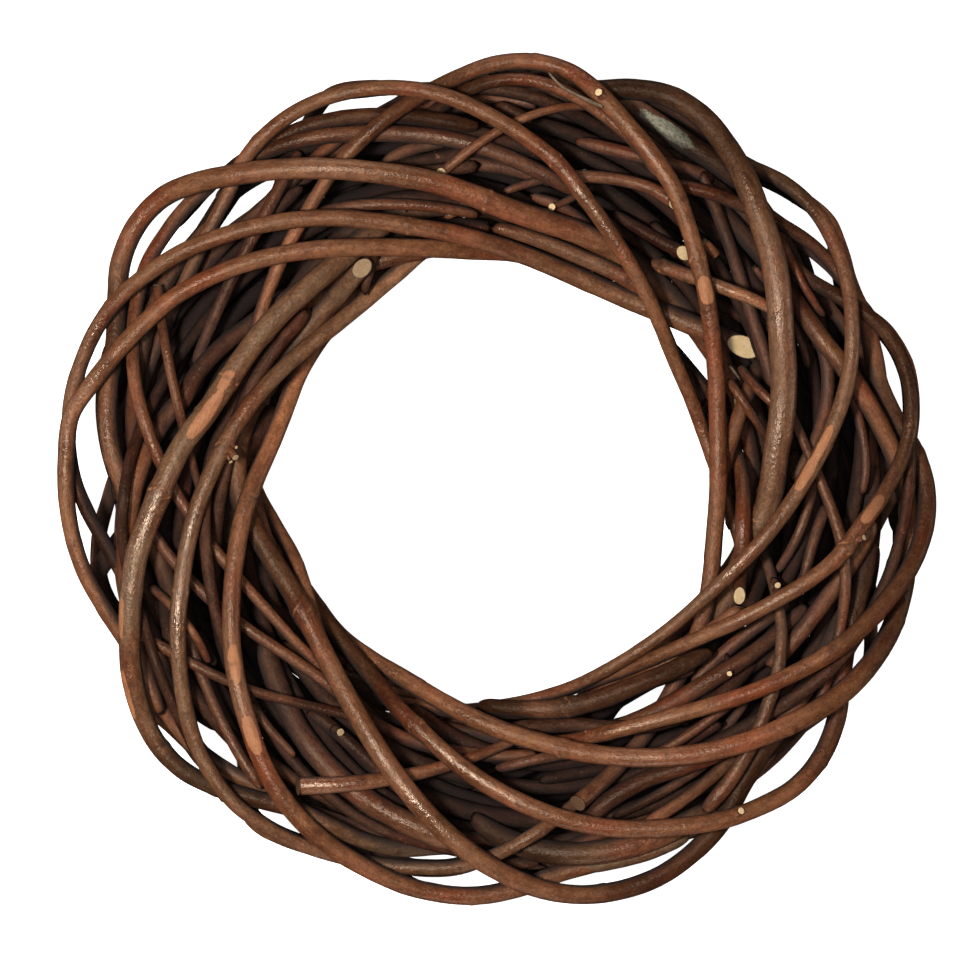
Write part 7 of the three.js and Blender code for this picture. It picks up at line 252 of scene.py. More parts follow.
    "core_twig_77": ("F", (0, 0), [60.76, 108.62, 17, 2.76, 52.41, 110.15, 19.13, 2.67, 44.06, 111.69, 21.25, 2.57, 35.71, 113.22, 23.38, 2.48, 27.35, 114.76, 25.5, 2.39]),
    "core_twig_78": ("F", (0, 0), [-10.11, -111.38, 24.5, 2.76, -18.57, -111.14, 22.38, 2.67, -27.03, -110.89, 20.25, 2.57, -35.49, -110.64, 18.13, 2.48, -43.95, -110.39, 16, 2.39]),
    "core_twig_79": ("F", (0, 0), [41.28, 117.08, 16.75, 2.76, 36.84, 117.92, 16.75, 2.67, 32.41, 118.77, 16.75, 2.57, 27.97, 119.61, 16.75, 2.48, 23.53, 120.46, 16.75, 2.39]),
    "core_twig_80": ("F", (0, 0), [-11.22, 109.19, 23.25, 2.76, -15.47, 107.72, 24.38, 2.67, -19.73, 106.26, 25.5, 2.57, -23.98, 104.79, 26.63, 2.48, -28.23, 103.32, 27.75, 2.39]),
    "core_twig_81": ("F", (0, 0), [123.21, -29.03, 21.5, 2.76, 118.16, -35.81, 21.5, 2.67, 113.11, -42.59, 21.5, 2.57, 108.06, -49.37, 21.5, 2.48, 103.02, -56.14, 21.5, 2.39]),
    "core_twig_82": ("F", (0, 0), [89.96, -96.55, 45.75, 2.76, 82.86, -101.08, 43.63, 2.67, 75.75, -105.6, 41.5, 2.57, 68.64, -110.13, 39.38, 2.48, 61.53, -114.65, 37.25, 2.39]),
    "core_twig_83": ("F", (0, 0), [50, -115.1, 35.75, 2.76, 41.65, -116.39, 37.88, 2.67, 33.29, -117.69, 40, 2.57, 24.94, -118.99, 42.13, 2.48, 16.58, -120.28, 44.25, 2.39]),
    "core_twig_84": ("F", (0, 0), [-154.45, 64.76, 32.5, 2.76, -151.47, 68.1, 31.38, 2.67, -148.48, 71.44, 30.25, 2.57, -145.5, 74.78, 29.13, 2.48, -142.52, 78.12, 28, 2.39]),
    "core_twig_85": ("F", (0, 0), [-112.32, -75.62, 41.5, 2.12, -114.3, -71.6, 40.38, 2.05, -116.29, -67.59, 39.25, 1.98, -118.28, -63.58, 38.13, 1.91, -120.26, -59.57, 37, 1.84]),
    "core_twig_86": ("F", (0, 0), [-113.56, -52.64, 14, 2.76, -118.22, -45.47, 11.88, 2.67, -122.87, -38.3, 9.75, 2.57, -127.53, -31.13, 7.63, 2.48, -132.18, -23.96, 5.5, 2.39]),
    "core_twig_87": ("F", (0, 0), [47.62, -81.81, 7.25, 2.76, 42.28, -88.42, 9.38, 2.67, 36.94, -95.03, 11.5, 2.57, 31.6, -101.65, 13.63, 2.48, 26.26, -108.26, 15.75, 2.39]),
    "core_twig_88": ("F", (0, 0), [-90.42, 105.5, 44, 2.76, -87.24, 108.68, 44, 2.67, -84.05, 111.87, 44, 2.57, -80.87, 115.05, 44, 2.48, -77.69, 118.23, 44, 2.39]),
    "core_twig_89": ("F", (0, 0), [-6.56, 125.43, 48.25, 2.76, -14.86, 124.55, 48.25, 2.67, -23.17, 123.66, 48.25, 2.57, -31.48, 122.78, 48.25, 2.48, -39.79, 121.89, 48.25, 2.39]),
    "core_twig_90": ("F", (0, 0), [14.93, 142.9, 49.75, 2.76, 10.86, 144.83, 49.75, 2.67, 6.79, 146.75, 49.75, 2.57, 2.73, 148.68, 49.75, 2.48, -1.34, 150.61, 49.75, 2.39]),
    "core_twig_91": ("F", (0, 0), [110.36, 58.63, 36.75, 2.76, 102.96, 62.73, 36.75, 2.67, 95.56, 66.83, 36.75, 2.57, 88.17, 70.93, 36.75, 2.48, 80.77, 75.03, 36.75, 2.39]),
    "core_twig_92": ("F", (0, 0), [-96.8, -74.84, 13.25, 2.76, -100.07, -71.77, 12.13, 2.67, -103.35, -68.7, 11, 2.57, -106.63, -65.62, 9.88, 2.48, -109.9, -62.55, 8.75, 2.39]),
    "core_twig_93": ("F", (0, 0), [107.3, 31.11, 25, 2.76, 107.05, 35.61, 26.13, 2.67, 106.81, 40.1, 27.25, 2.57, 106.56, 44.59, 28.38, 2.48, 106.32, 49.08, 29.5, 2.39]),
    "core_twig_94": ("F", (0, 0), [144.81, 25.69, 21.25, 2.76, 141.17, 33.32, 23.38, 2.67, 137.53, 40.94, 25.5, 2.57, 133.88, 48.56, 27.63, 2.48, 130.24, 56.18, 29.75, 2.39]),
    "core_twig_95": ("F", (0, 0), [83.89, 21.93, 25, 2.76, 83.54, 26.41, 23.88, 2.67, 83.18, 30.89, 22.75, 2.57, 82.83, 35.37, 21.63, 2.48, 82.48, 39.85, 20.5, 2.39]),
    "core_twig_96": ("F", (0, 0), [-53.73, 73.86, 49, 2.12, -52.43, 78.17, 49, 2.05, -51.13, 82.47, 49, 1.98, -49.83, 86.78, 49, 1.91, -48.53, 91.09, 49, 1.84]),
    "core_twig_97": ("F", (0, 0), [-50.73, 95.05, 32.75, 2.12, -53.73, 91.69, 31.63, 2.05, -56.72, 88.33, 30.5, 1.98, -59.71, 84.98, 29.38, 1.91, -62.7, 81.62, 28.25, 1.84]),
    "core_twig_98": ("F", (0, 0), [126.32, 83.78, 8.5, 2.76, 124.53, 87.91, 7.38, 2.67, 122.73, 92.05, 6.25, 2.57, 120.94, 96.19, 5.13, 2.48, 119.14, 100.32, 4, 2.39]),
    "core_twig_99": ("F", (0, 0), [52.14, 151.8, 28.75, 1.59, 44.4, 155.13, 28.75, 1.54, 36.67, 158.47, 28.75, 1.48, 28.94, 161.8, 28.75, 1.43, 21.21, 165.13, 28.75, 1.38]),
    "core_twig_100": ("F", (0, 0), [-59.37, 78.25, 18.75, 1.17, -56.77, 81.93, 17.63, 1.13, -54.18, 85.6, 16.5, 1.09, -51.58, 89.28, 15.38, 1.05, -48.99, 92.95, 14.25, 1.01]),
    "core_twig_101": ("F", (0, 0), [107.51, -30.88, 14, 2.12, 102.58, -37.8, 14, 2.05, 97.65, -44.73, 14, 1.98, 92.72, -51.65, 14, 1.91, 87.79, -58.57, 14, 1.84]),
    "core_twig_102": ("F", (0, 0), [84.88, 78.66, 44.5, 2.12, 79.07, 84.84, 44.5, 2.05, 73.25, 91.03, 44.5, 1.98, 67.44, 97.22, 44.5, 1.91, 61.63, 103.41, 44.5, 1.84]),
    "core_twig_103": ("F", (0, 0), [127.24, -33.45, 30, 1.59, 120.08, -37.99, 27.88, 1.54, 112.92, -42.53, 25.75, 1.48, 105.76, -47.06, 23.63, 1.43, 98.6, -51.6, 21.5, 1.38]),
    "core_twig_104": ("F", (0, 0), [94.23, -86.28, 43, 1.59, 93.58, -81.89, 43, 1.54, 92.92, -77.51, 43, 1.48, 92.27, -73.13, 43, 1.43, 91.61, -68.74, 43, 1.38]),
    "core_twig_105": ("F", (0, 0), [83.3, 30.02, 27.25, 2.76, 81.39, 34.07, 26.13, 2.67, 79.48, 38.12, 25, 2.57, 77.57, 42.17, 23.88, 2.48, 75.66, 46.22, 22.75, 2.39]),
    "core_twig_106": ("F", (0, 0), [30.77, 109.72, 19.25, 2.12, 26.31, 110.29, 20.38, 2.05, 21.84, 110.87, 21.5, 1.98, 17.38, 111.44, 22.63, 1.91, 12.92, 112.02, 23.75, 1.84]),
    "core_twig_107": ("F", (0, 0), [-66.21, 73.81, 13.25, 2.12, -59.66, 79.23, 11.13, 2.05, -53.11, 84.64, 9, 1.98, -46.56, 90.06, 6.88, 1.91, -40.01, 95.48, 4.75, 1.84]),
    "core_twig_108": ("F", (0, 0), [-61.89, 80.46, 27, 1.17, -58.71, 83.62, 28.13, 1.13, -55.53, 86.77, 29.25, 1.09, -52.36, 89.92, 30.38, 1.05, -49.18, 93.08, 31.5, 1.01]),
    "core_twig_109": ("F", (0, 0), [170.47, -13.99, 26.64, 2.53, 167.94, 3.61, 23.41, 2.5, 163.66, 18.9, 23.11, 2.48, 156.6, 35.48, 21.72, 2.45]),
    "core_twig_110": ("F", (0, 0), [155.08, 39.24, 22.39, 2.44, 147.47, 60.01, 25.37, 2.41, 138.61, 79.82, 25.66, 2.37]),
    "core_twig_111": ("F", (0, 0), [155.35, 60.31, 21.19, 2.82, 146.95, 70.82, 19.61, 2.79, 138.74, 81.43, 18.35, 2.77]),
    "core_twig_112": ("F", (0, 0), [140.48, -69.03, 32.77, 3.21, 146.2, -58.34, 32.4, 3.18, 152.21, -46.32, 32.15, 3.14]),
    "core_twig_113": ("F", (0, 0), [-145.62, -77.52, 9.85, 3.52, -129.01, -88.95, 7.42, 3.46, -112.68, -100.53, 7.04, 3.4]),
    "core_twig_114": ("F", (0, 0), [68.93, -80.14, 16.82, 2.7, 75.95, -76.92, 15.9, 2.68, 84.45, -73.07, 15.91, 2.65]),
    "core_twig_115": ("F", (0, 0), [-3.74, -154.4, 41.14, 2.55, 7.99, -153.79, 40.31, 2.53, 17.99, -153.29, 39.34, 2.5]),
    "core_twig_116": ("F", (0, 0), [-151.83, -15.63, 32.62, 2.01, -148.9, -34.05, 31.53, 1.98, -146.19, -50.45, 30.62, 1.95, -143.21, -68.82, 29.17, 1.92]),
    "side_twig_19": ("L", (0.9, 0.3), [22, 108.93, 47, 1.5, 25.21, 110.18, 46, 1.55, 29.23, 112.27, 44, 1.6, 34.08, 114.81, 41, 1.65, 39.74, 117.76, 38, 1.7]),
    "side_twig_20": ("L", (0.6, 0.3), [-25.22, 130.73, 43, 0.9, -23.21, 129.08, 44, 1, -21.22, 127.58, 42, 1.1, -18.04, 126.18, 38, 1.2]),
    "side_twig_21": ("L", (0.6, 0.3), [-22.82, 130.79, 42, 0.8, -24.01, 128.68, 44, 0.85, -25.63, 126.78, 42, 0.9]),
    "bark_sliver_22": ("P", (0.3, 0.3), [20.68, 161.69, 59.5, 0.45, 23.86, 158.05, 60.5, 0.51, 27.43, 155.23, 61, 0.57, 31.8, 152.85, 61, 0.63, 36.98, 150.49, 60.5, 0.69, 42.58, 148.2, 59, 0.75]),
    "side_twig_23": ("L", (0.3, 0.3), [31.29, -154.98, 40, 3.3, 41.3, -154.12, 41, 3.17, 57.73, -150.51, 41, 3.05, 68.55, -146.5, 41, 2.92, 77.4, -142.15, 40, 2.8]),
    "side_twig_24": ("L", (0.3, 0.3), [2.41, 114.98, 46, 1.5, 9.21, 117.42, 45, 1.67, 17.23, 119.92, 43, 1.83, 23.67, 121.67, 40, 2]),
    "side_twig_25": ("L", (0.5, 0.3), [-37.6, 107.82, 45, 1.4, -34.8, 111.02, 45, 1.45, -31.62, 115.12, 43, 1.5]),
    "side_twig_26": ("L", (0.3, 0.3), [-21.61, 104.66, 44, 1.5, -16.8, 106.66, 44, 1.55, -10.41, 109.2, 41, 1.6]),
    "side_twig_27": ("L", (0.3, 0.3), [-38.88, 128.89, 40, 1.5, -32.85, 131.64, 41, 1.6, -25.66, 134.21, 38, 1.7]),
    "side_twig_28": ("L", (0.6, 0.3), [82.21, 94.74, 52, 1.9, 84.6, 92.75, 52, 1.95, 87.9, 89.27, 49, 2]),
    "side_twig_29": ("L", (0.3, 0.3), [102.89, 85.45, 44, 1.4, 104.89, 82.64, 44, 1.45, 108.23, 78.74, 41, 1.5]),
    "side_twig_30": ("L", (0.3, 0.3), [120.3, 59.93, 40, 1.1, 121.85, 55.09, 41, 1.2, 124.36, 49.52, 39, 1.3]),
    "bark_sliver_31": ("P", (0.3, 0.3), [92.48, 46.22, 44, 0.8, 94.89, 43.41, 44, 0.65, 97.33, 40.23, 43, 0.5]),
    "bark_sliver_32": ("P", (0.3, 0.3), [95.36, 33.03, 42, 0.5, 95.76, 29.83, 42, 0.6, 96.6, 26.64, 41, 0.7]),
    "bark_sliver_33": ("P", (0.3, 0.3), [-148.9, 33.61, 30, 0.4, -148.84, 27.96, 31, 0.65, -149.3, 21.13, 30, 0.9]),
    "bark_sliver_34": ("P", (0.3, 0.3), [-99.24, -87.41, 34, 0.5, -94.38, -92.2, 35, 0.55, -88.79, -97.06, 34, 0.6]),
    "filler_twig_35": ("F", (0.3, 0.3), [94.79, -6.64, 25.5, 2.1, 94.14, -13.49, 26.5, 2.05, 93.58, -20.35, 25.5, 2]),
    "filler_twig_36": ("F", (0.3, 0.3), [8.49, 161.8, 27, 1.7, 16.54, 163.15, 28, 1.7, 25.42, 163.82, 27, 1.7]),
    "filler_twig_37": ("F", (0.3, 0.3), [98.27, 19.93, 29.25, 1.4, 97.86, 14.7, 29.25, 1.4, 97.06, 8.66, 29.25, 1.4]),
    "filler_twig_38": ("F", (0.3, 0.3), [-52.16, 127.71, 16, 1.6, -47.71, 130.14, 16, 1.6, -42.86, 132.97, 16, 1.6]),
    "filler_twig_39": ("F", (0.3, 0.3), [25.94, 137.42, 16, 1.4, 30.39, 136.21, 16, 1.4, 35.25, 134.59, 16, 1.4]),
    "filler_twig_40": ("F", (0.3, 0.3), [95.51, 8.26, 27.75, 1.1, 94.7, 3.43, 27.75, 1.1, 93.9, -1.81, 27.75, 1.1]),
    "filler_twig_41": ("F", (0.3, 0.3), [133.27, 71.32, 6.75, 1.1, 133.67, 67.26, 6.75, 1.1, 134.49, 62.79, 6.75, 1.1]),
    "filler_twig_42": ("F", (0.3, 0.3), [120.14, 60.48, 18, 1.1, 120.55, 56.43, 18, 1.1, 120.55, 51.99, 18, 1.1]),
    "filler_twig_43": ("F", (0.3, 0.3), [122.13, -43.99, 35.25, 0.9, 122.13, -48.01, 35.25, 0.9, 122.13, -52.43, 35.25, 0.9]),
    "filler_twig_44": ("F", (0.3, 0.3), [36.99, -106.11, 8.25, 1.3, 46.73, -106.92, 8.25, 1.3, 56.88, -107.73, 8.25, 1.3]),
    "filler_twig_45": ("F", (0.3, 0.3), [40.84, -125.84, 20.25, 1.1, 44.08, -125.03, 20.25, 1.1, 48.12, -124.22, 20.25, 1.1]),
    "filler_twig_46": ("F", (0.3, 0.3), [10.84, -155.41, 39.5, 1, 14.85, -155.41, 39.5, 1, 19.27, -155.41, 39.5, 1]),
    "filler_twig_47": ("F", (0.3, 0.3), [137.97, 21.33, 10, 1.3, 141.62, 12.81, 10, 1.3, 145.27, 4.29, 10, 1.3]),
    "filler_twig_48": ("F", (0.3, 0.3), [-141.22, -13.53, 15.5, 1.3, -141.63, -17.18, 15.5, 1.3, -142.03, -20.82, 15.5, 1.3]),
    "filler_twig_49": ("F", (0.3, 0.3), [-138.72, -7.46, 17, 1.2, -139.12, -10.49, 17, 1.2, -139.53, -13.53, 17, 1.2]),
    "filler_twig_50": ("F", (0.3, 0.3), [84.64, 26.4, 27.5, 0.8, 84.84, 23.58, 27.5, 0.8, 85.04, 20.76, 27.5, 0.8]),
    "filler_twig_51": ("F", (0.3, 0.3), [-30.85, -133.68, 41, 1, -28.04, -134.48, 41, 1, -25.23, -135.28, 41, 1]),
    "filler_twig_52": ("F", (0.3, 0.3), [-153.89, 37.04, 17, 1, -153.58, 33.6, 17, 1, -153.28, 30.16, 17, 1]),
    "filler_twig_53": ("F", (0.3, 0.3), [124.82, -60.58, 29.75, 0.9, 124.82, -63.8, 29.75, 0.9, 124.82, -67.02, 29.75, 0.9]),
    "filler_twig_54": ("F", (0.3, 0.3), [-117.07, 22.52, 12.5, 0.9, -117.07, 18.47, 12.5, 0.9, -117.07, 14.42, 12.5, 0.9]),
    "filler_twig_55": ("F", (0.3, 0.3), [-131.81, -16.4, 9.5, 0.9, -131.81, -21.47, 9.5, 0.9, -131.81, -26.54, 9.5, 0.9]),
    "filler_twig_56": ("F", (0.3, 0.3), [-149.83, 66.47, 20.75, 0.9, -149.43, 63.03, 20.75, 0.9, -149.02, 59.6, 20.75, 0.9]),
    "filler_twig_57": ("F", (0.3, 0.3), [-101.03, 80.62, 8, 1, -97.99, 81.84, 8, 1, -94.94, 83.06, 8, 1]),
    "filler_twig_58": ("F", (0.3, 0.3), [103.91, 67.58, 38.75, 1.1, 105.52, 64.97, 38.75, 1.1, 107.12, 62.36, 38.75, 1.1]),
    "filler_twig_59": ("F", (0.3, 0.3), [101.01, 51.29, 31.25, 1.1, 103.02, 48.48, 31.25, 1.1, 105.03, 45.66, 31.25, 1.1]),
    "filler_twig_60": ("F", (0.3, 0.3), [138.39, 61.31, 17, 1, 139.2, 57.87, 17, 1, 140.01, 54.43, 17, 1]),
    "filler_twig_61": ("F", (0.3, 0.3), [125.53, 55.93, 39.5, 1, 127.14, 53.92, 39.5, 1, 128.74, 51.92, 39.5, 1]),
    "filler_twig_62": ("F", (0.3, 0.3), [47.9, 128.79, 10.75, 1.3, 51.95, 126.35, 10.75, 1.3, 56.01, 123.92, 10.75, 1.3]),
    "filler_twig_63": ("F", (0.3, 0.3), [-54.59, 120.42, 16, 1, -50.75, 120.02, 16, 1, -46.9, 119.61, 16, 1]),
    "filler_twig_64": ("F", (0.3, 0.3), [75.24, -144.2, 31.75, 1.2, 78.66, -143.2, 31.75, 1.2, 82.08, -142.19, 31.75, 1.2]),
    "filler_twig_65": ("F", (0.3, 0.3), [-142.01, -12.32, 16, 1.1, -141.2, -16.57, 16, 1.1, -140.39, -20.82, 16, 1.1]),
    "filler_twig_66": ("F", (0.3, 0.3), [-30.85, -133.29, 40.75, 1, -27.84, -134.09, 40.75, 1, -24.84, -134.89, 40.75, 1]),
    "filler_twig_67": ("F", (0.3, 0.3), [8.54, -126.04, 16, 1, 12.18, -127.25, 16, 1, 15.83, -128.47, 16, 1]),
    "filler_twig_68": ("F", (0.3, 0.3), [-6.44, -106.07, 9.25, 1.1, -2.39, -106.88, 9.25, 1.1, 1.67, -107.69, 9.25, 1.1]),
    "filler_twig_69": ("F", (0.3, 0.3), [67.63, -100.54, 16, 1.1, 71.88, -99.94, 16, 1.1, 76.13, -99.33, 16, 1.1]),
    "filler_twig_70": ("F", (0.3, 0.3), [50.97, -116.15, 38.5, 1, 54.38, -115.55, 38.5, 1, 57.79, -114.95, 38.5, 1]),
    "filler_twig_71": ("F", (0.3, 0.3), [49.42, -99.82, 35.5, 0.9, 52.44, -99.41, 35.5, 0.9, 55.45, -99.01, 35.5, 0.9]),
    "filler_twig_72": ("F", (0.3, 0.3), [91.43, -35.36, 18, 0.9, 92.24, -38.39, 18, 0.9, 93.05, -41.43, 18, 0.9]),
}


# ------------------------------------------------------------------ materials
def material(name):
    m = bpy.data.materials.new(name)
    m.use_nodes = True
    nt = m.node_tree
    nt.nodes.clear()
    out = nt.nodes.new("ShaderNodeOutputMaterial")
    bsdf = nt.nodes.new("ShaderNodeBsdfPrincipled")
    nt.links.new(bsdf.outputs[0], out.inputs[0])
    return m, nt, bsdf


class Nodes:
    """Short hands for building a node tree."""

    def __init__(self, nt):
        self.nt = nt

    def new(self, kind, **props):
        n = self.nt.nodes.new(kind)
        for k, v in props.items():
            setattr(n, k, v)
        return n

    def put(self, socket, value):
        if isinstance(value, bpy.types.NodeSocket):
            self.nt.links.new(value, socket)
        elif value is not None:
            socket.default_value = value

    def math(self, op, a, b=None, clamp=False):
        n = self.new("ShaderNodeMath", operation=op, use_clamp=clamp)
        self.put(n.inputs[0], a)
        if b is not None:
            self.put(n.inputs[1], b)
        return n.outputs[0]

    def scale(self, vec, xyz):
        n = self.new("ShaderNodeVectorMath", operation="MULTIPLY")
        self.put(n.inputs[0], vec)
        n.inputs[1].default_value = xyz
        return n.outputs[0]

    def attr(self, name, out="Fac"):
        n = self.new("ShaderNodeAttribute", attribute_type="GEOMETRY", attribute_name=name)
        return n.outputs[out]

    def noise(self, vec, scale, detail=3.0, rough=0.5, distortion=0.0):
        n = self.new("ShaderNodeTexNoise")
        self.put(n.inputs["Vector"], vec)
        n.inputs["Scale"].default_value = scale
        n.inputs["Detail"].default_value = detail
        n.inputs["Roughness"].default_value = rough
        n.inputs["Distortion"].default_value = distortion
        return n.outputs[0]

    def ramp(self, fac, stops):
        n = self.new("ShaderNodeValToRGB")
        self.put(n.inputs[0], fac)
        els = n.color_ramp.elements
        while len(els) < len(stops):
            els.new(0.5)
        for e, (pos, col) in zip(els, stops):
            e.position = pos
            e.color = (*col, 1) if len(col) == 3 else col
        return n.outputs[0]

    def mix(self, fac, a, b, mode="MIX"):
        n = self.new("ShaderNodeMix", data_type="RGBA", blend_type=mode)
        self.put(n.inputs[0], fac)
        self.put(n.inputs[6], a)
        self.put(n.inputs[7], b)
        return n.outputs[2]

    def maprange(self, v, a, b, c=0.0, d=1.0, smooth=False):
        n = self.new("ShaderNodeMapRange", interpolation_type="SMOOTHSTEP" if smooth else "LINEAR")
        self.put(n.inputs[0], v)
        for i, x in zip((1, 2, 3, 4), (a, b, c, d)):
            n.inputs[i].default_value = x
        return n.outputs[0]


def bark_material(name, dark, mid, light, rough, shine, shade_tint=(0.0300, 0.0280, 0.0290)):
    """Willow bark. 'rod' is the point on the rod laid out straight, in mm, so streaks run along the rod.
    'tone' lightens or darkens a rod, 'wear' is where the skin is scraped to tan, 'film' greys it; 'shade' paints shade
    (below 0, light) on stretches, 'pit' paints shade in notches and crevices, and 'inner' paints shade deep in the
    bundle."""
    m, nt, bsdf = material(name)
    k = Nodes(nt)
    rod = k.attr("rod", "Vector")
    tone, wear, film, pit = k.attr("tone"), k.attr("wear"), k.attr("film"), k.attr("pit")
    slow = k.noise(k.scale(rod, (1.0, 1.0, 0.35)), 0.11, 3.0, 0.5)
    mottle = k.noise(k.scale(rod, (1.0, 1.0, 0.45)), 0.42, 4.0, 0.6)
    fleck = k.noise(k.scale(rod, (1.0, 1.0, 0.70)), 1.05, 3.0, 0.6)
    grain = k.noise(k.scale(rod, (1.0, 1.0, 0.75)), 2.4, 3.0, 0.65)
    streak = k.noise(k.scale(rod, (1.0, 1.0, 0.08)), 1.3, 3.0, 0.55)
    t = k.math("ADD", k.math("MULTIPLY", slow, 0.48), k.math("MULTIPLY", mottle, 0.52))
    t = k.math("ADD", t, k.math("MULTIPLY", k.math("SUBTRACT", fleck, 0.5), 0.42))
    t = k.math("ADD", t, k.math("MULTIPLY", k.math("SUBTRACT", grain, 0.5), 0.40))
    t = k.math("ADD", t, k.math("MULTIPLY", k.math("SUBTRACT", streak, 0.5), 0.12))
    t = k.math("ADD", t, k.math("MULTIPLY", k.math("SUBTRACT", tone, 0.5), 0.55))
    col = k.ramp(t, [(0.22, dark), (0.47, mid), (0.70, light), (0.92, tuple(min(1, x * 1.5) for x in light))])
    # redder and duller stretches
    hue = k.noise(k.scale(rod, (1.0, 1.0, 0.5)), 0.045, 2.0, 0.5)
    col = k.mix(k.maprange(hue, 0.50, 0.66, 0.0, 0.66, True), col, k.mix(1.0, col, (1.14, 0.70, 0.60, 1), "MULTIPLY"))
    col = k.mix(k.maprange(hue, 0.50, 0.36, 0.0, 0.6, True), col, k.mix(1.0, col, (0.92, 1.06, 1.04, 1), "MULTIPLY"))
    # grey-brown film on some rods
    grey = k.ramp(k.math("ADD", k.math("MULTIPLY", mottle, 0.5), k.math("MULTIPLY", fleck, 0.5)),
                  [(0.30, (0.040, 0.026, 0.014)), (0.50, (0.085, 0.058, 0.032)), (0.72, (0.165, 0.118, 0.070))])
    cover = k.math("MULTIPLY", film, k.maprange(slow, 0.36, 0.58, 0.45, 1.0), clamp=True)
    col = k.mix(cover, col, grey)
    # lenticels: small pale flecks, a little wider than long
    cells = k.new("ShaderNodeTexVoronoi", feature="F1")
    k.put(cells.inputs["Vector"], k.scale(rod, (1.0, 1.0, 1.4)))
    cells.inputs["Scale"].default_value = 0.46
    cells.inputs["Randomness"].default_value = 1.0
    dots = k.maprange(cells.outputs[0], 0.08, 0.17, 1.0, 0.0, True)
    dots = k.math("MULTIPLY", dots, k.maprange(mottle, 0.46, 0.56, 0.0, 1.0, True))
    col = k.mix(k.math("MULTIPLY", dots, 0.42), col, (0.36, 0.23, 0.15, 1))
    # scraped places
    ragged = k.math("ADD", k.math("MULTIPLY", mottle, 0.5), k.math("MULTIPLY", fleck, 0.5))
    edge = k.math("ADD", wear, k.math("MULTIPLY", k.math("SUBTRACT", ragged, 0.5), 0.8))
    scar = k.maprange(edge, 0.40, 0.72, 0.0, 1.0, True)
    tan = k.ramp(k.math("ADD", k.math("MULTIPLY", mottle, 0.5), k.math("MULTIPLY", grain, 0.5)),
                 [(0.32, (0.250, 0.094, 0.040)), (0.66, (0.430, 0.180, 0.082))])
    col = k.mix(k.math("MULTIPLY", scar, 0.90), col, tan)
    # pale grey-green crust
    crust = k.math("ADD", k.attr("crust"), k.math("MULTIPLY", k.math("SUBTRACT", ragged, 0.5), 1.2))
    col = k.mix(k.maprange(crust, 0.40, 0.85, 0.0, 0.92, True), col,
                k.ramp(fleck, [(0.30, (0.110, 0.105, 0.070)), (0.62, (0.370, 0.370, 0.275))]))
    # painted shade (below 0, painted light) on the given stretches
    col = k.mix(1.0, col, k.math("POWER", 0.30, k.attr("shade")), "MULTIPLY")
    # painted shade: near-black in the bud-scar notches and the crevices round the knots
    col = k.mix(k.math("MULTIPLY", pit, 0.80, True), col, (0.010, 0.006, 0.005, 1))
    # painted shade: bark shut in deep in the bundle goes towards a dark grey shade tint
    deep = k.math("MULTIPLY", k.attr("inner"), 1.0, True)
    shaded = k.mix(0.5, k.mix(1.0, col, (0.30, 0.27, 0.28, 1), "MULTIPLY"), (*shade_tint, 1))
    col = k.mix(deep, col, shaded)
    k.put(bsdf.inputs["Base Color"], col)
    r = k.math("ADD", rough - 0.08, k.math("MULTIPLY", grain, 0.16))
    r = k.math("ADD", r, k.math("MULTIPLY", k.math("SUBTRACT", slow, 0.5), 0.75))
    r = k.math("ADD", r, k.math("MULTIPLY", scar, 0.14))
    r = k.math("SUBTRACT", r, k.math("MULTIPLY", k.attr("gloss"), 0.09))
    r = k.math("ADD", r, k.math("MULTIPLY", deep, 0.50), clamp=True)
    k.put(bsdf.inputs["Roughness"], r)
    # the specular level drops where shade is painted
    level = k.math("MULTIPLY", shine, k.math("POWER", 0.30, k.math("MAXIMUM", k.attr("shade"), 0.0)))
    k.put(bsdf.inputs["Specular IOR Level"], k.math("MULTIPLY", level, k.math("ADD", 1.0, k.math("MULTIPLY", k.attr("gloss"), 1.6))))
    bsdf.inputs["Specular Tint"].default_value = (1.0, 0.80, 0.62, 1)
    bead = k.noise(k.scale(rod, (1.0, 1.0, 0.72)), 0.95, 2.0, 0.55)
    h = k.math("ADD", k.math("MULTIPLY", bead, 1.00), k.math("MULTIPLY", grain, 0.16))
    h = k.math("ADD", h, k.math("MULTIPLY", streak, 0.25))
    h = k.math("ADD", h, k.math("MULTIPLY", dots, 0.25))
    b = k.new("ShaderNodeBump")
    b.inputs["Strength"].default_value = 0.85
    b.inputs["Distance"].default_value = 0.0004
    k.put(b.inputs["Height"], h)
    k.put(bsdf.inputs["Normal"], b.outputs[0])
    return m


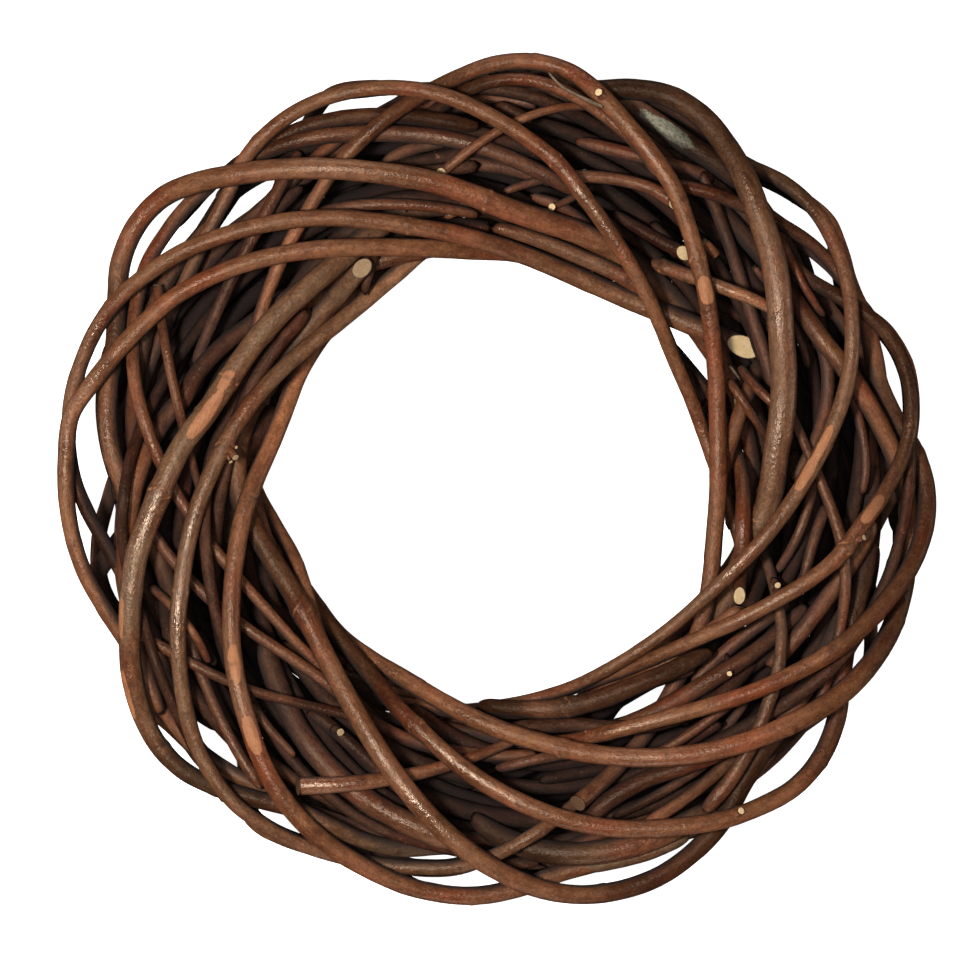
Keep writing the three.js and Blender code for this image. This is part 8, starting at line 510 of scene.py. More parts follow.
def wood_material(name="cut_wood"):
    """Raw wood of a knife cut: 'rod' holds the place across the cut in mm, 'wear' the share of the radius,
    'tone' how far it has gone brown."""
    m, nt, bsdf = material(name)
    k = Nodes(nt)
    rod, rim, age = k.attr("rod", "Vector"), k.attr("wear"), k.attr("tone")
    grain = k.noise(k.scale(rod, (1.0, 1.0, 0.3)), 0.9, 4.0, 0.6)
    fine = k.noise(rod, 3.0, 2.0, 0.5)
    t = k.math("ADD", k.math("MULTIPLY", grain, 0.7), k.math("MULTIPLY", fine, 0.3))
    fresh = k.ramp(t, [(0.3, (0.60, 0.40, 0.19)), (0.5, (0.74, 0.53, 0.285)), (0.72, (0.82, 0.64, 0.39))])
    old = k.ramp(t, [(0.3, (0.075, 0.036, 0.018)), (0.7, (0.19, 0.098, 0.052))])
    col = k.mix(age, fresh, old)
    pith = k.maprange(rim, 0.04, 0.12, 0.35, 0.0, True)
    col = k.mix(pith, col, (0.36, 0.20, 0.09, 1))
    ring = k.maprange(rim, 0.90, 0.99, 0.0, 1.0, True)
    col = k.mix(ring, col, (0.06, 0.03, 0.016, 1))
    # painted shade: cut faces deep in the bundle go near-black
    col = k.mix(k.math("MULTIPLY", k.attr("inner"), 0.9, True), col, (0.012, 0.008, 0.005, 1))
    k.put(bsdf.inputs["Base Color"], col)
    bsdf.inputs["Roughness"].default_value = 0.66
    bsdf.inputs["Specular IOR Level"].default_value = 0.3
    b = k.new("ShaderNodeBump")
    b.inputs["Strength"].default_value = 0.35
    b.inputs["Distance"].default_value = 0.0002
    k.put(b.inputs["Height"], t)
    k.put(bsdf.inputs["Normal"], b.outputs[0])
    return m


# the back and core copies of the bark take darker shade tints, and the core copy is the same bark painted far darker
# and less shiny: painted shade for twigs deep in the bundle
BARK = {
    "T": bark_material("bark_outer", (0.036, 0.0120, 0.0070), (0.121, 0.0405, 0.0168), (0.232, 0.0870, 0.0370), 0.40, 0.34),
    "S": bark_material("bark_inner", (0.032, 0.0102, 0.0062), (0.105, 0.0338, 0.0146), (0.207, 0.0750, 0.0335), 0.37, 0.34),
    "B": bark_material("bark_back", (0.032, 0.0108, 0.0064), (0.104, 0.0360, 0.0155), (0.205, 0.0775, 0.0345), 0.42, 0.34 * 0.8, (0.0180, 0.0168, 0.0175)),
    "F": bark_material("bark_core", (0.014, 0.0060, 0.0040), (0.044, 0.0170, 0.0095), (0.092, 0.0380, 0.0220), 0.48, 0.12, (0.0155, 0.0148, 0.0155)),
}
WOOD = wood_material()
BARK["L"] = BARK["S"]
BARK["P"] = bark_material("bark_sliver", (0.060, 0.040, 0.026), (0.160, 0.112, 0.075), (0.300, 0.220, 0.160), 0.50, 0.34)


# ------------------------------------------------------------------ one rod
def hermite(P, step):
    """A smooth line through the points (n x 4), sampled about every step mm."""
    M = np.empty_like(P)
    M[1:-1] = (P[2:] - P[:-2]) / 2
    M[0], M[-1] = P[1] - P[0], P[-1] - P[-2]
    out = []
    for i in range(len(P) - 1):
        n = max(1, int(round(np.linalg.norm(P[i + 1, :3] - P[i, :3]) / step)))
        t = np.linspace(0, 1, n, endpoint=False)[:, None]
        h00, h10 = 2 * t**3 - 3 * t**2 + 1, t**3 - 2 * t**2 + t
        h01, h11 = -2 * t**3 + 3 * t**2, t**3 - t**2
        out.append(h00 * P[i] + h10 * M[i] + h01 * P[i + 1] + h11 * M[i + 1])
    out.append(P[-1:])
    return np.concatenate(out)


def inner(V, N):
    """How shut in a point is, used as painted shade: the way out of the bundle along its own normal N, 0 when short, 1
    when long (mm).
    """
    r = np.hypot(V[:, 0], V[:, 1]) + 1e-9
    n_r = (V[:, 0] * N[:, 0] + V[:, 1] * N[:, 1]) / r
    u, w = (r - 132.0) / 45.0, (V[:, 2] - 31.5) / 32.0
    du, dw = n_r / 45.0, N[:, 2] / 32.0
    A, B, C = du * du + dw * dw + 1e-9, u * du + w * dw, u * u + w * w - 1.0
    way = (-B + np.sqrt(np.clip(B * B - A * C, 0, None))) / A
    way = np.where(C > 0, 0, np.clip(way, 0, 70))
    x = np.clip((way - 6.0) / 27.0, 0, 1)
    return x * x * (3 - 2 * x)


def wave(rng, s, length, octaves=3):
    """A smooth random line along s, about -1 to 1, with features of that length."""
    y = np.zeros_like(s)
    for k in range(octaves):
        y += np.sin(2 * np.pi * s / (length / 1.7**k) + rng.uniform(0, 6.283)) * rng.uniform(0.5, 1.0) / 1.4**k
    return y / 1.8


def tube(name, P, cuts, sides, step, kind, seed, wears=(), tone=0.5, film=0.0, knots=(), ages=(0.8, 0.8), crusts=(), shades=(), shines=()):
    """A rod as one closed mesh with a bark skin and two cut faces."""
    rng = np.random.default_rng(seed)
    Q = hermite(P, step)
    C, R = Q[:, :3].copy(), Q[:, 3].copy()
    s = np.r_[0, np.cumsum(np.linalg.norm(np.diff(C, axis=0), axis=1))]
    total = s[-1]
    T = np.gradient(C, axis=0)
    T /= np.linalg.norm(T, axis=1)[:, None]
    side = np.cross(T, [0, 0, 1.0])
    side /= np.linalg.norm(side, axis=1)[:, None]
    up = np.cross(side, T)
    a = 2 * np.pi * np.arange(sides) / sides
    rad = R[:, None] * np.ones((1, sides))
    # slow swelling, an oval section that turns, and fine lumps
    rad *= 1 + 0.022 * wave(rng, s, 70)[:, None] + 0.012 * wave(rng, s, 17)[:, None]
    rad *= 1 + 0.020 * np.cos(2 * (a[None] - (rng.uniform(0, 6) + s / 60)[:, None]))
    rad *= 1 + 0.010 * np.cos(3 * a[None] + (s / 9 + rng.uniform(0, 6))[:, None])
    pit = np.zeros_like(rad)
    wear = np.zeros_like(rad)
    # bud scars every few centimetres, on alternate sides
    pos, turn = rng.uniform(8, 30), rng.uniform(0, 6.283)
    while pos < total - 6:
        ds = (s - pos)[:, None]
        da = np.angle(np.exp(1j * (a[None] - turn)))
        size = rng.uniform(0.5, 1.0)
        bump = np.exp(-(ds / 1.9) ** 2) * np.exp(-(da / 0.62) ** 2)
        collar = np.exp(-((ds - 1.2) / 3.6) ** 2)
        rad += R[:, None] * size * (0.10 * bump + 0.028 * collar)
        notch = np.exp(-((ds - 2.0) / 0.75) ** 2) * np.exp(-(da / 0.55) ** 2)
        rad -= R[:, None] * 0.06 * size * notch
        pit = np.maximum(pit, notch * size * 0.9)
        wear = np.maximum(wear, 0.50 * size * bump)
        pos += rng.uniform(22, 60)
        turn += rng.uniform(2.2, 3.6)
    for (kx, ky, reach, width, across, strength) in wears:
        i = int(np.argmin(np.hypot(C[:, 0] - kx, C[:, 1] - ky)))
        da = np.angle(np.exp(1j * (a[None] - (np.pi / 2 + across))))
        e = (np.abs(s - s[i])[:, None] / reach) ** 2.6 + (np.abs(da) / width) ** 2.6
        wear = np.maximum(wear, strength * np.clip(1.55 - e, 0, 1))
    # painted shade (below 0, painted light) along the given stretches
    shade = np.zeros_like(rad)
    for (kx, ky, reach, strength) in shades:
        i = int(np.argmin(np.hypot(C[:, 0] - kx, C[:, 1] - ky)))
        e = strength * np.exp(-((s - s[i]) / reach) ** 4)
        shade = np.where(np.abs(e)[:, None] > np.abs(shade), e[:, None] + 0 * shade, shade)
    gloss = np.zeros_like(rad)
    for (kx, ky, reach, strength) in shines:
        i = int(np.argmin(np.hypot(C[:, 0] - kx, C[:, 1] - ky)))
        gloss = np.maximum(gloss, (strength * np.exp(-((s - s[i]) / reach) ** 2))[:, None])
    crust = np.zeros_like(rad)
    for (kx, ky, reach, width, across, strength) in crusts:
        i = int(np.argmin(np.hypot(C[:, 0] - kx, C[:, 1] - ky)))
        da = np.angle(np.exp(1j * (a[None] - (np.pi / 2 + across))))
        e = (np.abs(s - s[i])[:, None] / reach) ** 2.0 + (np.abs(da) / width) ** 2.0
        crust = np.maximum(crust, strength * np.clip(1.4 - e, 0, 1))
    for (kx, ky, size) in knots:
        i = int(np.argmin(np.hypot(C[:, 0] - kx, C[:, 1] - ky)))
        d = s - s[i]
        lump = np.exp(-(d / (3.4 * size)) ** 2)[:, None]
        rough = 1 + 0.5 * np.cos(5 * a[None] + d[:, None] * 1.3 + seed) * 0.5
        rad += R[:, None] * 0.13 * size * lump * rough
        pit = np.maximum(pit, lump * np.clip(np.cos(4 * a[None] + d[:, None] * 1.9 + seed), 0, 1) * 0.7)
        wear = np.maximum(wear, lump * np.clip(np.sin(3 * a[None] + d[:, None] * 1.1), 0, 1) * 0.8)
    # ends that were cut long ago: torn or sliced to a blunt point
    for end in (0, 1):
        if ages[end] < 0.6 or cuts[end] > 0.31 or total < 12:
            continue
        d = s if end == 0 else total - s
        r_end = R[0 if end == 0 else -1]
        reach = r_end * rng.uniform(2.0, 4.2)
        f = 0.22 + 0.78 * np.sqrt(np.clip(1 - (1 - np.clip(d / reach, 0, 1)) ** 2, 0, 1))
        rad *= f[:, None]
        lean = rng.uniform(0, 6.283)
        C += ((1 - f) * r_end * 0.55)[:, None] * (math.cos(lean) * side - (0.4 + 0.6 * abs(math.sin(lean))) * up)
    ring = (np.cos(a)[None, :, None] * side[:, None] + np.sin(a)[None, :, None] * up[:, None]) * rad[:, :, None]
    V = C[:, None] + ring
    flat = np.stack([np.cos(a)[None] * rad, np.sin(a)[None] * rad, np.repeat(s[:, None], sides, 1)], 2)
    # the knife cuts
    caps = []
    for end, slope in ((0, cuts[0]), (-1, cuts[1])):
        out = -T[0] if end == 0 else T[-1]
        n = out + np.array([0, 0, 1.0]) * slope
        over = (V - C[end]) @ n
        reach = R[end] * (slope + 0.3) * 1.4 + 1.5
        over[(s if end == 0 else total - s) > reach] = 0
        V = V - out[None, None] * (np.clip(over, 0, None) / (out @ n))[:, :, None]
        d = ring[end] - out[None] * ((ring[end] @ n) / (out @ n))[:, None]
        V[end] = C[end] + d
        rim = V[end].copy()
        caps.append((C[end], rim, out))
    n = len(C)
    V[:, :, 2] = np.maximum(V[:, :, 2], 0.0)      # flat where it rests on the floor
    verts = [V.reshape(-1, 3)]
    normals = [(ring / np.linalg.norm(ring, axis=2)[:, :, None]).reshape(-1, 3)]
    rodpos = [flat.reshape(-1, 3)]
    w_all, p_all = [wear.ravel()], [pit.ravel()]
    c_all = [crust.ravel()]
    d_all = [shade.ravel()]
    g_all = [gloss.ravel()]
    faces, mats = [], []
    i = np.arange(n - 1)[:, None] * sides
    j = np.arange(sides)[None]
    jn = (j + 1) % sides
    quads = np.stack([i + j, i + sides + j, i + sides + jn, i + jn], 2).reshape(-1, 4)
    faces += quads[:, ::-1].tolist()
    mats += [0] * len(quads)
    base = n * sides
    tones = [np.full(n * sides, tone)]
    # how much of the painted deep-bundle shade each point takes: all of it on the bark, less on freshly cut faces
    shade_share = [np.ones(n * sides)]
    for end, (c, rim, out) in enumerate(caps):
        tones.append(np.full(3 * sides + 1, ages[end]))
        shade_share.append(np.full(3 * sides + 1, min(1.0, 0.12 + 1.6 * ages[end])))
        face = out + np.array([0, 0, 1.0]) * cuts[end]
        normals.append(np.repeat((face / np.linalg.norm(face))[None], 3 * sides + 1, 0))
        c_all.append(np.zeros(3 * sides + 1))
        d_all.append(np.zeros(3 * sides + 1))
        g_all.append(np.zeros(3 * sides + 1))
        first = 0 if end == 0 else (n - 1) * sides
        # the rim again, then a ring further in, then the pith
        rings_ = []
        for share, lift in ((1.0, 0.0), (0.92, 0.05), (0.45, 0.08)):
            pts = c + (rim - c) * share + out * lift * (1 if share < 1 else 0)
            verts.append(pts)
            rodpos.append(np.c_[(np.cos(a) * share * R[0 if end == 0 else -1]), (np.sin(a) * share * R[0 if end == 0 else -1]), np.full(sides, share * 2.0)] + seed % 97)
            w_all.append(np.full(sides, share))
            p_all.append(np.zeros(sides))
            rings_.append(base)
            base += sides
        verts.append((c + out * 0.08)[None])
        rodpos.append(np.array([[seed % 97, seed % 97, seed % 97]], float))
        w_all.append(np.zeros(1)); p_all.append(np.zeros(1))
        pith = base
        base += 1
        order = range(sides)
        rows = [first] + rings_
        for q in range(len(rows) - 1):
            for b in order:
                b2 = (b + 1) % sides
                f = [rows[q] + b, rows[q] + b2, rows[q + 1] + b2, rows[q + 1] + b]
                faces.append(f if end == 0 else f[::-1]); mats.append(1)
        for b in order:
            b2 = (b + 1) % sides
            f = [rows[-1] + b, rows[-1] + b2, pith]
            faces.append(f if end == 0 else f[::-1]); mats.append(1)
    Vt = np.concatenate(verts)
    keep = np.arange(len(Vt))
    mesh = bpy.data.meshes.new(name)
    mesh.from_pydata((Vt[keep] * MM).tolist(), [], [[int(v) for v in f] for f in faces])
    mesh.polygons.foreach_set("material_index", np.array(mats, np.int32))
    mesh.polygons.foreach_set("use_smooth", np.ones(len(mats), bool))
    for key, data, dim in (("rod", np.concatenate(rodpos)[keep] + np.array([0, 0, (seed * 37) % 911]), 3),
                           ("wear", np.concatenate(w_all)[keep], 1), ("pit", np.concatenate(p_all)[keep], 1),
                           ("inner", inner(Vt[keep], np.concatenate(normals)[keep]) * np.concatenate(shade_share)[keep], 1),
                           ("crust", np.concatenate(c_all)[keep], 1),
                           ("shade", np.concatenate(d_all)[keep], 1),
                           ("gloss", np.concatenate(g_all)[keep], 1),
                           ("tone", np.concatenate(tones)[keep], 1), ("film", np.full(len(keep), film), 1)):
        at = mesh.attributes.new(key, "FLOAT_VECTOR" if dim == 3 else "FLOAT", "POINT")
        at.data.foreach_set("vector" if dim == 3 else "value", np.ascontiguousarray(data, np.float32).ravel())
    mesh.materials.append(BARK[kind])
    mesh.materials.append(WOOD)
    mesh.update()
    o = bpy.data.objects.new(name, mesh)
    scene.collection.objects.link(o)
    return o


# scraped, tan places: rod, place in the frame, half length in mm, half width and turn from the top in radians, strength
WEARS = [
    ("front_rod_06", 229, 383, 5.5, 0.5, -0.1, 0.85),
    ("front_rod_06", 203, 415, 11.5, 0.62, 0.12, 0.9),
    ("front_rod_06", 128, 615, 8, 0.45, -0.95, 1.05),
    ("front_rod_06", 135, 690, 10, 0.5, -0.95, 1.1),
    ("front_rod_13", 869, 508, 6.5, 0.75, 0.1, 1.3),
    ("front_rod_14", 823, 446, 9, 0.6, 0.25, 1.15),
    ("front_rod_14", 808, 476, 8, 0.75, 0.35, 1.2),
    ("front_rod_01", 704.5, 290, 5.6, 0.95, 0, 1),
    ("front_rod_08", 231, 664, 8, 0.6, 0.1, 1.05),
    ("front_rod_08", 250, 734, 8, 0.75, 0, 1.15),
    ("front_rod_12", 620, 733, 5, 0.6, 0, 0.45),
    ("front_rod_10", 495, 786, 7, 0.5, 0.2, 0.45),
    ("front_rod_05", 160, 305, 7, 0.5, 0.2, 0.45),
    ("front_rod_05", 75, 395, 8, 0.6, 0.5, 0.5),
    ("front_rod_07", 180, 585, 8, 0.5, 0, 0.45),
    ("front_rod_09", 345, 690, 8, 0.5, 0, 0.3),
    ("front_rod_04", 92, 592, 5, 0.6, -0.6, 1),
    ("front_rod_12", 715, 705, 9, 0.5, 0, 0.4),
    ("front_rod_05", 72, 545, 8, 0.5, 0.4, 0.5),
    ("front_rod_03", 140, 222, 8, 0.5, 0.3, 0.3),
    ("front_rod_11", 640, 757, 8, 0.5, 0.2, 0.3),
]
# painted shade (or, below 0, painted light) on stretches of bark: rod, place in the frame, half length in mm, strength
SHADES = [
    ("front_rod_01", 403, 106, 22, 0.5),
    ("front_rod_01", 283, 254, 22, -0.5),
    ("front_rod_03", 116, 329, 22, 0.6),
    ("front_rod_03", 177, 605, 22, 0.7),
    ("front_rod_04", 95, 526, 30, 1.1),
    ("front_rod_05", 349, 825, 16, -0.4),
    ("front_rod_06", 225, 790, 28, 0.9),
    ("front_rod_07", 395, 274, 24, -0.5),
    ("front_rod_08", 287, 401, 28, -0.5),
    ("front_rod_09", 267, 552, 30, 0.6),
    ("front_rod_09", 671, 868, 32, 0.9),
    ("front_rod_09", 734, 797, 26, 1.1),
    ("front_rod_10", 361, 663, 30, 1),
    ("front_rod_10", 301, 594, 20, 0.5),
    ("front_rod_10", 834, 724, 24, 0.6),
    ("front_rod_10", 849, 630, 24, 0.6),
    ("front_rod_10", 869, 539, 28, 1),
    ("front_rod_10", 867, 446, 12, -0.5),
    ("front_rod_11", 895, 616, 28, 0.9),
    ("front_rod_11", 775, 271, 26, 1),
    ("front_rod_11", 713, 202, 26, 1),
    ("front_rod_12", 458, 729, 14, 0.6),
    ("front_rod_12", 888, 597, 26, 0.6),
    ("front_rod_12", 924, 517, 26, 0.8),
    ("front_rod_12", 901, 429, 26, 0.7),
    ("front_rod_13", 898, 465, 24, 0.6),
    ("front_rod_13", 906, 373, 24, 1),
    ("front_rod_13", 846, 301, 24, 1.1),
    ("front_rod_14", 771, 176, 24, 0.6),
    ("front_rod_15", 704, 119, 32, 0.65),
    ("front_rod_15", 616, 90, 28, 1.15),
    ("inner_rod_04", 208, 359, 26, 0.6),
    ("inner_rod_05", 236, 269, 16, 0.5),
    ("inner_rod_07", 244, 687, 16, 0.6),
    ("inner_rod_07", 331, 711, 18, 0.8),
    ("inner_rod_09", 276, 683, 26, 0.5),
    ("inner_rod_10", 343, 738, 24, 0.8),
    ("inner_rod_11", 333, 119, 26, 0.75),
    ("inner_rod_11", 426, 118, 26, 1.3),
    ("inner_rod_12", 258, 155, 18, 0.7),
    ("inner_rod_14", 279, 367, 16, 1),
    ("inner_rod_15", 457, 95, 22, 1.1),
    ("inner_rod_17", 762, 304, 16, -0.6),
    ("inner_rod_19", 716, 163, 22, 1.1),
    ("inner_rod_20", 703, 191, 20, 0.75),
    ("inner_rod_20", 792, 230, 24, 0.8),
    ("inner_rod_21", 718, 214, 22, 0.5),
    ("inner_rod_22", 740, 582, 12, 0.5),
    ("inner_rod_27", 700, 620, 40, 0.35),
    ("inner_rod_29", 618, 794, 26, 0.6),
    ("inner_rod_30", 621, 812, 16, 1.1),
    ("inner_rod_31", 612, 694, 26, 0.75),
    ("inner_rod_31", 492, 703, 16, 1.2),
    ("inner_rod_31", 686, 662, 24, 0.95),
    ("inner_rod_32", 509, 840, 32, 0.9),
    ("inner_rod_34", 647, 233, 26, 1.05),
]
# stretches rubbed to a polish: rod, place in the frame, half length in mm, strength
SHINES = [
    ("front_rod_06", 150, 520, 16, 1),
    ("front_rod_06", 160, 600, 14, 0.5),
    ("front_rod_10", 500, 785, 16, 1.3),
    ("front_rod_10", 455, 755, 12, 0.8),
    ("front_rod_09", 415, 800, 18, 1.2),
    ("front_rod_09", 392, 760, 12, 0.7),
    ("inner_rod_33", 318, 785, 12, 1.1),
    ("inner_rod_08", 440, 760, 10, 0.6),
    ("front_rod_02", 575, 215, 16, 0.9),
    ("front_rod_02", 610, 290, 12, 0.5),
    ("inner_rod_17", 755, 298, 12, 1),
    ("front_rod_15", 785, 300, 16, 0.6),
    ("front_rod_15", 780, 440, 18, 0.6),
    ("front_rod_07", 190, 600, 16, 0.9),
    ("front_rod_07", 185, 530, 14, 0.6),
    ("front_rod_05", 105, 400, 16, 0.9),
    ("front_rod_04", 90, 330, 10, 0.5),
    ("inner_rod_01", 170, 470, 12, 1),
    ("inner_rod_12", 440, 140, 12, 0.5),
    ("front_rod_08", 240, 700, 12, 0.6),
    ("front_rod_13", 770, 600, 14, 0.6),
    ("front_rod_14", 730, 560, 16, 0.8),
    ("front_rod_12", 640, 735, 14, 0.6),
    ("front_rod_03", 330, 165, 16, 0.5),
    ("front_rod_01", 640, 170, 14, 0.5),
    ("front_rod_11", 650, 755, 14, 0.5),
    ("inner_rod_32", 540, 860, 14, 0.5),
]
# pale grey-green crust: the same values
CRUSTS = [
    ("inner_rod_19", 670, 133, 12, 0.9, 0, 1),
    ("inner_rod_19", 648, 126, 6, 0.7, 0, 0.8),
]
# swollen, rough knots: rod, place in the frame, size
KNOTS = [
    ("front_rod_15", 757, 522, 1.2),
    ("front_rod_11", 562, 752, 0.8),
    ("front_rod_10", 418, 722, 1.2),
    ("front_rod_09", 303, 612, 1.5),
    ("front_rod_13", 848, 550, 1.1),
    ("inner_rod_31", 568, 713, 1.2),
    ("front_rod_03", 484, 203, 0.5),
    ("front_rod_04", 408, 223, 0.4),
    ("front_rod_02", 556, 160, 0.6),
    ("front_rod_01", 694, 262, 0.7),
    ("front_rod_06", 232, 383, 0.6),
    ("front_rod_06", 158, 490, 0.9),
    ("inner_rod_17", 662, 264, 1),
    ("front_rod_07", 237, 455, 0.9),
    ("front_rod_07", 181, 590, 0.5),
    ("front_rod_12", 575, 690, 0.5),
]
# how light each rod is (0.5 is usual) and how much grey film it has (0 is none)
LOOK = {
    "inner_rod_14": (0.55, 0.55),
    "inner_rod_16": (0.55, 0),
    "inner_rod_19": (0.5, 0.35),
    "inner_rod_32": (0.58, 0.35),
    "front_rod_06": (0.52, 0.55),
    "front_rod_07": (0.5, 0.45),
    "front_rod_15": (0.5, 0.42),
    "inner_rod_31": (0.5, 0.2),
    "inner_rod_18": (0.5, 0.25),
    "inner_rod_25": (0.45, 0.3),
    "inner_rod_09": (0.5, 0.2),
    "inner_rod_13": (0.6, 0.05),
    "inner_rod_33": (0.6, 0),
    "front_rod_04": (0.5, 0.15),
    "front_rod_05": (0.56, 0.05),
    "front_rod_03": (0.54, 0.1),
    "front_rod_01": (0.5, 0),
    "front_rod_02": (0.5, 0.1),
    "front_rod_08": (0.52, 0.05),
    "front_rod_09": (0.52, 0.15),
    "front_rod_10": (0.52, 0.05),
    "front_rod_11": (0.56, 0),
    "front_rod_12": (0.54, 0),
    "front_rod_14": (0.5, 0.38),
    "front_rod_13": (0.52, 0.15),
    "inner_rod_01": (0.56, 0),
    "inner_rod_17": (0.6, 0.25),
    "side_twig_19": (0.5, 0),
    "side_twig_20": (0.55, 0),
    "side_twig_21": (0.6, 0),
    "bark_sliver_22": (0.9, 0.9),
    "side_twig_23": (0.74, 0.85),
    "side_twig_24": (0.6, 0.1),
    "side_twig_25": (0.6, 0.1),
    "side_twig_26": (0.55, 0.1),
    "side_twig_27": (0.5, 0),
    "side_twig_28": (0.78, 0.1),
    "side_twig_29": (0.6, 0),
    "side_twig_30": (0.7, 0.3),
    "bark_sliver_31": (0.55, 0.9),
    "bark_sliver_32": (0.7, 0.9),
    "bark_sliver_33": (0.55, 0.9),
    "bark_sliver_34": (0.6, 0.9),
    "filler_twig_35": (0.5, 0),
    "filler_twig_36": (0.5, 0),
    "filler_twig_37": (0.5, 0),
    "filler_twig_38": (0.5, 0),
    "filler_twig_39": (0.5, 0),
    "filler_twig_40": (0.5, 0),
    "filler_twig_41": (0.5, 0),
    "filler_twig_42": (0.5, 0),
    "filler_twig_43": (0.5, 0),
    "filler_twig_44": (0.5, 0),
    "filler_twig_45": (0.5, 0),
    "filler_twig_46": (0.5, 0),
    "filler_twig_47": (0.5, 0),
    "filler_twig_48": (0.5, 0),
    "filler_twig_49": (0.5, 0),
    "filler_twig_50": (0.5, 0),
    "filler_twig_51": (0.5, 0),
    "filler_twig_52": (0.5, 0),
    "filler_twig_53": (0.5, 0),
    "filler_twig_54": (0.5, 0),
    "filler_twig_55": (0.5, 0),
    "filler_twig_56": (0.5, 0),
    "filler_twig_57": (0.5, 0),
    "filler_twig_58": (0.5, 0),
    "filler_twig_59": (0.5, 0),
    "filler_twig_60": (0.5, 0),
    "filler_twig_61": (0.5, 0),
    "filler_twig_62": (0.5, 0),
    "filler_twig_63": (0.5, 0),
    "filler_twig_64": (0.5, 0),
    "filler_twig_65": (0.5, 0),
    "filler_twig_66": (0.5, 0),
    "filler_twig_67": (0.5, 0),
    "filler_twig_68": (0.5, 0),
    "filler_twig_69": (0.5, 0),
    "filler_twig_70": (0.5, 0),
    "filler_twig_71": (0.5, 0),
    "filler_twig_72": (0.5, 0),
}

# how brown each rod's two cut ends have gone (0 is fresh)
AGES = {
    "front_rod_04": (0, 0.9),
    "inner_rod_14": (0.74, 0.9),
    "inner_rod_22": (0.9, 0),
    "inner_rod_34": (0.9, 0.02),
    "inner_rod_16": (0.9, 0.1),
    "inner_rod_13": (0.12, 0.9),
    "inner_rod_02": (0.55, 0.9),
    "front_rod_01": (1, 0.9),
    "inner_rod_33": (1, 0.9),
    "inner_rod_06": (0.6, 0.9),
    "inner_rod_17": (0.8, 0.9),
    "side_twig_19": (0, 0.9),
    "side_twig_20": (0.15, 0.9),
    "side_twig_21": (0.3, 0.5),
    "bark_sliver_22": (0.3, 0.3),
    "side_twig_23": (0.8, 0.8),
    "side_twig_24": (0.8, 0.8),
    "side_twig_25": (0.6, 0.8),
    "side_twig_26": (0.8, 0.8),
    "side_twig_27": (0.8, 0.8),
    "side_twig_28": (0.6, 0.8),
    "side_twig_29": (0.8, 0.8),
    "side_twig_30": (0.8, 0.8),
    "bark_sliver_31": (0.3, 0.3),
    "bark_sliver_32": (0.3, 0.3),
    "bark_sliver_33": (0.3, 0.3),
    "bark_sliver_34": (0.3, 0.3),
    "filler_twig_35": (0.8, 0.8),
    "filler_twig_36": (0.8, 0.8),
    "filler_twig_37": (0.8, 0.8),
    "filler_twig_38": (0.8, 0.8),
    "filler_twig_39": (0.8, 0.8),
    "filler_twig_40": (0.8, 0.8),
    "filler_twig_41": (0.8, 0.8),
    "filler_twig_42": (0.8, 0.8),
    "filler_twig_43": (0.8, 0.8),
    "filler_twig_44": (0.8, 0.8),
    "filler_twig_45": (0.8, 0.8),
    "filler_twig_46": (0.8, 0.8),
    "filler_twig_47": (0.8, 0.8),
    "filler_twig_48": (0.8, 0.8),
    "filler_twig_49": (0.8, 0.8),
    "filler_twig_50": (0.8, 0.8),
    "filler_twig_51": (0.8, 0.8),
    "filler_twig_52": (0.8, 0.8),
    "filler_twig_53": (0.8, 0.8),
    "filler_twig_54": (0.8, 0.8),
    "filler_twig_55": (0.8, 0.8),
    "filler_twig_56": (0.8, 0.8),
    "filler_twig_57": (0.8, 0.8),
    "filler_twig_58": (0.8, 0.8),
    "filler_twig_59": (0.8, 0.8),
    "filler_twig_60": (0.8, 0.8),
    "filler_twig_61": (0.8, 0.8),
    "filler_twig_62": (0.8, 0.8),
    "filler_twig_63": (0.8, 0.8),
    "filler_twig_64": (0.8, 0.8),
    "filler_twig_65": (0.8, 0.8),
    "filler_twig_66": (0.8, 0.8),
    "filler_twig_67": (0.8, 0.8),
    "filler_twig_68": (0.8, 0.8),
    "filler_twig_69": (0.8, 0.8),
    "filler_twig_70": (0.8, 0.8),
    "filler_twig_71": (0.8, 0.8),
    "filler_twig_72": (0.8, 0.8),
}
# stubs of cut side shoots: rod, place in the frame, turn from the top, lean along the rod, length and radius in mm, age
STUBS = [
    ("front_rod_01", 605, 97, 0, 0.5, 2.8, 1.6, 0.05),
    ("front_rod_10", 732, 817, 0.3, 0.5, 3, 1.5, 0.05),
    ("inner_rod_25", 755, 597, 0.3, 0.6, 4, 1.3, 0.15),
    ("inner_rod_25", 768, 583, 0.3, 0.6, 4, 1.3, 0.15),
    ("inner_rod_27", 721, 650, 0.3, 0.5, 3, 1.1, 0.1),
    ("front_rod_07", 229, 447, 1.15, 0.35, 4.4, 1.4, 0.6),
    ("front_rod_07", 227, 452, 1.3, 0.5, 3.6, 0.8, 0.25),
    ("front_rod_07", 231, 444, 1, 0.1, 2.6, 0.7, 0.35),
    ("front_rod_13", 860, 546, -0.8, 0.6, 3.5, 1.2, 0.5),
    ("inner_rod_10", 341, 722, 0.2, 0.5, 4, 1.6, 0.5),
]

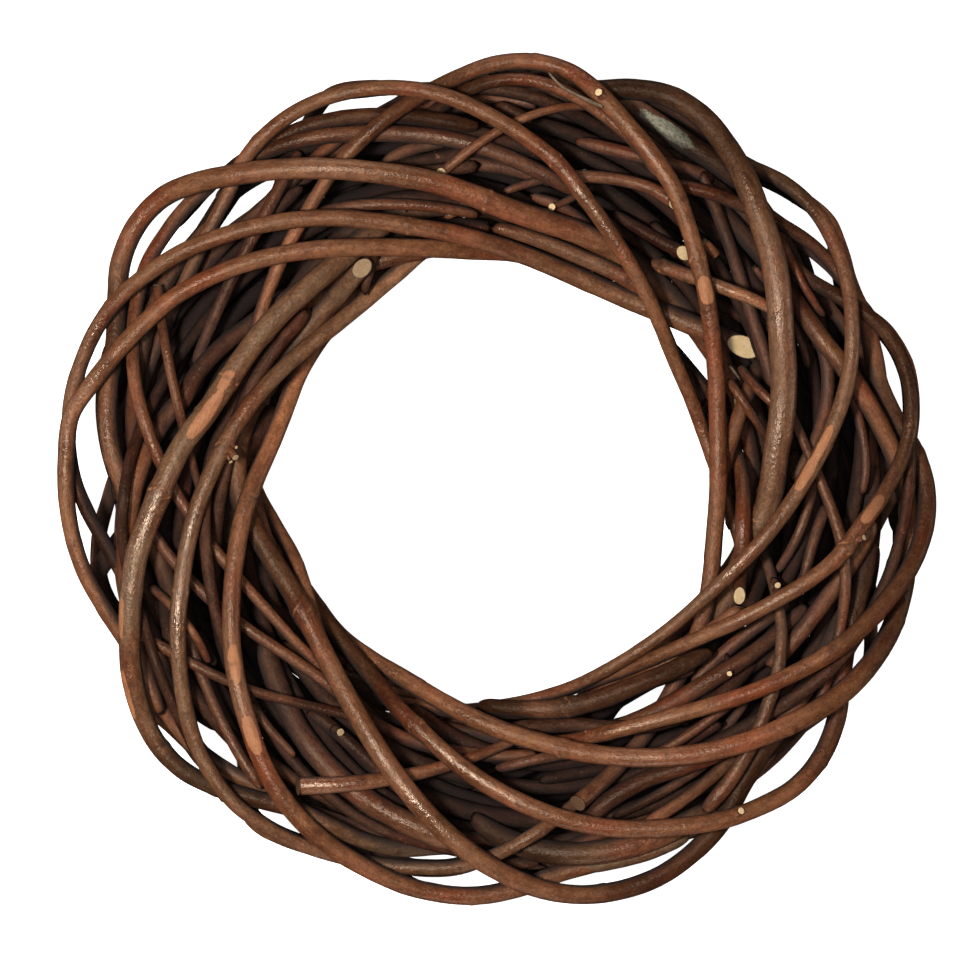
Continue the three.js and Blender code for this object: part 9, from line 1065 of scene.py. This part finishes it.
QUALITY = {"T": (22, 1.4), "S": (20, 1.5), "L": (18, 1.6), "P": (8, 1.2), "B": (16, 2.0), "F": (12, 2.4)}
made = {}
for number, (name, (kind, cuts, route)) in enumerate(RODS.items()):
    sides, step = QUALITY[kind]
    rng = np.random.default_rng(1000 + number)
    tone, film = LOOK.get(name, (None, 0.0))
    if tone is None:
        tone = {"T": 0.5, "S": 0.46, "L": 0.46, "P": 0.5, "B": 0.46, "F": 0.42}[kind] + rng.uniform(-0.12, 0.12)
    wears = [(*to_mm(x, y), *rest) for rod, x, y, *rest in WEARS if rod == name]
    shades = [(*to_mm(x, y), reach, strength) for rod, x, y, reach, strength in SHADES if rod == name]
    shines = [(*to_mm(x, y), reach, strength) for rod, x, y, reach, strength in SHINES if rod == name]
    crusts = [(*to_mm(x, y), *rest) for rod, x, y, *rest in CRUSTS if rod == name]
    knots = [(*to_mm(x, y), size) for rod, x, y, size in KNOTS if rod == name]
    o = tube(name + "_bark" if kind in "TSB" else name, np.array(route, float).reshape(-1, 4), cuts, sides, step, kind, 11 + number * 13, wears, tone, film, knots, AGES.get(name, (0.85, 0.85)), crusts, shades, shines)
    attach(o, "root")
    if kind in "TSB":
        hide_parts(name)
    made[name] = o

def stub(name, host, at, turn, lean, length, radius, age, seed):
    """What is left of a side shoot: a short tapered peg with its own cut face, set in a rod."""
    route = np.array(RODS[host][2], float).reshape(-1, 4)
    Q = hermite(route, 1.0)
    i = int(np.argmin(np.hypot(Q[:, 0] - at[0], Q[:, 1] - at[1])))
    i = min(max(i, 1), len(Q) - 2)
    t = Q[i + 1, :3] - Q[i - 1, :3]
    t /= np.linalg.norm(t)
    side = np.cross(t, [0, 0, 1.0])
    side /= np.linalg.norm(side)
    up = np.cross(side, t)
    out = math.cos(turn) * up - math.sin(turn) * side
    d = out * (1 - lean) + t * lean
    d /= np.linalg.norm(d)
    foot = Q[i, :3] + out * Q[i, 3] * 0.55
    tip = Q[i, :3] + out * Q[i, 3] * 0.92 + d * length
    way = [foot + (tip - foot) * k / 4 for k in range(5)]
    P = np.array([[*p, radius * r] for p, r in zip(way, (1.35, 1.2, 1.08, 1.0, 1.0))])
    return tube(name, P, (0.0, 0.35), 14, 0.8, RODS[host][0], seed, (), 0.5, 0.0, (), (0.9, age))


for number, (host, x, y, turn, lean, length, radius, age) in enumerate(STUBS):
    o = stub("%s_stub_%02d" % (host, number + 1), host, to_mm(x, y), turn, lean, length, radius, age, 501 + number * 7)
    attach(o, "root")
    made[o.name] = o

# ------------------------------------------------------------------ floor
lowest = min(min(v.co.z for v in o.data.vertices) for o in made.values())
bpy.ops.mesh.primitive_plane_add(size=12.0, location=(0, 0, min(lowest, 0.0) - 0.0002))
floor = bpy.context.active_object
floor.name = "floor"
fm, fnt, fb = material("floor")
fb.inputs["Base Color"].default_value = (0.90, 0.90, 0.895, 1)
fb.inputs["Roughness"].default_value = 0.9
fb.inputs["Specular IOR Level"].default_value = 0.1
fb.inputs["Emission Color"].default_value = (1.0, 1.0, 1.0, 1)      # a table lit from below, so shadows stay faint
fb.inputs["Emission Strength"].default_value = 0.95
floor.data.materials.append(fm)
floor.visible_diffuse = False      # the rods get no light from below, as over a dark gap
floor.visible_glossy = False
